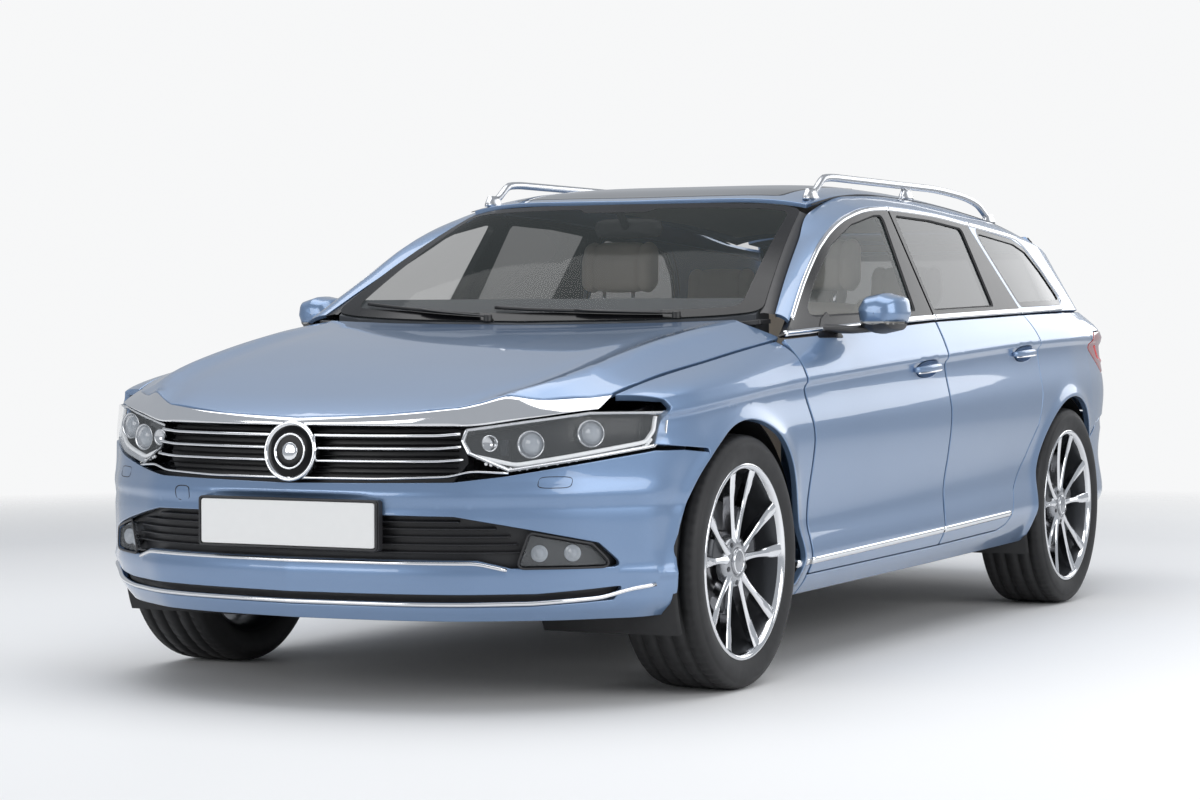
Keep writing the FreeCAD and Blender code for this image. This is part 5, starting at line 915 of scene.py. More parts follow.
def both_halves(points):
    """A closed outline from its left half, listed from the middle to the middle."""
    return list(points) + [(-u, v) for u, v in reversed(points) if abs(u) > 1e-6]


def both_ways(plan):
    """A closed outline from its left half, with the places given along the car first."""
    return [(x, y) for y, x in both_halves([(y, x) for x, y in plan])]


CROWN_RUN = .11


def fender(x, v):
    """The wing: the side's lines, then a crown over to the bonnet's edge."""
    zs, ys = levels(x)
    z7, y7, hs, ws = zs[7], ys[7], shut_h(x), shut_w(x)
    low_z = np.minimum(v, z7)
    low_y = pchip(zs, ys, low_z)
    t = np.clip((v - z7) / CROWN_RUN, 0, 1)
    z1 = z7 + .62 * (hs - z7)
    y1 = y7 - .3 * (z1 - z7)
    high_y = (1 - t) ** 2 * y7 + 2 * t * (1 - t) * y1 + t * t * ws
    high_z = (1 - t) ** 2 * z7 + 2 * t * (1 - t) * z1 + t * t * hs
    up = v > z7
    return cols(x, np.where(up, high_y, low_y), np.where(up, high_z, low_z))


def flared(f, arch_x):
    """The surface with a slight lip round a wheel arch."""
    def shaped(u, v):
        p = f(u, v)
        far = np.hypot(p[:, 0] - arch_x, p[:, 2] - AZ)
        lip = .01 * np.exp(-((far - ARCH) / .03) ** 2) * (p[:, 2] > .25)
        p[:, 1] += np.sign(p[:, 1]) * lip
        return p
    return shaped


def arch_rows(cx, start, end, to_u=lambda x: x):
    rows = []
    for extra in (.016, .032, .052):
        pts = arc(cx, AZ, ARCH + extra, start, end, 60)
        rows.append(np.array([(to_u(x), z) for x, z in pts]))
    return rows


wing_top = [(x, float(levels(vec(x))[0][7][0]) + CROWN_RUN) for x in np.linspace(1.0935, 1.985, 24)]
wing_loop = wing_top + [(1.892, .772), (1.948, .676), (1.753, .66)] + arc(FX, AZ, ARCH, 48, 199, 46)
wing_loop += [(1.132, .215), (1.0385, .215), (1.045, .34), (1.045, .66), (1.0858, .84), (1.0925, .935)]
wing_loop = inset(rounded(wing_loop, .004), GAP * .5)
wing_rows = [r[(r[:, 0] > 1.06)] for r in crease_rows(1.06, 1.95)] + arch_rows(FX, 50, 197)
skin("front_wing_left_skin", flared(fender, FX), wing_loop, PAINT, rows=wing_rows, step=.019, flange=.014)

door_tail = [(-.905, 1.03), (-.93, .985), (-.962, .915), (-.962, .749), (-.94, .64), (-.84, .535), (-.7, .43),
    (-.66, .347), (-.62, .315), (-.55, .3), (-.0065, .289), (1.0345, .275)]
quarter = [(rear_s(1.0345), .2135), (rear_s(-.925), .238)]
quarter += [(rear_s(x), z) for x, z in arc(RX, AZ, ARCH, -16, 146, 46)]
quarter += [(rear_s(-1.75), .628), (TAIL_S - .36, .655)] + from_rear([(.506, .657), (.552, .8), (.572, .93),
    (.616, .99)])
quarter += from_rear([(.622, 1.034)]) + [(rear_s(x), belt_line(x)) for x in (-1.58, -1.45, -1.3, -1.15, -1.0)]
quarter += [(rear_s(x), min(z, belt_line(x))) for x, z in door_tail]
lamp_hole = inset(rounded(from_rear(TAIL_LAMP), .012), -.0015)
quarter_rows = [cols(rear_s(r[:, 0]), r[:, 1]) for r in crease_rows(-1.6, -.95)]
quarter_rows += arch_rows(RX, -14, 144, rear_s)
zs_tail = levels(np.full(40, TAIL_X))[0]
quarter_rows += [cols(np.linspace(TAIL_S - .9, TAIL_S, 40), zs_tail[k]) for k in (5, 6, 7)]
quarter_loop = inset(rounded(quarter, .004), GAP)
skin("body_side_left_skin", flared(rear, RX), quarter_loop, PAINT, holes=[lamp_hole], rows=quarter_rows,
    step=.02, flange=.016)

pillar = [(-.905, belt_line(-.905) + .004), (-.76, 1.331)] + [(x, float(top_h(x)) - .0005)
    for x in np.linspace(-.86, -1.9, 22)]
pillar += [(-1.985, 1.235), (-2.06, 1.15), (-2.12, 1.06)] + [(x, belt_line(x) + .004)
    for x in (-2.13, -1.9, -1.6, -1.3, -1.05)]
quarter_hole = inset(rounded(QUARTER_WINDOW, .028), -.012)
skin("body_side_left_upper", wall, inset(rounded(pillar, .003), .0005), PAINT, holes=[quarter_hole],
    hint=WALL_HINT, flange=.012)
pane = rounded(QUARTER_WINDOW, .026)
skin("quarter_glass_left_pane", wall, inset(pane, -.004), TINTED, hint=WALL_HINT, lift=-.005, edge=.0006,
    flange=.004, step=.05)
skin("quarter_glass_left_border", wall, inset(pane, -.0125), GLOSS, holes=[inset(pane, .006)], hint=WALL_HINT,
    lift=-.001, edge=.001, flange=.006)

RAIL_RUN = .1
rail_at = lambda x, v: rail(x, v / RAIL_RUN)
rail_loop = rounded([(1.005, .001), (1.005, RAIL_RUN - .001), (-1.965, RAIL_RUN - .001), (-1.965, .001)], 0.0,
    step=.012)
skin("body_side_left_rail", rail_at, rail_loop, PAINT, hint=(0, .5, 1), edge=.0015, flange=.01, step=.022)


def bright_line(name, f, points, width, body, mat=CHROME, lift=.004, hint=WALL_HINT, step=.012,
        slot="rail_metal", mirror=True):
    line = softened(between(points, step), 3)
    return strip(name, f, line, width, mat, body, slot, mirror, hint, lift)


belt_pts = lambda xs: [(x, belt_line(x) + .012) for x in xs]
top_pts = lambda xs: [(x, float(top_h(x)) - .008) for x in xs]
bright_line("front_door_left_belt_line", wall, belt_pts(np.linspace(1.06, -.03, 20)), .017, FRONT_LEAF)
bright_line("front_door_left_top_line", wall, top_pts([.98, .9, .8, .7, .6, .5, .42, .34, .26, .18, .1, .03,
    -.032]), .014, FRONT_LEAF)
bright_line("rear_door_left_belt_line", wall, belt_pts(np.linspace(-.04, -.9, 20)), .017, REAR_LEAF)
bright_line("rear_door_left_top_line", wall, top_pts(np.linspace(-.04, -.765, 18)), .014, REAR_LEAF)
tail_turn = [(-.908, belt_line(-.908) + .012), (-1.2, belt_line(-1.2) + .013), (-1.5, belt_line(-1.5) + .015),
    (-1.575, 1.062), (-1.585, 1.078), (-1.555, 1.108), (-1.475, 1.185), (-1.372, 1.262), (-1.3, 1.288),
    (-1.21, 1.296), (-1.0, 1.309), (-.772, 1.323)]
bright_line("quarter_left_line", wall, tail_turn, .017, "shell")
sill_pts = lambda xs: [(x, .343 + (.311 - .357) * (x + .8) / 1.975 + .014) for x in xs]
bright_line("front_door_left_sill_line", side, sill_pts(np.linspace(1.033, -.003, 24)), .02, FRONT_LEAF,
    hint=(0, 1, 0))
bright_line("rear_door_left_sill_line", side, sill_pts(np.linspace(-.012, -.645, 18)), .02, REAR_LEAF,
    hint=(0, 1, 0))
bright_line("front_wing_left_sill_line", side, sill_pts(np.linspace(1.14, 1.05, 5)), .02, "shell",
    hint=(0, 1, 0))

bonnet_loop = inset(rounded(both_ways(BONNET_PLAN), .016), .0015)
xs = np.arange(1.13, 2.26, .02)
bonnet_rows = [cols(xs, k * shut_w(xs)) for k in (-.84, .84, -.8, .8, -.88, .88)]


def lid(x, y):
    p = bonnet(x, y)
    share = np.abs(y) / shut_w(x)
    run = smooth_step((x - 1.1) / .3) * smooth_step((2.36 - x) / .2)
    p[:, 2] += run * (.0042 * np.exp(-((share - .84) / .05) ** 2) - .003
        * np.exp(-((share - .74) / .06) ** 2))
    return p


skin("bonnet_skin", lid, bonnet_loop, PAINT, "bonnet_lid", mirror=False, rows=bonnet_rows, hint=UP, step=.024,
    flange=.012)
under = lambda x, y: lid(x, y) - vec(0, 0, .03)
skin("bonnet_inner", under, inset(bonnet_loop, .035), INNER, "bonnet_lid", mirror=False, hint=(0, 0, -1),
    step=.05, flange=.02)

roof_loop = inset(rounded(both_ways(ROOF_PLAN), .004), .001)
roof_hole = rounded(both_ways(ROOF_GLASS), .03)
skin("roof_panel_skin", roof, roof_loop, PAINT, mirror=False, holes=[inset(roof_hole, -.002)], hint=UP,
    step=.028)
skin("roof_glass_skin", roof, inset(roof_hole, .002), ROOF_TINT, mirror=False, hint=UP, step=.035, lift=.001)
cross_line = np.array([(-.34, y) for y in np.linspace(-.455, .455, 40)])
strip("roof_glass_split", roof, cross_line, .012, SEALS, mirror=False, hint=UP, lift=.0022)
strip("roof_left_ditch", roof, np.array([(x, .598) for x in np.linspace(.34, -1.69, 90)]), .008, SEALS,
    hint=UP, lift=.0014)

SCREEN_W, SCREEN_R = .7, .78
pane_at = lambda u, v: screen(u / SCREEN_W, v / SCREEN_R)
screen_loop = rounded([(.685, .01), (.69, .765), (-.69, .765), (-.685, .01)], .045, step=.02)
skin("windscreen_pane", pane_at, screen_loop, SHIELD, mirror=False, hint=(1, 0, 1), lift=0.0, edge=.002,
    flange=.004, step=.045)
window_line = rounded([(.625, .055), (.655, .725), (.16, .728), (.13, .7), (-.13, .7), (-.16, .728),
    (-.655, .725), (-.625, .055)], .04, step=.02)
skin("windscreen_border", pane_at, screen_loop, GLOSS, mirror=False, holes=[window_line], hint=(1, 0, 1),
    lift=.0006, edge=.001, flange=0.0, step=.04)
edge_rise = np.linspace(0.0, 1.0, 400)
glass_edge = pane_at(np.full(400, .688), edge_rise * SCREEN_R)
pillar_edge = rail(np.linspace(.34, 1.03, 60), np.ones(60))
near = [glass_edge[np.argmin(np.linalg.norm(glass_edge - p, axis=1))] for p in pillar_edge]
into = vec(-SWELL_X, 0, -SWELL_Z)
lofted("windscreen_left_seal", [np.array(near) + into * .003 - vec(0, .012, 0), np.array(near) + into * .001,
    pillar_edge + into * .004, pillar_edge + into * .016], BLACK, closed=False)
cowl_at = lambda y, t: cols(foot_x(np.abs(y)) + .055 * t * 10 * .8, y, foot_z(np.abs(y)) - .02 - .01 * t)
cowl_loop = rounded([(.74, -.02), (.74, .14), (-.74, .14), (-.74, -.02)], .01, step=.03)
skin("scuttle_panel", cowl_at, cowl_loop, BLACK, mirror=False, hint=UP, step=.03)


# Front: bumper, grille, lamps
def nose_s_at(x, z):
    """Distance from the middle of a place given along the car and in height."""
    if x <= NOSE_X:
        return front_s(x)
    dense = np.linspace(0, NOSE_S, 1500)
    share = (x - NOSE_X) / (float(nose_mid(z)) - NOSE_X)
    return float(np.interp(-share, -nose_depth(dense), dense))


bumper_half = from_front([(0, .2295), (.25, .2295), (.5, .2295), (.7, .2295), (.8, .2295)])
bumper_half += [(nose_s_at(x, z), z) for x, z in arc(FX, AZ, ARCH, -17.4, 49, 34)]
bumper_half += [(nose_s_at(1.753, .6525), .6525), (nose_s_at(1.85, .661), .661)]
bumper_half += from_front([(.843, .662), (.7, .63), (.561, .603), (.44, .588), (0, .582)])
bumper_loop = inset(rounded(both_halves(bumper_half), .006), .001)
intake_half = from_front([(0, .388), (.5, .388), (.57, .368), (.79, .368), (.745, .43), (.6, .468), (.45, .5),
    (0, .505)])
slot_half = from_front([(0, .268), (.6, .27), (.765, .283), (.785, .318), (.62, .302), (0, .3)])
intake_loop = rounded(both_halves(intake_half), .014)
slot_loop = rounded(both_halves(slot_half), .008)
across = np.linspace(-NOSE_S - .05, NOSE_S + .05, 150)
bumper_rows = [cols(across, np.full(150, z)) for z in (.515, .535, .55, .565, .345)]
for sign in (1, -1):
    for row in arch_rows(FX, -12, 46):
        bumper_rows.append(np.array([(sign * nose_s_at(x, z), z) for x, z in row]))


def bumper_shape(s, z):
    p = flared(front, FX)(s, z)
    blade = np.exp(-((z - .345) / .012) ** 2) * .006 - np.exp(-((z - .52) / .016) ** 2) * .004
    out = p - vec(FRONT_CENTRE, 0, 0)
    out[:, 2] = 0
    out /= np.maximum(np.linalg.norm(out, axis=1), 1e-6)[:, None]
    p = p + out * blade[:, None]
    level = smooth_step((z - .395) / .012) * smooth_step((.56 - z) / .012)
    seat = smooth_step((.29 - np.abs(p[:, 1])) / .02) * level
    p[:, 0] -= seat * np.maximum(p[:, 0] - 2.358, 0)
    return p


def wrap(name, f, loop, mat, body="shell", slot=None, centre_x=FRONT_CENTRE, **more):
    """A sheet on a wrap-round surface, facing away from a place inside the car."""
    return skin(name, f, loop, mat, body, slot, mirror=False, inner=(centre_x, 0.0), **more)


wrap("front_bumper_skin", bumper_shape, bumper_loop, PAINT, holes=[intake_loop, slot_loop], rows=bumper_rows,
    step=.021, flange=.014)
wrap("lower_grille_back", front, inset(intake_loop, -.006), BLACK, slot="grille_black", lift=-.034,
    flange=.004, step=.05)
wrap("low_slot_back", front, inset(slot_loop, -.004), BLACK, slot="grille_black", lift=-.022, flange=.004,
    step=.05)


def nose_line(name, points, width, mat, slot, lift, base=0.0):
    """A moulding along a line of places seen from the front, from the right side to the left."""
    half = from_front(points)
    full = [(-s, z) for s, z in reversed(half)] + [(s, z) for s, z in half if s > 1e-6]
    line = softened(between(full, .014), 2)
    at = lambda s, z: front(s, z) + forward_of(s, z) * base
    return strip(name, at, line, width, mat, "shell", slot, False, (1, 0, 0), lift)


def forward_of(s, z):
    p = front(s, z) - vec(FRONT_CENTRE, 0, 0)
    p[:, 2] = 0
    return p / np.maximum(np.linalg.norm(p, axis=1), 1e-6)[:, None]


def sunk(loop, depth):
    """Nose places moved into the car."""
    return front(loop[:, 0], loop[:, 1]) - forward_of(loop[:, 0], loop[:, 1]) * depth


for k, z in enumerate((.408, .428, .448, .468, .486)):
    reach = (.6, .585, .57, .54, .46)[k]
    nose_line(f"lower_grille_slat_{k}", [(0, z), (reach * .5, z), (reach, z)], .006, BLACK, "grille_black",
        .01, -.024)
nose_line("lower_grille_bright_line", [(0, .3815), (.3, .3815), (.497, .3815), (.56, .3635)], .011, CHROME,
    "rail_metal", .006, 0.0)
nose_line("low_slot_bright_line", [(0, .2765), (.35, .2768), (.61, .279), (.745, .29), (.8, .31),
    (.842, .318)], .012, CHROME, "rail_metal", .006, .001)

grille_half = from_front([(0, .59), (.42, .596), (.462, .64), (.448, .69), (.452, .722), (0, .727)])
grille_loop = rounded(both_halves(grille_half), .004)
wrap("upper_grille_back", front, inset(grille_loop, -.012), BLACK, slot="grille_black", lift=-.04,
    flange=.004, step=.05)
for k, z in enumerate((.604, .618, .632, .647, .661, .676, .69, .705)):
    nose_line(f"upper_grille_slat_{k}", [(0, z), (.22, z + .001), (.445, z + .003)], .005, GLOSS,
        "grille_black", .014, -.03)
for k, (z, end) in enumerate(((.7, .452), (.668, .456), (.636, .462))):
    nose_line(f"upper_grille_bar_{k}", [(0, z), (.2, z + .0005), (.4, z + .002), (end, z + .007)], .0085,
        CHROME, "rail_metal", .008, 0.0)
nose_line("upper_grille_foot", [(0, .5925), (.25, .593), (.43, .6), (.48, .614), (.561, .6085)], .006, CHROME,
    "rail_metal", .004, .002)

plan_y = [(y, x) for x, y in BONNET_PLAN if x > 1.95]
edge_x = curve(plan_y, 1)
strip_low = curve([(0, .722), (.3, .722), (.452, .7225), (.6, .7435), (.72, .763), (.76, .768)], 1)


def brow(name, y0, y1, mat, slot, low_gap):
    """The bright strip between the lamps or grille and the bonnet's edge."""
    ys = np.linspace(y0, y1, 60)
    zl = strip_low(ys) + low_gap
    low = np.array([front(np.array([from_front([(y, z)])[0][0]]), vec(z))[0] for y, z in zip(ys, zl)])
    xs = edge_x(ys) - .004
    high = lid(xs, ys) - vec(0, 0, .0035)
    high[:, 0] += .0015
    out = (low - vec(1.2, 0, 0)) * vec(1, 1, 0)
    out /= np.linalg.norm(out, axis=1)[:, None]
    rows = []
    for t, push in ((0.0, -.02), (0.0, .001), (.1, .0035), (.5, .0045), (.9, .0025), (1.0, 0.0),
        (1.0, -.014)):
        rows.append(low * (1 - t) + high * t + out * push)
    return lofted(name, rows, mat, "shell", slot, closed=False)


brow("front_left_brow", 0.0, .735, CHROME, "rail_metal", .004)


# Badge and plate (the bumper's covers are drawn with the fog lamps)
def at_x(x):
    """The upright plane across the car at one place along it."""
    return lambda y, z: cols(np.full(np.shape(y), x), y, z)


def disc(name, centre, rings, mat, body="shell", slot=None, sides=72, facing=(1, 0, 0)):
    """A turned disc: rings of (outwards, radius) round an axis that faces outwards."""
    way = Vector(facing).normalized()
    turn = way.to_track_quat("Z", "Y").to_matrix()
    loops = [np.array([Vector(centre) + turn @ Vector((radius * cos(a), radius * sin(a), out))
        for a in (2 * pi * k / sides for k in range(sides))]) for out, radius in rings]
    return lofted(name, loops, mat, body, slot, mirror=False, caps=(True, True))[0]


BADGE_AT = (2.34, 0, .658)
tilted = (1, 0, .1)
disc("badge_plate", BADGE_AT, [(0, .07), (.016, .07), (.02, .066), (.021, .03), (.0215, .001)], GLOSS,
    facing=tilted)
disc("badge_ring", BADGE_AT, [(0, .078), (.018, .0785), (.0235, .0765), (.0255, .073), (.0235, .0695),
    (.0195, .068)], CHROME, facing=tilted)
disc("badge_inner_ring", BADGE_AT, [(.019, .047), (.0235, .0465), (.025, .044), (.0235, .0415), (.019, .041)],
    CHROME, facing=tilted)
disc("badge_dome", BADGE_AT, [(.02, .024), (.0235, .0225), (.0255, .017), (.0265, .008), (.0268, .001)],
    CHROME, sides=48, facing=tilted)


def flat_sheet(name, half_y, low, high, x, radius, mat, body="shell", slot=None, thick=.006, edge=.0015,
        way=1):
    """An upright plate across the car, facing forward or back."""
    loop = rounded([(half_y, low), (half_y, high), (-half_y, high), (-half_y, low)], radius, step=.02)
    skin(name, at_x(x), loop, mat, body, slot, mirror=False, hint=(way, 0, 0), edge=edge, flange=thick,
        step=.06)


PLATE_X = 2.3785
PLATE_WHITE = plain("plate_white", (.8, .8, .79), .3, spread=.02, coat=.3)
flat_sheet("plate_holder", .272, .412, .541, 2.3745, .01, BLACK, thick=.018, edge=.002)
flat_sheet("number_plate_blank", .262, .419, .534, PLATE_X, .008, PLATE_WHITE, thick=.003, edge=.0012)
rim_line = rounded([(.267, .4145), (.267, .5385), (-.267, .5385), (-.267, .4145)], .01, step=.015)
strip("plate_holder_rim", at_x(PLATE_X), rim_line, .006, BLACK, mirror=False, hint=(1, 0, 0), lift=.002,
    closed=True)

# Headlamps
LENS = clear_glass("lamp_lens", (.55, .58, .6), .1)
REFLECTOR = plain("lamp_reflector", (.62, .63, .65), .16, metal=1.0, spread=.05)
PROJECTOR = plain("projector_lens", (.35, .38, .42), .03, spread=.05, coat=.8)
LED = plain("day_light", (.86, .87, .88), .25, spread=.03)
lamp_outline = [(.47, .655), (.452, .69), (.46, .7215), (.6, .7435), (.72, .763), (.868, .762), (.862, .7),
    (.843, .668), (.561, .61)]
lamp_loop = inset(rounded(from_front(lamp_outline), .01), .0015)


def lamp_sheet(name, loop, mat, slot=None, **more):
    skin(name, front, loop, mat, "shell", slot, inner=(FRONT_CENTRE, 0.0), **more)


lamp_sheet("headlamp_left_lens", lamp_loop, LENS, step=.02, edge=.003, flange=.008)
lamp_sheet("headlamp_left_bucket", inset(lamp_loop, -.001), GLOSS, lift=-.06, step=.03, flange=0.0)
walls = [sunk(lamp_loop, d) for d in (.006, .03, .062)]
lofted("headlamp_left_wall", walls, GLOSS)
bezel = [sunk(inset(lamp_loop, cut), d) for cut, d in ((0.0, .0065), (.006, .0085), (.009, .016))]
lofted("headlamp_left_bezel", bezel, REFLECTOR)


def lamp_at(y, z, back):
    """A place behind the nose, given as seen from the front."""
    return tuple(sunk(np.array([[from_front([(y, z)])[0][0], z]]), back)[0])


def both_sides(make, name, centre, *rest, **more):
    make(name, centre, *rest, **more)
    centre = (centre[0], -centre[1], centre[2])
    facing = more.pop("facing")
    make(other(name), centre, *rest, facing=(facing[0], -facing[1], facing[2]), **more)


for k, (y, z, size) in enumerate(((.612, .68, .036), (.735, .706, .036))):
    place, way = lamp_at(y, z, .05), (1.0, .22, 0.0)
    both_sides(disc, f"headlamp_left_unit_{k}", place, [(0, size * .8), (.012, size * .88),
        (.024, size * .95), (.03, size), (.032, size * .97), (.026, size * .86), (.018, size * .8)],
        REFLECTOR, facing=way)
    both_sides(disc, f"headlamp_left_glass_{k}", place, [(.008, size * .8), (.018, size * .77),
        (.025, size * .62), (.03, size * .36), (.0315, size * .02)], PROJECTOR, facing=way)
place = lamp_at(.52, .683, .045)
both_sides(disc, "headlamp_left_turn_light", place, [(0, .018), (.012, .021), (.02, .022), (.019, .018),
    (.01, .012)], REFLECTOR, facing=(1.0, .12, 0.0))
light_pts = from_front([(.49, .65), (.575, .628), (.7, .652), (.828, .682), (.843, .712), (.846, .748)])
light_line = softened(between(light_pts, count=16), 4)
deep = lambda s, z: front(s, z) - forward_of(s, z) * .016
strip("headlamp_left_day_light", deep, light_line, .011, LED, hint=(1, .4, 0), lift=.005)
for k in range(22):
    p = light_line[4 + int(k * 2.6)]
    place = tuple(sunk(np.array([[p[0], p[1] - .0125]]), .014)[0])
    both_sides(disc, f"headlamp_left_facet_{k}", place, [(0, .0046), (.004, .0046), (.006, .002)], LED,
        sides=8, facing=(1.0, .2, 0.0))

# Fog lamps
fog_outline = [(.585, .3715), (.766, .3715), (.732, .424), (.612, .454)]
fog_loop = inset(rounded(from_front(fog_outline), .01), .002)
lamp_sheet("fog_lamp_left_lens", fog_loop, LENS, lift=-.006, step=.02, edge=.002, flange=.006)
lamp_sheet("fog_lamp_left_bowl", fog_loop, REFLECTOR, lift=-.04, step=.03, flange=0.0)
walls = [sunk(fog_loop, d) for d in (.004, .02, .041)]
lofted("fog_lamp_left_wall", walls, REFLECTOR)
for k, y in enumerate((.632, .7)):
    place = lamp_at(y, .404, .036)
    both_sides(disc, f"fog_lamp_left_unit_{k}", place, [(0, .018), (.01, .022), (.016, .021), (.012, .014),
        (.016, .009), (.017, .001)], PROJECTOR, facing=(1.0, .25, 0.0))
frame_line = inset(rounded(from_front(fog_outline), .012), -.004)
strip("fog_lamp_left_frame", front, frame_line, .006, BLACK, hint=(1, .4, 0), lift=.002, closed=True)
cap = oblong(-.35, .544, .026, .019, .6, .6, 40)
cap_line = np.array([(from_front([(-y, z)])[0][0] * -1, z) for y, z in cap])
strip("tow_eye_cover_line", bumper_shape, cap_line, .0022, SEALS, mirror=False, hint=(1, 0, 0), lift=.0006,
    closed=True)
for sign in (1, -1):
    wash = oblong(sign * .66, .585, .034, .014, .5, .5, 40)
    wash_line = np.array([(sign * from_front([(abs(y), z)])[0][0], z) for y, z in wash])
    strip(f"washer_cover_line_{'left' if sign > 0 else 'right'}", bumper_shape, wash_line, .002, SEALS,
        mirror=False, hint=(1, .3 * sign, 0), lift=.0006, closed=True)


# Rear: gate, lamps, bumper
def tail_s_at(x, z):
    if x >= TAIL_X:
        return rear_s(x)
    dense = np.linspace(0, TAIL_S, 1500)
    share = (TAIL_X - x) / (TAIL_X - float(tail_mid(z)))
    return float(np.interp(-share, -tail_depth(dense), dense))


gate_loop = inset(rounded(both_halves(GATE_FACE), .012), GAP)
gate_hole = rounded(both_halves(GATE_WINDOW), .035)
gate_lamp = [(.375, .818), (.362, .9), (.372, .952), (.56, .958), (.5555, .93), (.533, .812)]
BACK = (-1, 0, .1)


def gate_shape(y, z):
    p = gate_plan(y, z)
    shelf = .01 * smooth_step((z - .965) / .02) * (1 - smooth_step((z - .985) / .02))
    scoop = .012 * smooth_step((z - .685) / .03) * (1 - smooth_step((z - .8) / .008)) * (1
        - smooth_step((np.abs(y) - .3) / .03))
    p[:, 0] += scoop - shelf * .4
    return p


gate_rows = [cols(np.linspace(-.54, .54, 90), np.full(90, z)) for z in (.69, .715, .8, .8045, .808, .975)]
skin("tailgate_skin", gate_shape, gate_loop, PAINT, "tailgate_lid", mirror=False,
    holes=[inset(gate_hole, -.003)], hint=BACK, rows=gate_rows, step=.021, flange=.014)
skin("tailgate_glass_pane", gate_plan, inset(gate_hole, 0.0), TINTED, "tailgate_lid", mirror=False, hint=BACK,
    lift=-.002, edge=.001, flange=.004, step=.04)
skin("tailgate_glass_border", gate_plan, inset(gate_hole, -.001), GLOSS, "tailgate_lid", mirror=False,
    holes=[inset(gate_hole, .03)], hint=BACK, lift=-.0012, edge=.001, flange=0.0)
inner_at = lambda y, z: gate_plan(y, z) + vec(.032, 0, 0)
skin("tailgate_inner", inner_at, inset(gate_loop, .02), TRIM, "tailgate_lid", mirror=False,
    holes=[inset(gate_hole, -.002)], hint=(1, 0, 0), edge=.003, flange=.02, step=.04)
ring = [f(r[:, 0], r[:, 1]) for f, r in ((gate_plan, inset(gate_loop, .006)),
    (inner_at, inset(gate_loop, .02)))]
lofted("tailgate_edge", [ring[0] + vec(.012, 0, 0), ring[1]], PAINT, "tailgate_lid", mirror=False)
strip("tailgate_bright_line", gate_shape, np.array([(y, .8035) for y in np.linspace(-.36, .36, 60)]), .012,
    CHROME, "tailgate_lid", mirror=False, hint=BACK, lift=.006)

top_loop = inset(rounded(both_ways(GATE_TOP), .012), GAP)


def spoiler_top(x, y):
    p = roof(x, y)
    p[:, 2] += .01 * smooth_step((-1.85 - x) / .2)
    return p


skin("spoiler_skin", spoiler_top, top_loop, PAINT, "tailgate_lid", mirror=False, hint=UP, step=.022,
    flange=.012)
ys = np.linspace(-.5, .5, 61)
back_x = curve([(0.0, -2.052), (.4, -2.042), (.5, -1.988), (.51, -1.95)], 1)(np.abs(ys))
lip = spoiler_top(back_x, ys)
under = gate_plan(ys * 1.04, np.full(61, 1.292))
rows = [lip + vec(.004, 0, -.004), lip + vec(-.001, 0, -.009), lip + vec(.002, 0, -.016),
    under + vec(-.004, 0, -.004), under + vec(.012, 0, -.014)]
lofted("spoiler_under", rows, PAINT, "tailgate_lid", mirror=False, closed=False)
RED = Kit("red_lamp", Roughness=.1, Coat_Weight=.8)
RED.set("Base Color", RED.mix(RED.noise(30.0), (.3, .006, .008), (.36, .01, .01)))
RED = RED.mat
LIGHT_RED = plain("light_red_bar", (.7, .05, .05), .2, spread=.05, coat=.5)
strip("high_stop_lamp", lambda y, z: gate_plan(y, z) - vec(.004, 0, 0),
    np.array([(y, 1.279) for y in np.linspace(-.15, .15, 30)]), .012, LIGHT_RED, "tailgate_lid", mirror=False,
    hint=BACK, lift=.004)

outer_lamp = inset(rounded(from_rear(TAIL_LAMP), .012), .0005)
skin("tail_lamp_left_lens", rear, outer_lamp, RED, inner=(REAR_CENTRE, 0.0), lift=.002, edge=.004,
    flange=.012, step=.018)
gate_lamp_loop = inset(rounded(gate_lamp, .012), 0.0)
skin("tailgate_lamp_left_lens", gate_plan, gate_lamp_loop, RED, "tailgate_lid", hint=BACK, lift=.005,
    edge=.004, flange=.01, step=.018)


def lamp_bar(name, f, points, body, hint):
    strip(name, f, between(points, count=10), .012, LIGHT_RED, body, hint=hint, lift=.0055)


lamp_bar("tail_lamp_left_bar", rear, from_rear([(.595, .835), (.7, .832), (.8, .84), (.842, .862),
    (.848, .905)]), "shell", (-1, .6, 0))
lamp_bar("tail_lamp_left_bar_high", rear, from_rear([(.603, .938), (.7, .936), (.8, .93)]), "shell",
    (-1, .6, 0))
gate_lifted = lambda y, z: gate_plan(y, z) - vec(.003, 0, 0)
lamp_bar("tailgate_lamp_left_bar", gate_lifted, [(.388, .84), (.46, .836), (.53, .838)], "tailgate_lid", BACK)
lamp_bar("tailgate_lamp_left_bar_high", gate_lifted, [(.385, .93), (.46, .933), (.548, .936)], "tailgate_lid",
    BACK)
CLEAR_BAR = plain("pale_reverse_lens", (.55, .55, .56), .15, spread=.04, coat=.5)
strip("tailgate_lamp_left_reverse", gate_lifted, np.array([(y, .885) for y in np.linspace(.392, .535, 20)]),
    .024, CLEAR_BAR, "tailgate_lid", hint=BACK, lift=.005)


flat_sheet("rear_plate_blank", .262, .69, .792, -2.3345, .008, PLATE_WHITE, "tailgate_lid", thick=.01,
    edge=.0012, way=-1)
GATE_BADGE_AT = (-2.322, 0, .888)
disc("tailgate_badge", GATE_BADGE_AT, [(0, .052), (.008, .052), (.011, .05), (.012, .044)], CHROME,
    "tailgate_lid", facing=(-1, 0, .1))
disc("tailgate_badge_face", GATE_BADGE_AT, [(.006, .046), (.0128, .045), (.014, .02), (.0142, .001)], GLOSS,
    "tailgate_lid", facing=(-1, 0, .1))

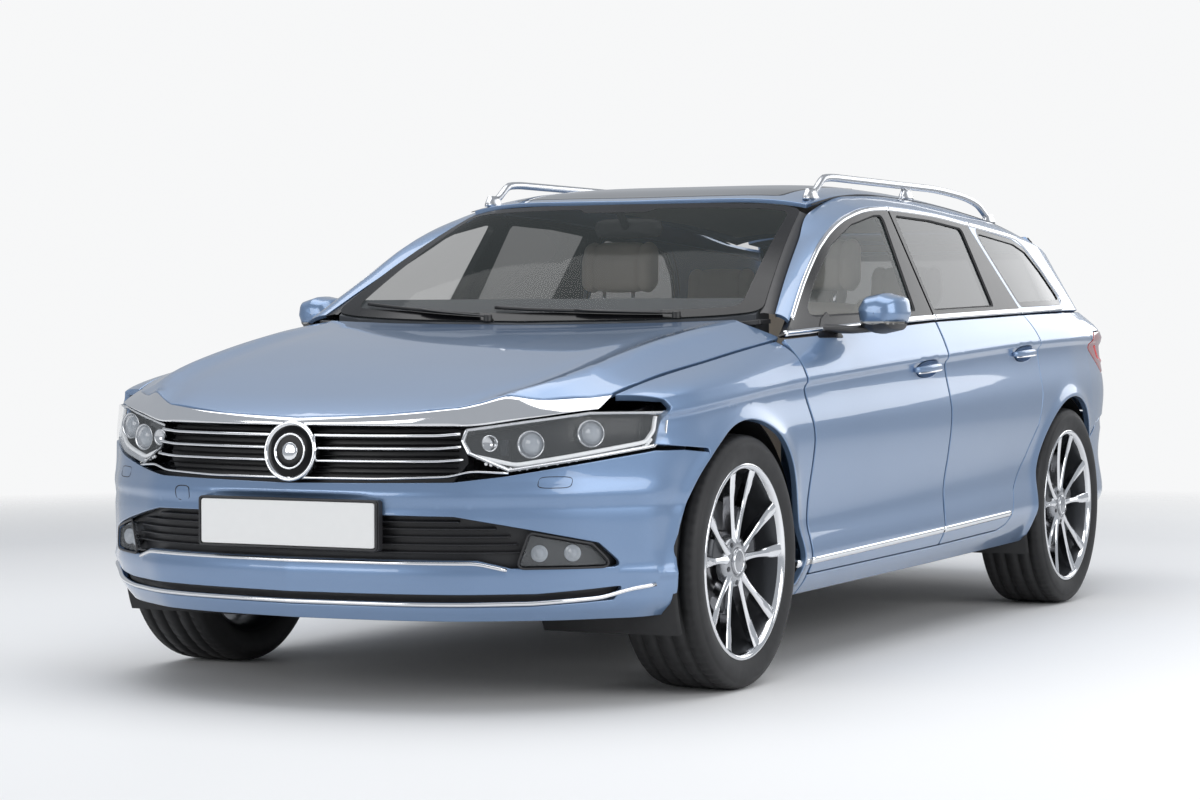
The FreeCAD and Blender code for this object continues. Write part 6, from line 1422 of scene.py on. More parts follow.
rear_half = from_rear([(0, .24), (.3, .24), (.6, .241), (.76, .243)])
rear_half += [(tail_s_at(x, z), z) for x, z in arc(RX, AZ, ARCH, 195, 147.5, 30)]
rear_half += [(rear_s(-1.75), .6215), (TAIL_S - .36, .65)] + from_rear([(.6, .6525), (.506, .6525),
    (0, .6525)])
rear_loop = inset(rounded(both_halves(rear_half), .004), .001)
across = np.linspace(-TAIL_S - .05, TAIL_S + .05, 150)
rear_rows = [cols(across, np.full(150, z)) for z in (.345, .365, .575, .6, .625)]


def rear_bumper_shape(s, z):
    p = flared(rear, RX)(s, z)
    out = p - vec(REAR_CENTRE, 0, 0)
    out[:, 2] = 0
    out /= np.maximum(np.linalg.norm(out, axis=1), 1e-6)[:, None]
    step = .006 * smooth_step((.622 - z) / .02) * smooth_step((z - .3) / .05)
    return p - out * (.006 - step)[:, None]


wrap("rear_bumper_skin", rear_bumper_shape, rear_loop, PAINT, centre_x=REAR_CENTRE, rows=rear_rows, step=.022,
    flange=.014)
low_trim = rounded(both_halves(from_rear([(0, .2425), (.45, .2425), (.66, .244), (.7, .3), (.6, .338),
    (0, .338)])), .012)
wrap("rear_bumper_low_trim", rear_bumper_shape, low_trim, BLACK, centre_x=REAR_CENTRE, lift=.003, step=.03,
    flange=.004)
for k, z in enumerate((.262, .284, .306)):
    pts = from_rear([(y, z) for y in np.linspace(0, .36, 12)])
    line = np.array([(-s, zz) for s, zz in reversed(pts)] + pts[1:])
    strip(f"rear_low_rib_{k}", lambda s, z: rear_bumper_shape(s, z) - vec(.003, 0, 0), line, .006, BLACK,
        mirror=False, hint=BACK, lift=.003)
pipe_frame = oblong(.5, .292, .085, .026, .5, .6, 48)
frame_loop = np.array(from_rear(pipe_frame))
strip("exhaust_left_frame", lambda s, z: rear_bumper_shape(s, z) - vec(.004, 0, 0), frame_loop, .01, CHROME,
    hint=BACK, lift=.006, closed=True)
skin("exhaust_left_mouth", rear_bumper_shape, inset(frame_loop, .002), SEALS, inner=(REAR_CENTRE, 0.0),
    lift=.0042, edge=.001, flange=0.0, step=.03)
reflect = rounded(from_rear([(.6, .372), (.76, .376), (.755, .398), (.605, .394)]), .006)
skin("rear_left_reflector", rear_bumper_shape, reflect, RED, inner=(REAR_CENTRE, 0.0), lift=.003, edge=.002,
    flange=.003, step=.02)

# Wheels
RUBBER = plain("tyre_rubber", (.014, .014, .015), .62, scale=60, spread=.25, grain=.0001)
ALLOY = plain("polished_alloy", (.78, .79, .81), .12, metal=1.0, spread=.03)
DARK_ALLOY = plain("dark_wheel_paint", (.055, .058, .064), .3, metal=.6, spread=.1)
IRON = plain("brake_iron", (.26, .26, .27), .34, metal=1.0, scale=25, spread=.12)
SILVER = plain("silver_wheel_paint", (.36, .37, .39), .26, metal=.8, spread=.06, coat=.3)


SPOKE_IN, SPOKE_OUT, BOLT_CIRCLE = .05, .2485, .056


def tyre(end, x):
    body = f"wheel_{end}_left"
    half = [(.09, .25), (.1, .258), (.1065, .266), (.109, .272), (.1125, .28), (.116, .292), (.1172, .303),
        (.1162, .314), (.114, .3215), (.1125, .3225), (.111, .3275), (.108, .333), (.103, .338),
        (.096, .3412), (.086, .3428)]
    tread = []
    for groove in (.066, .024):
        tread += [(groove + .0055, .344), (groove + .004, .3375), (groove - .004, .3375),
            (groove - .0055, .3442)]
    profile = half + tread + [(-o, r) for o, r in reversed(tread)] + [(-o, r) for o, r in reversed(half)]
    sides = 216
    turn = np.arange(sides)
    loops = []
    for out, radius in profile:
        notch = np.zeros(sides)
        if radius > .3405 and abs(out) > .072:
            notch = np.where(turn % 3 == 0, .0035, 0.0)
        elif radius > .3432:
            notch = np.where(turn % 6 == (1 if out > 0 else 4), .0025, 0.0)
        angle = turn * 2 * pi / sides + .3 * out
        r = radius - notch
        loops.append(cols(x + r * np.cos(angle), np.full(sides, WY + out), AZ + r * np.sin(angle)))
    lofted(f"tyre_{end}_left_carcass", loops, RUBBER, body)


def polar(x, radius, angle, out):
    return np.array([x + radius * cos(angle), WY + out, AZ + radius * sin(angle)])


def spoke_loops(x, stations):
    """Sections along a spoke: each is (radius, angle, half width, face, depth)."""
    loops = []
    for radius, angle, half, face, depth in stations:
        way = np.array([-sin(angle), 0, cos(angle)])
        mid = polar(x, radius, angle, 0.0)
        out = vec(0, 1.0, 0)
        section = [(-1.0, face - .0035), (-.8, face - .0006), (0.0, face + .0022), (.8, face - .0006),
            (1.0, face - .0035), (.72, face - depth * .6), (.45, face - depth), (-.45, face - depth),
            (-.72, face - depth * .6)]
        loops.append(np.array([mid + way * half * a + out * b for a, b in section]))
    return loops


def joined(parts):
    """Several meshes as one: its points and faces."""
    faces, base = [], 0
    for verts, part in parts:
        faces += [tuple(i + base for i in f) for f in part]
        base += len(verts)
    return np.vstack([verts for verts, _ in parts]), faces


def rim(end, x):
    body = f"wheel_{end}_left"
    for part, sides, finish, profile in (("lip", 144, ALLOY, [(.098, .262), (.105, .2665), (.1085, .265),
        (.1095, .26), (.108, .2545), (.101, .25), (.093, .2475)]), ("barrel", 96, DARK_ALLOY,
        [(.0935, .2478), (.08, .242), (.05, .236), (.01, .229), (-.06, .231), (-.09, .245), (-.102, .262)]),
        ("hub", 80, SILVER, [(.052, .074), (.07, .072), (.078, .066), (.0815, .052), (.0835, .042),
        (.0815, .0375)]), ("cap", 72, SILVER, [(.078, .0372), (.085, .0366), (.0875, .0335), (.088, .026),
        (.0895, .012), (.09, .0005)]), ("cap_ring", 72, CHROME, [(.0866, .0335), (.0886, .0325),
        (.0893, .0308), (.0884, .0292), (.0866, .0288)])):
        lofted(f"rim_{end}_left_{part}", spun(profile, x, WY, sides), finish, body, "wheel_alloy")
    spokes, webs, bolts = [], [], []
    for group in range(5):
        centre = radians(90 + 72 * group)
        for sign in (1, -1):
            stations = []
            for t in np.linspace(0, 1, 12):
                radius = SPOKE_IN + (SPOKE_OUT - SPOKE_IN) * t
                spread = radians(10.5 + 4.0 * t + 1.5 * sin(pi * t))
                half = .0135 - .0045 * sin(pi * min(t * 1.25, 1.0)) + .0045 * t ** 3
                face = .08 + .0215 * t ** 1.2 - .004 * sin(pi * t)
                stations.append((radius, centre + sign * spread, half, face, .034 - .012 * t))
            spokes.append(loft(spoke_loops(x, stations), True, (True, True)))
        web = [[polar(x, radius, centre + radians(spread) * k, out) for k in np.linspace(-1, 1, 7)]
            for radius, spread, out in ((.06, 10, .07), (.1, 10.5, .069), (.135, 10.5, .0715),
            (.15, 9.0, .07), (.15, 9.0, .05))]
        webs.append(loft([np.array(w) for w in web], False))
        bolt = centre + radians(36)
        bolts.append(loft([np.array([polar(x, BOLT_CIRCLE, bolt, out)
            + np.array([rad * cos(a), 0, rad * sin(a)]) for a in full_turn(6)])
            for out, rad in ((.07, .0085), (.08, .0085), (.0825, .0068), (.0826, .001))]))
    for obj in pair(f"rim_{end}_left_spokes", *joined(spokes), ALLOY, body, smooth=False):
        tidy_normals(obj)
        bevel_soft(obj)
    for obj in pair(f"rim_{end}_left_webs", *joined(webs), DARK_ALLOY, body):
        tidy_normals(obj)
    for obj in pair(f"rim_{end}_left_bolts", *joined(bolts), DARK_ALLOY, body, smooth=False):
        tidy_normals(obj)
    disc_rings = [(.02, .07), (.02, .164), (.018, .166), (-.004, .166), (-.006, .164), (-.006, .07)]
    lofted(f"rim_{end}_left_disc", spun(disc_rings, x, WY - .01, 96), IRON, body)
    bell = [(.045, .06), (.044, .078), (.036, .084), (.02, .084)]
    lofted(f"rim_{end}_left_bell", spun(bell, x, WY - .01, 72), IRON, body, caps=(True, False))


def bevel_soft(obj):
    """Smooth faces with crisp edges where they turn sharply."""
    def sharpen(bm):
        for edge in bm.edges:
            if len(edge.link_faces) == 2 and edge.calc_face_angle(0) > radians(28):
                edge.smooth = False

    obj.data.polygons.foreach_set("use_smooth", [True] * len(obj.data.polygons))
    remade(obj, sharpen)


for end, x in (("front", FX), ("rear", RX)):
    tyre(end, x)
    rim(end, x)

# Arch liners
LINING = plain("arch_lining", (.016, .016, .017), .75, spread=.2, grain=.0003)
for name, x, start, finish in (("front_arch_left", FX, -25, 205), ("rear_arch_left", RX, -22, 202)):
    turn = np.radians(np.linspace(start, finish, 60))
    rows = []
    for y, radius in ((.868, .386), (.862, .398), (.6, .402), (.47, .402), (.46, .3)):
        rows.append(cols(x + radius * np.cos(turn), np.full(60, y), AZ + radius * np.sin(turn)))
    lofted(name, rows, LINING, closed=False)


# Mirrors, roof rails, wipers
def swept(name, path, wide, high, mat, body="shell", slot=None, mirror=True, sides=14, caps=(True, True),
        up=(0, 0, 1)):
    """A bar of oval section along a path."""
    path = np.array(path, float)
    loops = []
    for k, p in enumerate(path):
        way = path[min(k + 1, len(path) - 1)] - path[max(k - 1, 0)]
        way /= np.linalg.norm(way)
        across = np.cross(way, up)
        across /= np.linalg.norm(across)
        rise = np.cross(across, way)
        w = wide[k] if isinstance(wide, (list, np.ndarray)) else wide
        h = high[k] if isinstance(high, (list, np.ndarray)) else high
        loops.append(np.array([p + across * w * cos(a) + rise * h * sin(a) for a in full_turn(sides)]))
    return lofted(name, loops, mat, body, slot, mirror=mirror, caps=caps)


def flowing(points, count):
    """A smooth run of points through the given ones."""
    points = np.array(points, float)
    at = np.concatenate([[0], np.cumsum(np.linalg.norm(np.diff(points, axis=0), axis=1))])
    fine = np.linspace(0, at[-1], count)
    return np.stack([curve(list(zip(at, points[:, k])), 1)(fine) for k in range(points.shape[1])], 1)


cap_line = rounded([(.905, .965), (.893, 1.03), (.915, 1.066), (.97, 1.076), (1.026, 1.06), (1.033, 1.015),
    (1.015, .968), (.95, .955)], .022, step=.007)
cap_mid = cap_line.mean(axis=0)
stations = [(.63, .9), (.6235, .955), (.6215, .985), (.626, 1.0), (.65, 1.0), (.69, .965), (.715, .88),
    (.733, .74), (.742, .56), (.745, .3), (.7455, .02)]
loops = [np.array([(x, *(cap_mid + (p - cap_mid) * s)) for p in cap_line]) for x, s in stations]
split = .9875
loops = [cols(lp[:, 0] + .016 * (lp[:, 1] - .93), lp[:, 1], lp[:, 2]) for lp in loops]
high = [cols(lp[:, 0], lp[:, 1], np.maximum(lp[:, 2], split + .0015)) for lp in loops]
low = [cols(lp[:, 0] - .001, lp[:, 1], np.minimum(lp[:, 2], split - .0015)) for lp in loops]
lofted("mirror_left_cap", high, PAINT, FRONT_LEAF)
lofted("mirror_left_base", low, BLACK, FRONT_LEAF)
signal = [cols(lp[:, 0] + .0004, lp[:, 1] + .0004, np.clip(lp[:, 2], split - .004, split + .004))
    for lp in loops[4:]]
lofted("mirror_left_signal", signal, plain("signal_lens", (.72, .7, .66), .15, spread=.04, coat=.4),
    FRONT_LEAF, "lamp_clear")
glass_loop = [np.array([(x, *(cap_mid + (p - cap_mid) * s)) for p in cap_line])
    for x, s in ((.63, .875), (.6285, .87), (.6285, .4), (.6285, .01))]
lofted("mirror_left_glass", glass_loop, plain("silvered_glass", (.8, .82, .84), .03, metal=1.0, spread=.01),
    FRONT_LEAF, "dark_glass")
foot = flowing([(.812, .8, .972), (.78, .835, .972), (.735, .88, .968), (.69, .93, .972)], 14)
swept("mirror_left_foot", foot, [.03 - .0006 * k for k in range(14)], .012, BLACK, FRONT_LEAF)
sail = rounded([(.715, .9435), (.88, .9435), (.8, 1.0), (.745, 1.02)], .006)
skin("mirror_left_sail", wall, sail, GLOSS, FRONT_LEAF, "trim_black", lift=.003, edge=.001, flange=.004,
    step=.02)

RAIL = plain("rail_alloy", (.6, .61, .63), .24, metal=1.0, spread=.05)
RAIL_Y, top_z = .562, 1.447


def roof_over(x):
    return float(roof_z(vec(x), RAIL_Y)[0])


rail_path = flowing([(x, RAIL_Y, z) for x, z in ((.29, roof_over(.29) + .004), (.235, roof_over(.235) + .018),
    (.15, 1.4425), (.06, top_z), (-.35, top_z), (-.76, top_z), (-1.05, 1.4365), (-1.25, 1.413),
    (-1.355, roof_over(-1.355) + .02), (-1.42, roof_over(-1.42) + .004))], 72)
swept("roof_rail_left_bar", rail_path, .0105, .0125, RAIL)
for k, x in enumerate((.262, -1.385, -.56)):
    z = roof_over(x)
    tall = min(.03, top_z - z)
    foot = [np.array([(x + sx * a, RAIL_Y + sy * b, z + t) for sx, sy in ((1, .4), (.7, 1), (-.7, 1),
        (-1, .4), (-1, -.4), (-.7, -1), (.7, -1), (1, -.4))]) for a, b, t in ((.05, .0145, -.004),
        (.049, .014, .004), (.04, .0105, tall * .6), (.032, .0085, tall))]
    lofted(f"roof_rail_left_foot_{k}", foot, RAIL, caps=(True, True))

WIPE = plain("wiper_black", (.018, .018, .019), .45, spread=.15)


def on_glass(y, rise, lift):
    p = screen(np.array([y / (FOOT_HALF * (1 - rise) + HEAD_HALF * rise)]), vec(rise))[0]
    return p + vec(SWELL_X, 0, SWELL_Z) * lift


for side_name, pivot, tip in (("left", .48, -.12), ("right", -.12, -.6)):
    mid = pivot + (tip - pivot) * .45
    blade = [on_glass(pivot + (tip - pivot) * (.08 + .92 * t), .04 + .05 * t, .0075)
        for t in np.linspace(0, 1, 20)]
    swept(f"wiper_{side_name}_blade", blade, .0045, .0055, WIPE, mirror=False, sides=8)
    arm = flowing([on_glass(pivot, .02, .012), on_glass(mid, .052, .0125),
        on_glass(pivot + (tip - pivot) * .54, .065, .0105)], 14)
    swept(f"wiper_{side_name}_arm", arm, .0065, .003, WIPE, mirror=False, sides=8)
    knob = on_glass(pivot, .02, .004)
    lofted(f"wiper_{side_name}_knob", [np.array([knob + np.array([r * cos(a), r * sin(a), h])
        for a in full_turn(16)]) for r, h in ((.013, -.008), (.013, .009), (.01, .0125), (.001, .013))], WIPE,
        mirror=False)

# Cabin
LEATHER = Kit("beige_leather", Roughness=.55)
LEATHER.set("Base Color", LEATHER.mix(LEATHER.noise(14.0), (.5, .44, .37), (.6, .53, .45)))
LEATHER.bump(LEATHER.noise(420.0), .25, .0006)
LEATHER = LEATHER.mat
FACIA = plain("soft_black_facia", (.022, .022, .024), .6, scale=40, spread=.2, grain=.0003)
LINER = plain("pale_headliner", (.5, .49, .46), .85, scale=60, spread=.08, grain=.0003)
CARPET = plain("dark_carpet", (.035, .035, .037), .9, scale=120, spread=.3, grain=.001)
SCREEN_GLASS = plain("instrument_glass", (.01, .011, .013), .08, spread=.1, coat=.6)


def cushion(name, outline, middle, half, panels, crown=.01, seam=.006, soft=.03, bolster=0.0):
    """A stuffed form: an outline seen from the side, rounded ends, crowned panels and sewn seams between them."""
    loop = rounded(outline, .03, step=.014)
    end = soft * (1 - np.cos(np.linspace(0, pi / 2, 7)))
    ys = np.unique(np.concatenate([np.linspace(-half, half, 34), -half + end, half - end]
        + [vec(p - .008, p, p + .008) for p in panels]))
    edges = sorted([-half] + list(panels) + [half])
    loops = []
    for y in ys:
        to_end = half - abs(y)
        sink = soft - sqrt(max(soft ** 2 - max(soft - to_end, 0) ** 2, 0.0)) if to_end < soft else 0.0
        sink = min(sink, soft) * .75
        k = max(i for i, e in enumerate(edges[:-1]) if e <= y + 1e-9)
        share = (y - edges[k]) / (edges[k + 1] - edges[k])
        full = crown * sin(pi * min(max(share, 0), 1)) ** .7
        groove = sum(seam * exp(-((y - p) / .006) ** 2) for p in panels)
        side_rise = bolster * smooth_step((abs(y) - abs(edges[1] if len(edges) > 2 else half)) / .03 + .5)
        ring = inset(loop, sink - full + groove - side_rise)
        loops.append(np.array([(x, middle + y, z) for x, z in ring]))
    centre = np.array([loops[0][:, 0].mean(), middle - half - .0005, loops[0][:, 2].mean()])
    other_end = np.array([loops[-1][:, 0].mean(), middle + half + .0005, loops[-1][:, 2].mean()])
    loops = [centre + (loops[0] - centre) * .05] + loops + [other_end + (loops[-1] - other_end) * .05]
    obj = lofted(name, loops, LEATHER, mirror=False, caps=(True, True))[0]
    return obj


DRIVER_Y = .37
seat_base = [(.35, .4), (.388, .455), (.36, .5), (.1, .492), (-.05, .474), (-.105, .445), (-.105, .405)]
seat_back = [(-.045, .455), (-.11, .7), (-.175, .9), (-.212, 1.03), (-.255, 1.05), (-.29, 1.035),
    (-.275, .76), (-.165, .445)]
head_pad = [(-.232, 1.105), (-.235, 1.2), (-.258, 1.252), (-.3, 1.262), (-.33, 1.245), (-.328, 1.12),
    (-.29, 1.098)]
for side_name, middle in (("left", DRIVER_Y), ("right", -DRIVER_Y)):
    cushion(f"seat_{side_name}_base", seat_base, middle, .248, (-.145, .145), bolster=.012)
    cushion(f"seat_{side_name}_back", seat_back, middle, .24, (-.14, .14), bolster=.012)
    cushion(f"seat_{side_name}_head", head_pad, middle, .13, (-.085, .085), crown=.006, bolster=0.0)
    for k, y in enumerate((-.055, .055)):
        post = [(-.262, middle + y, 1.02), (-.268, middle + y, 1.07), (-.275, middle + y, 1.12)]
        swept(f"seat_{side_name}_post_{k}", post, .0065, .0065, CHROME, mirror=False, sides=10)
    for k, y in enumerate((-.19, .19)):
        runner = [(-.1, middle + y, .3), (.12, middle + y, .3), (.33, middle + y, .3)]
        swept(f"seat_{side_name}_runner_{k}", runner, .02, .016, SATIN, mirror=False, sides=8)
        stay = [(.12, middle + y, .245), (.12, middle + y, .33), (.12, middle + y, .425)]
        swept(f"seat_{side_name}_stay_{k}", stay, .06, .012, FACIA, slot="chassis_steel", mirror=False,
            sides=8, up=(0, 1, 0))
bench_base = [(-.435, .41), (-.412, .49), (-.45, .532), (-.85, .515), (-.905, .48), (-.905, .415)]
bench_back = [(-.872, .5), (-.945, .75), (-1.03, 1.005), (-1.07, 1.022), (-1.108, 1.005), (-1.055, .75),
    (-.95, .5)]
bench_head = [(-1.05, 1.055), (-1.062, 1.16), (-1.085, 1.185), (-1.12, 1.18), (-1.13, 1.08), (-1.1, 1.05)]
cushion("rear_bench_base", bench_base, 0.0, .54, (-.36, -.1, .1, .36))
cushion("rear_bench_back", bench_back, 0.0, .54, (-.36, -.1, .1, .36))
for k, y in enumerate((.36, 0.0, -.36)):
    cushion(f"rear_bench_head_{k}", bench_head, y, .125, (-.08, .08), crown=.005, soft=.024)
    for j, side_y0 in enumerate((-.05, .05)):
        post = [(-1.075, y + side_y0, .99), (-1.08, y + side_y0, 1.03), (-1.085, y + side_y0, 1.08)]
        swept(f"rear_bench_post_{k}_{j}", post, .006, .006, CHROME, mirror=False, sides=10)

dash = [(.64, .705), (.606, .76), (.604, .84), (.632, .895), (.68, .918), (.78, .934), (.89, .944),
    (.896, .705)]
dash_loop = rounded(dash, .02, step=.014)
loops = []
for y in np.concatenate([[-.688, -.686, -.68], np.linspace(-.66, .66, 61), [.68, .686, .688]]):
    hood = .026 * exp(-((abs(y - DRIVER_Y) / .165) ** 4))
    bulge = .01 * exp(-((abs(y) / .16) ** 4))
    drop = .012 * max(abs(abs(y) - .67) < .03, 0) * (abs(y) - .66) / .03 if abs(y) > .66 else 0.0
    ring = inset(dash_loop, max(drop, 0))
    ring = np.array([(x - (hood * .8 + bulge) * smooth_step((.72 - x) / .08),
        z + hood * smooth_step((z - .86) / .04) * smooth_step((.8 - x) / .1)) for x, z in ring])
    loops.append(np.array([(x, y, z) for x, z in ring]))
lofted("dashboard_top", loops, FACIA, mirror=False, caps=(True, True))


def facia_sheet(name, points, x, mat, tilt=0.0, slot="dash_black", depth=.006, radius=.01):
    at = lambda y, z: cols(x + tilt * (z - .84), y, z)
    skin(name, at, rounded(points, radius, step=.012), mat, "shell", slot, mirror=False, hint=(-1, 0, .1),
        edge=.0015, flange=depth, step=.04)


facia_sheet("dashboard_screen", [(.105, .77), (.105, .868), (-.105, .868), (-.105, .77)], .5905, SCREEN_GLASS,
    .02)
facia_sheet("dashboard_dials", [(.49, .8), (.485, .895), (.255, .895), (.25, .8)], .577, SCREEN_GLASS, .05)
for k, (y0, y1) in enumerate(((.52, .64), (.125, .225), (-.225, -.125), (-.64, -.3))):
    facia_sheet(f"dashboard_vent_{k}", [(y1, .79), (y1, .835), (y0, .835), (y0, .79)], .601, SEALS, 0.0,
        radius=.006)
    for j, z in enumerate((.801, .8125, .824)):
        swept(f"dashboard_vane_{k}_{j}", [(.598, y0 + .006, z), (.598, (y0 + y1) / 2, z),
            (.598, y1 - .006, z)], .0022, .0018, SATIN, slot="dash_black", mirror=False, sides=6)
console = rounded([(-.058, .455), (-.05, .548), (.1, .56), (.55, .56), (.62, .7), (.755, .7), (.755, .455)],
    .02, step=.02)
loops = [np.array([(x, y, z) for x, z in inset(console, cut)]) for y, cut in ((-.104, .01), (-.102, .003),
    (-.097, 0.0), (0, -.001), (.097, 0.0), (.102, .003), (.104, .01))]
lofted("dashboard_console", loops, FACIA, mirror=False, caps=(True, True))
lofted("dashboard_selector", [np.array([(.33 + r * cos(a), r * sin(a), z) for a in full_turn(20)])
    for r, z in ((.045, .56), (.034, .575), (.012, .6), (.01, .625), (.022, .64), (.024, .66), (.014, .672),
    (.001, .674))], FACIA, mirror=False)

tilt = radians(24)
hub, along, aside = vec(.48, DRIVER_Y, .85), np.array([cos(tilt), 0, -sin(tilt)]), vec(0, 1.0, 0)
down = np.cross(along, aside)
down = down if down[2] < 0 else -down
loops = []
for t in full_turn(96):
    way = aside * cos(t) + down * sin(t)
    thick = .0135 + .0012 * cos(2 * t)
    loops.append(np.array([hub + way * (.1795 + thick * cos(a)) + along * thick * sin(a)
        for a in full_turn(16)]))
lofted("hand_wheel_rim", loops + [loops[0]], FACIA, "hand_wheel", mirror=False)
loops = []
for r, depth in ((.001, -.004), (.04, -.003), (.056, .002), (.062, .012), (.06, .03), (.03, .045),
    (.02, .075)):
    loops.append(np.array([hub + (aside * cos(a) * 1.1 + down * sin(a)) * r + along * (depth + .002)
        for a in full_turn(48)]))
lofted("hand_wheel_hub", loops, FACIA, "hand_wheel", mirror=False, caps=(False, True))
for k, way in enumerate((aside, -aside, down)):
    arm = [hub + way * r + along * d for r, d in ((.045, .012), (.09, .01), (.13, .006), (.172, .002))]
    swept(f"hand_wheel_arm_{k}", arm, [.02, .017, .014, .012], .006, FACIA, "hand_wheel", mirror=False,
        up=tuple(along))
column = [hub + along * d for d in (.055, .09, .14, .2)]
swept("steering_column_cover", column, .034, .03, FACIA, mirror=False)

mirror_at = vec(.395, 0.0, 1.285)
oval = [(.118, 0.0), (.112, .022), (.085, .031), (0.0, .034), (-.085, .031), (-.112, .022), (-.118, 0.0),
    (-.105, -.026), (0.0, -.031), (.105, -.026)]
oval = rounded(oval, .008, step=.008)
loops = [np.array([mirror_at + vec(d, y * s, z * s) for y, z in oval])
    for d, s in ((-.004, .01), (-.004, .93), (0.0, 1.0), (.01, 1.0), (.024, .8), (.03, .3))]
lofted("inside_mirror_shell", loops, FACIA, mirror=False, caps=(False, True))
swept("inside_mirror_stem", [mirror_at + vec(.02, 0, 0.0), mirror_at + vec(.05, 0, .03),
    mirror_at + vec(.068, 0, .058)], .014, .01, FACIA, mirror=False)

liner_half = [(.3, 0.0), (.28, .5), (.05, .56), (-.9, .545), (-1.55, .5), (-1.6, 0.0)]
liner_loop = rounded(liner_half + [(x, -y) for x, y in reversed(liner_half[1:-1])], .03, step=.03)
under_roof = lambda x, y: roof(x, y) - vec(0, 0, .032)
skin("headliner_sheet", under_roof, liner_loop, LINER, mirror=False, hint=(0, 0, -1), edge=.002, flange=.006,
    step=.09)

# What the pieces stand for
STANDS_FOR = {"roof_panel_skin": ("roof_panel",), "roof_glass_skin": ("roof_glass",),
    "windscreen_pane": ("windscreen",), "quarter_glass_left_pane": ("quarter_glass",),
    "front_wing_left_skin": ("front_wings",), "front_bumper_skin": ("front_bumper",),
    "upper_grille_back": ("upper_grille",), "lower_grille_back": ("lower_grille",),
    "headlamp_left_lens": ("headlamps",), "fog_lamp_left_lens": ("fog_lamps",),
    "tail_lamp_left_lens": ("tail_lamps",), "roof_rail_left_bar": ("roof_rails",),
    "seat_left_base": ("front_seats",), "rear_bumper_skin": ("rear_bumper",), "wiper_left_arm": ("wipers",),
    "dashboard_top": ("dashboard",), "rear_bench_base": ("rear_bench",), "bonnet_skin": ("bonnet",),
    "tailgate_skin": ("tailgate",), "tailgate_glass_pane": ("tailgate_glass",),
    "hand_wheel_rim": ("steering_wheel",)}
for side_name in ("left", "right"):
    STANDS_FOR[f"body_side_{side_name}_skin"] = (f"body_side_{side_name}",)
    STANDS_FOR[f"mirror_{side_name}_cap"] = (f"mirror_{side_name}",)
    for end in ("front", "rear"):
        STANDS_FOR[f"{end}_door_{side_name}_skin"] = (f"{end}_door_{side_name}",)
        STANDS_FOR[f"{end}_door_glass_{side_name}_pane"] = (f"{end}_door_glass_{side_name}",)
        STANDS_FOR[f"tyre_{end}_{side_name}_carcass"] = (f"tyre_{end}_{side_name}",)
        STANDS_FOR[f"rim_{end}_{side_name}_spokes"] = (f"rim_{end}_{side_name}",)
for piece, nodes in STANDS_FOR.items():
    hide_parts(*nodes)

STEEL = plain("chassis_grey", (.1, .1, .105), .5, metal=.4, scale=20, spread=.2)
CAST = plain("cast_metal", (.3, .3, .31), .45, metal=.9, scale=30, spread=.15, grain=.0004)
PIPE = plain("pipe_steel", (.36, .34, .32), .35, metal=1.0, scale=15, spread=.2)
CAVE = plain("inner_steel", (.045, .05, .058), .55, scale=20, spread=.15)
for node, finish in (("front_structure", CAVE), ("floor", CARPET), ("engine", CAST), ("exhaust", PIPE),
    ("front_subframe", STEEL), ("rear_axle", STEEL), ("knuckle_left", CAST), ("knuckle_right", CAST)):
    obj = frame["nodes"].get(node) if frame else None
    if obj:
        for place in obj.material_slots:
            place.material = finish
        if not obj.material_slots:
            obj.data.materials.append(finish)


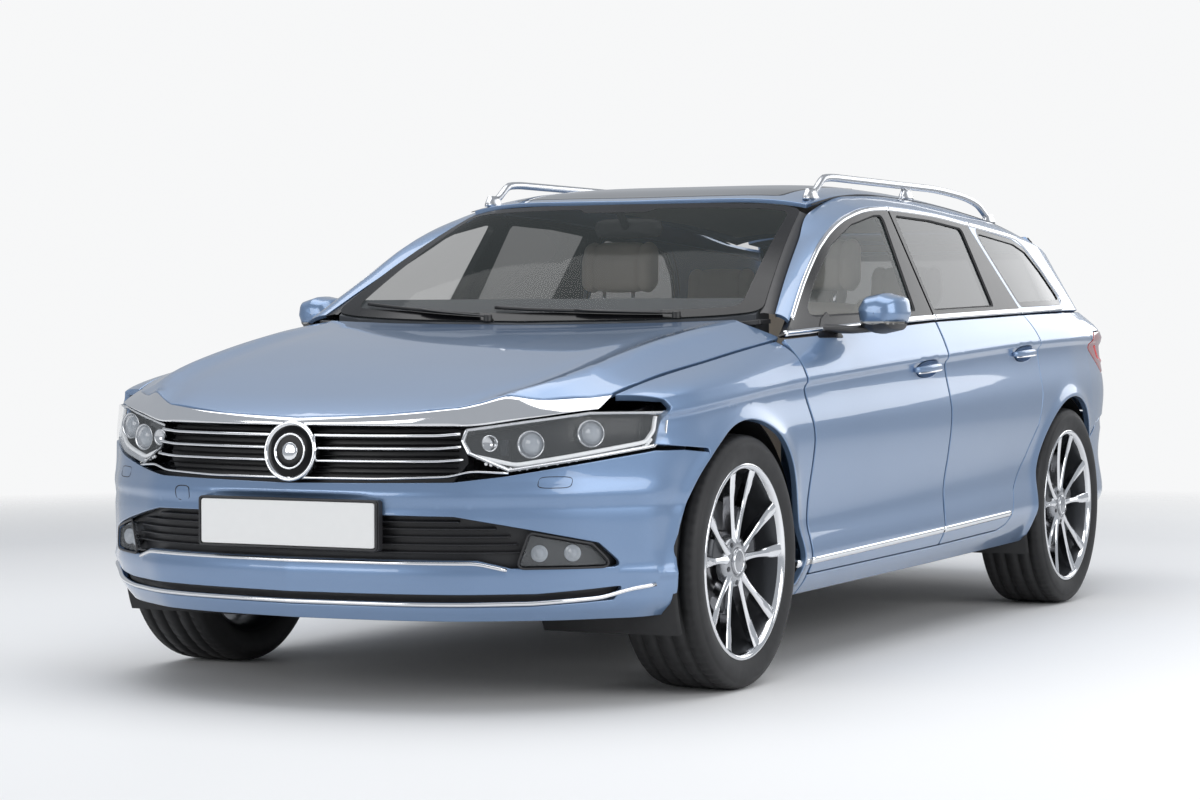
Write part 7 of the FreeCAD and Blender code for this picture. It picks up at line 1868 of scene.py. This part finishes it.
# Floor, backdrop, light and camera
def studio():
    kit = Kit("pale_studio_floor", Roughness=.55, Specular_IOR_Level=.3)
    kit.set("Base Color", kit.mix(kit.noise(.4), (.8, .8, .8), (.84, .84, .84)))
    x, y, _ = kit.place()
    away = x * x + y * y
    kit.set("Alpha", kit.node("MapRange", {}, {0: away.link, 1: 22.0, 2: 70.0, 3: 1.0, 4: 0.0}))
    size = 14.0
    mesh = bpy.data.meshes.new("studio_floor")
    mesh.from_pydata([(-size, -size, 0), (size, -size, 0), (size, size, 0), (-size, size, 0)], [],
        [(0, 1, 2, 3)])
    mesh.materials.append(kit.mat)
    floor = bpy.data.objects.new("studio_floor", mesh)
    bpy.context.scene.collection.objects.link(floor)


def softbox(name, place, aim, size, power, tint=(1, 1, 1)):
    data = bpy.data.lights.new(name, "AREA")
    data.shape, data.size, data.size_y = "RECTANGLE", size[0], size[1]
    data.energy, data.color = power, tint
    lamp = bpy.data.objects.new(name, data)
    bpy.context.scene.collection.objects.link(lamp)
    lamp.location = place
    lamp.rotation_euler = (Vector(aim) - Vector(place)).to_track_quat("-Z", "Y").to_euler()


def surroundings():
    world = bpy.data.worlds.new("pale_room")
    bpy.context.scene.world = world
    room = Kit("pale_room", world)
    lit = room.node("Background", {}, {"Color": (.8, .84, .9, 1.0), "Strength": .55})
    seen = room.node("Background", {}, {"Color": (.93, .935, .94, 1.0)})
    room.set("Surface", room.node("MixShader", {}, {0: room.node("LightPath"), 1: lit, 2: seen}))


def photo_camera():
    data = bpy.data.cameras.new("photo_camera")
    data.lens, data.sensor_width, data.clip_end = 88.5, 36.0, 60.0
    camera = bpy.data.objects.new("photo_camera", data)
    bpy.context.scene.collection.objects.link(camera)
    az, el, roll = radians(26.877), radians(1.4464), radians(-.067)
    forward = -Vector((cos(az) * cos(el), sin(az) * cos(el), sin(el)))
    turn = forward.to_track_quat("-Z", "Y").to_matrix() @ Matrix.Rotation(roll, 3, "Z")
    camera.matrix_world = Matrix.Translation((8.74008, 4.12459, .98086)) @ turn.to_4x4()
    bpy.context.scene.camera = camera


studio()
surroundings()
softbox("ceiling", (.5, 0.0, 5.2), (.2, 0, .6), (8.0, 5.0), 260)
softbox("left_wall", (2.5, 6.5, 2.8), (.3, 0, .8), (7.0, 3.0), 190)
softbox("front_wall", (8.5, -3.0, 2.6), (1.0, 0, .7), (5.0, 3.0), 150)
softbox("rear_wall", (-7.5, 2.0, 3.0), (-1.0, 0, .8), (5.0, 3.0), 90)
photo_camera()
scene = bpy.context.scene
scene.view_settings.view_transform = "Standard"
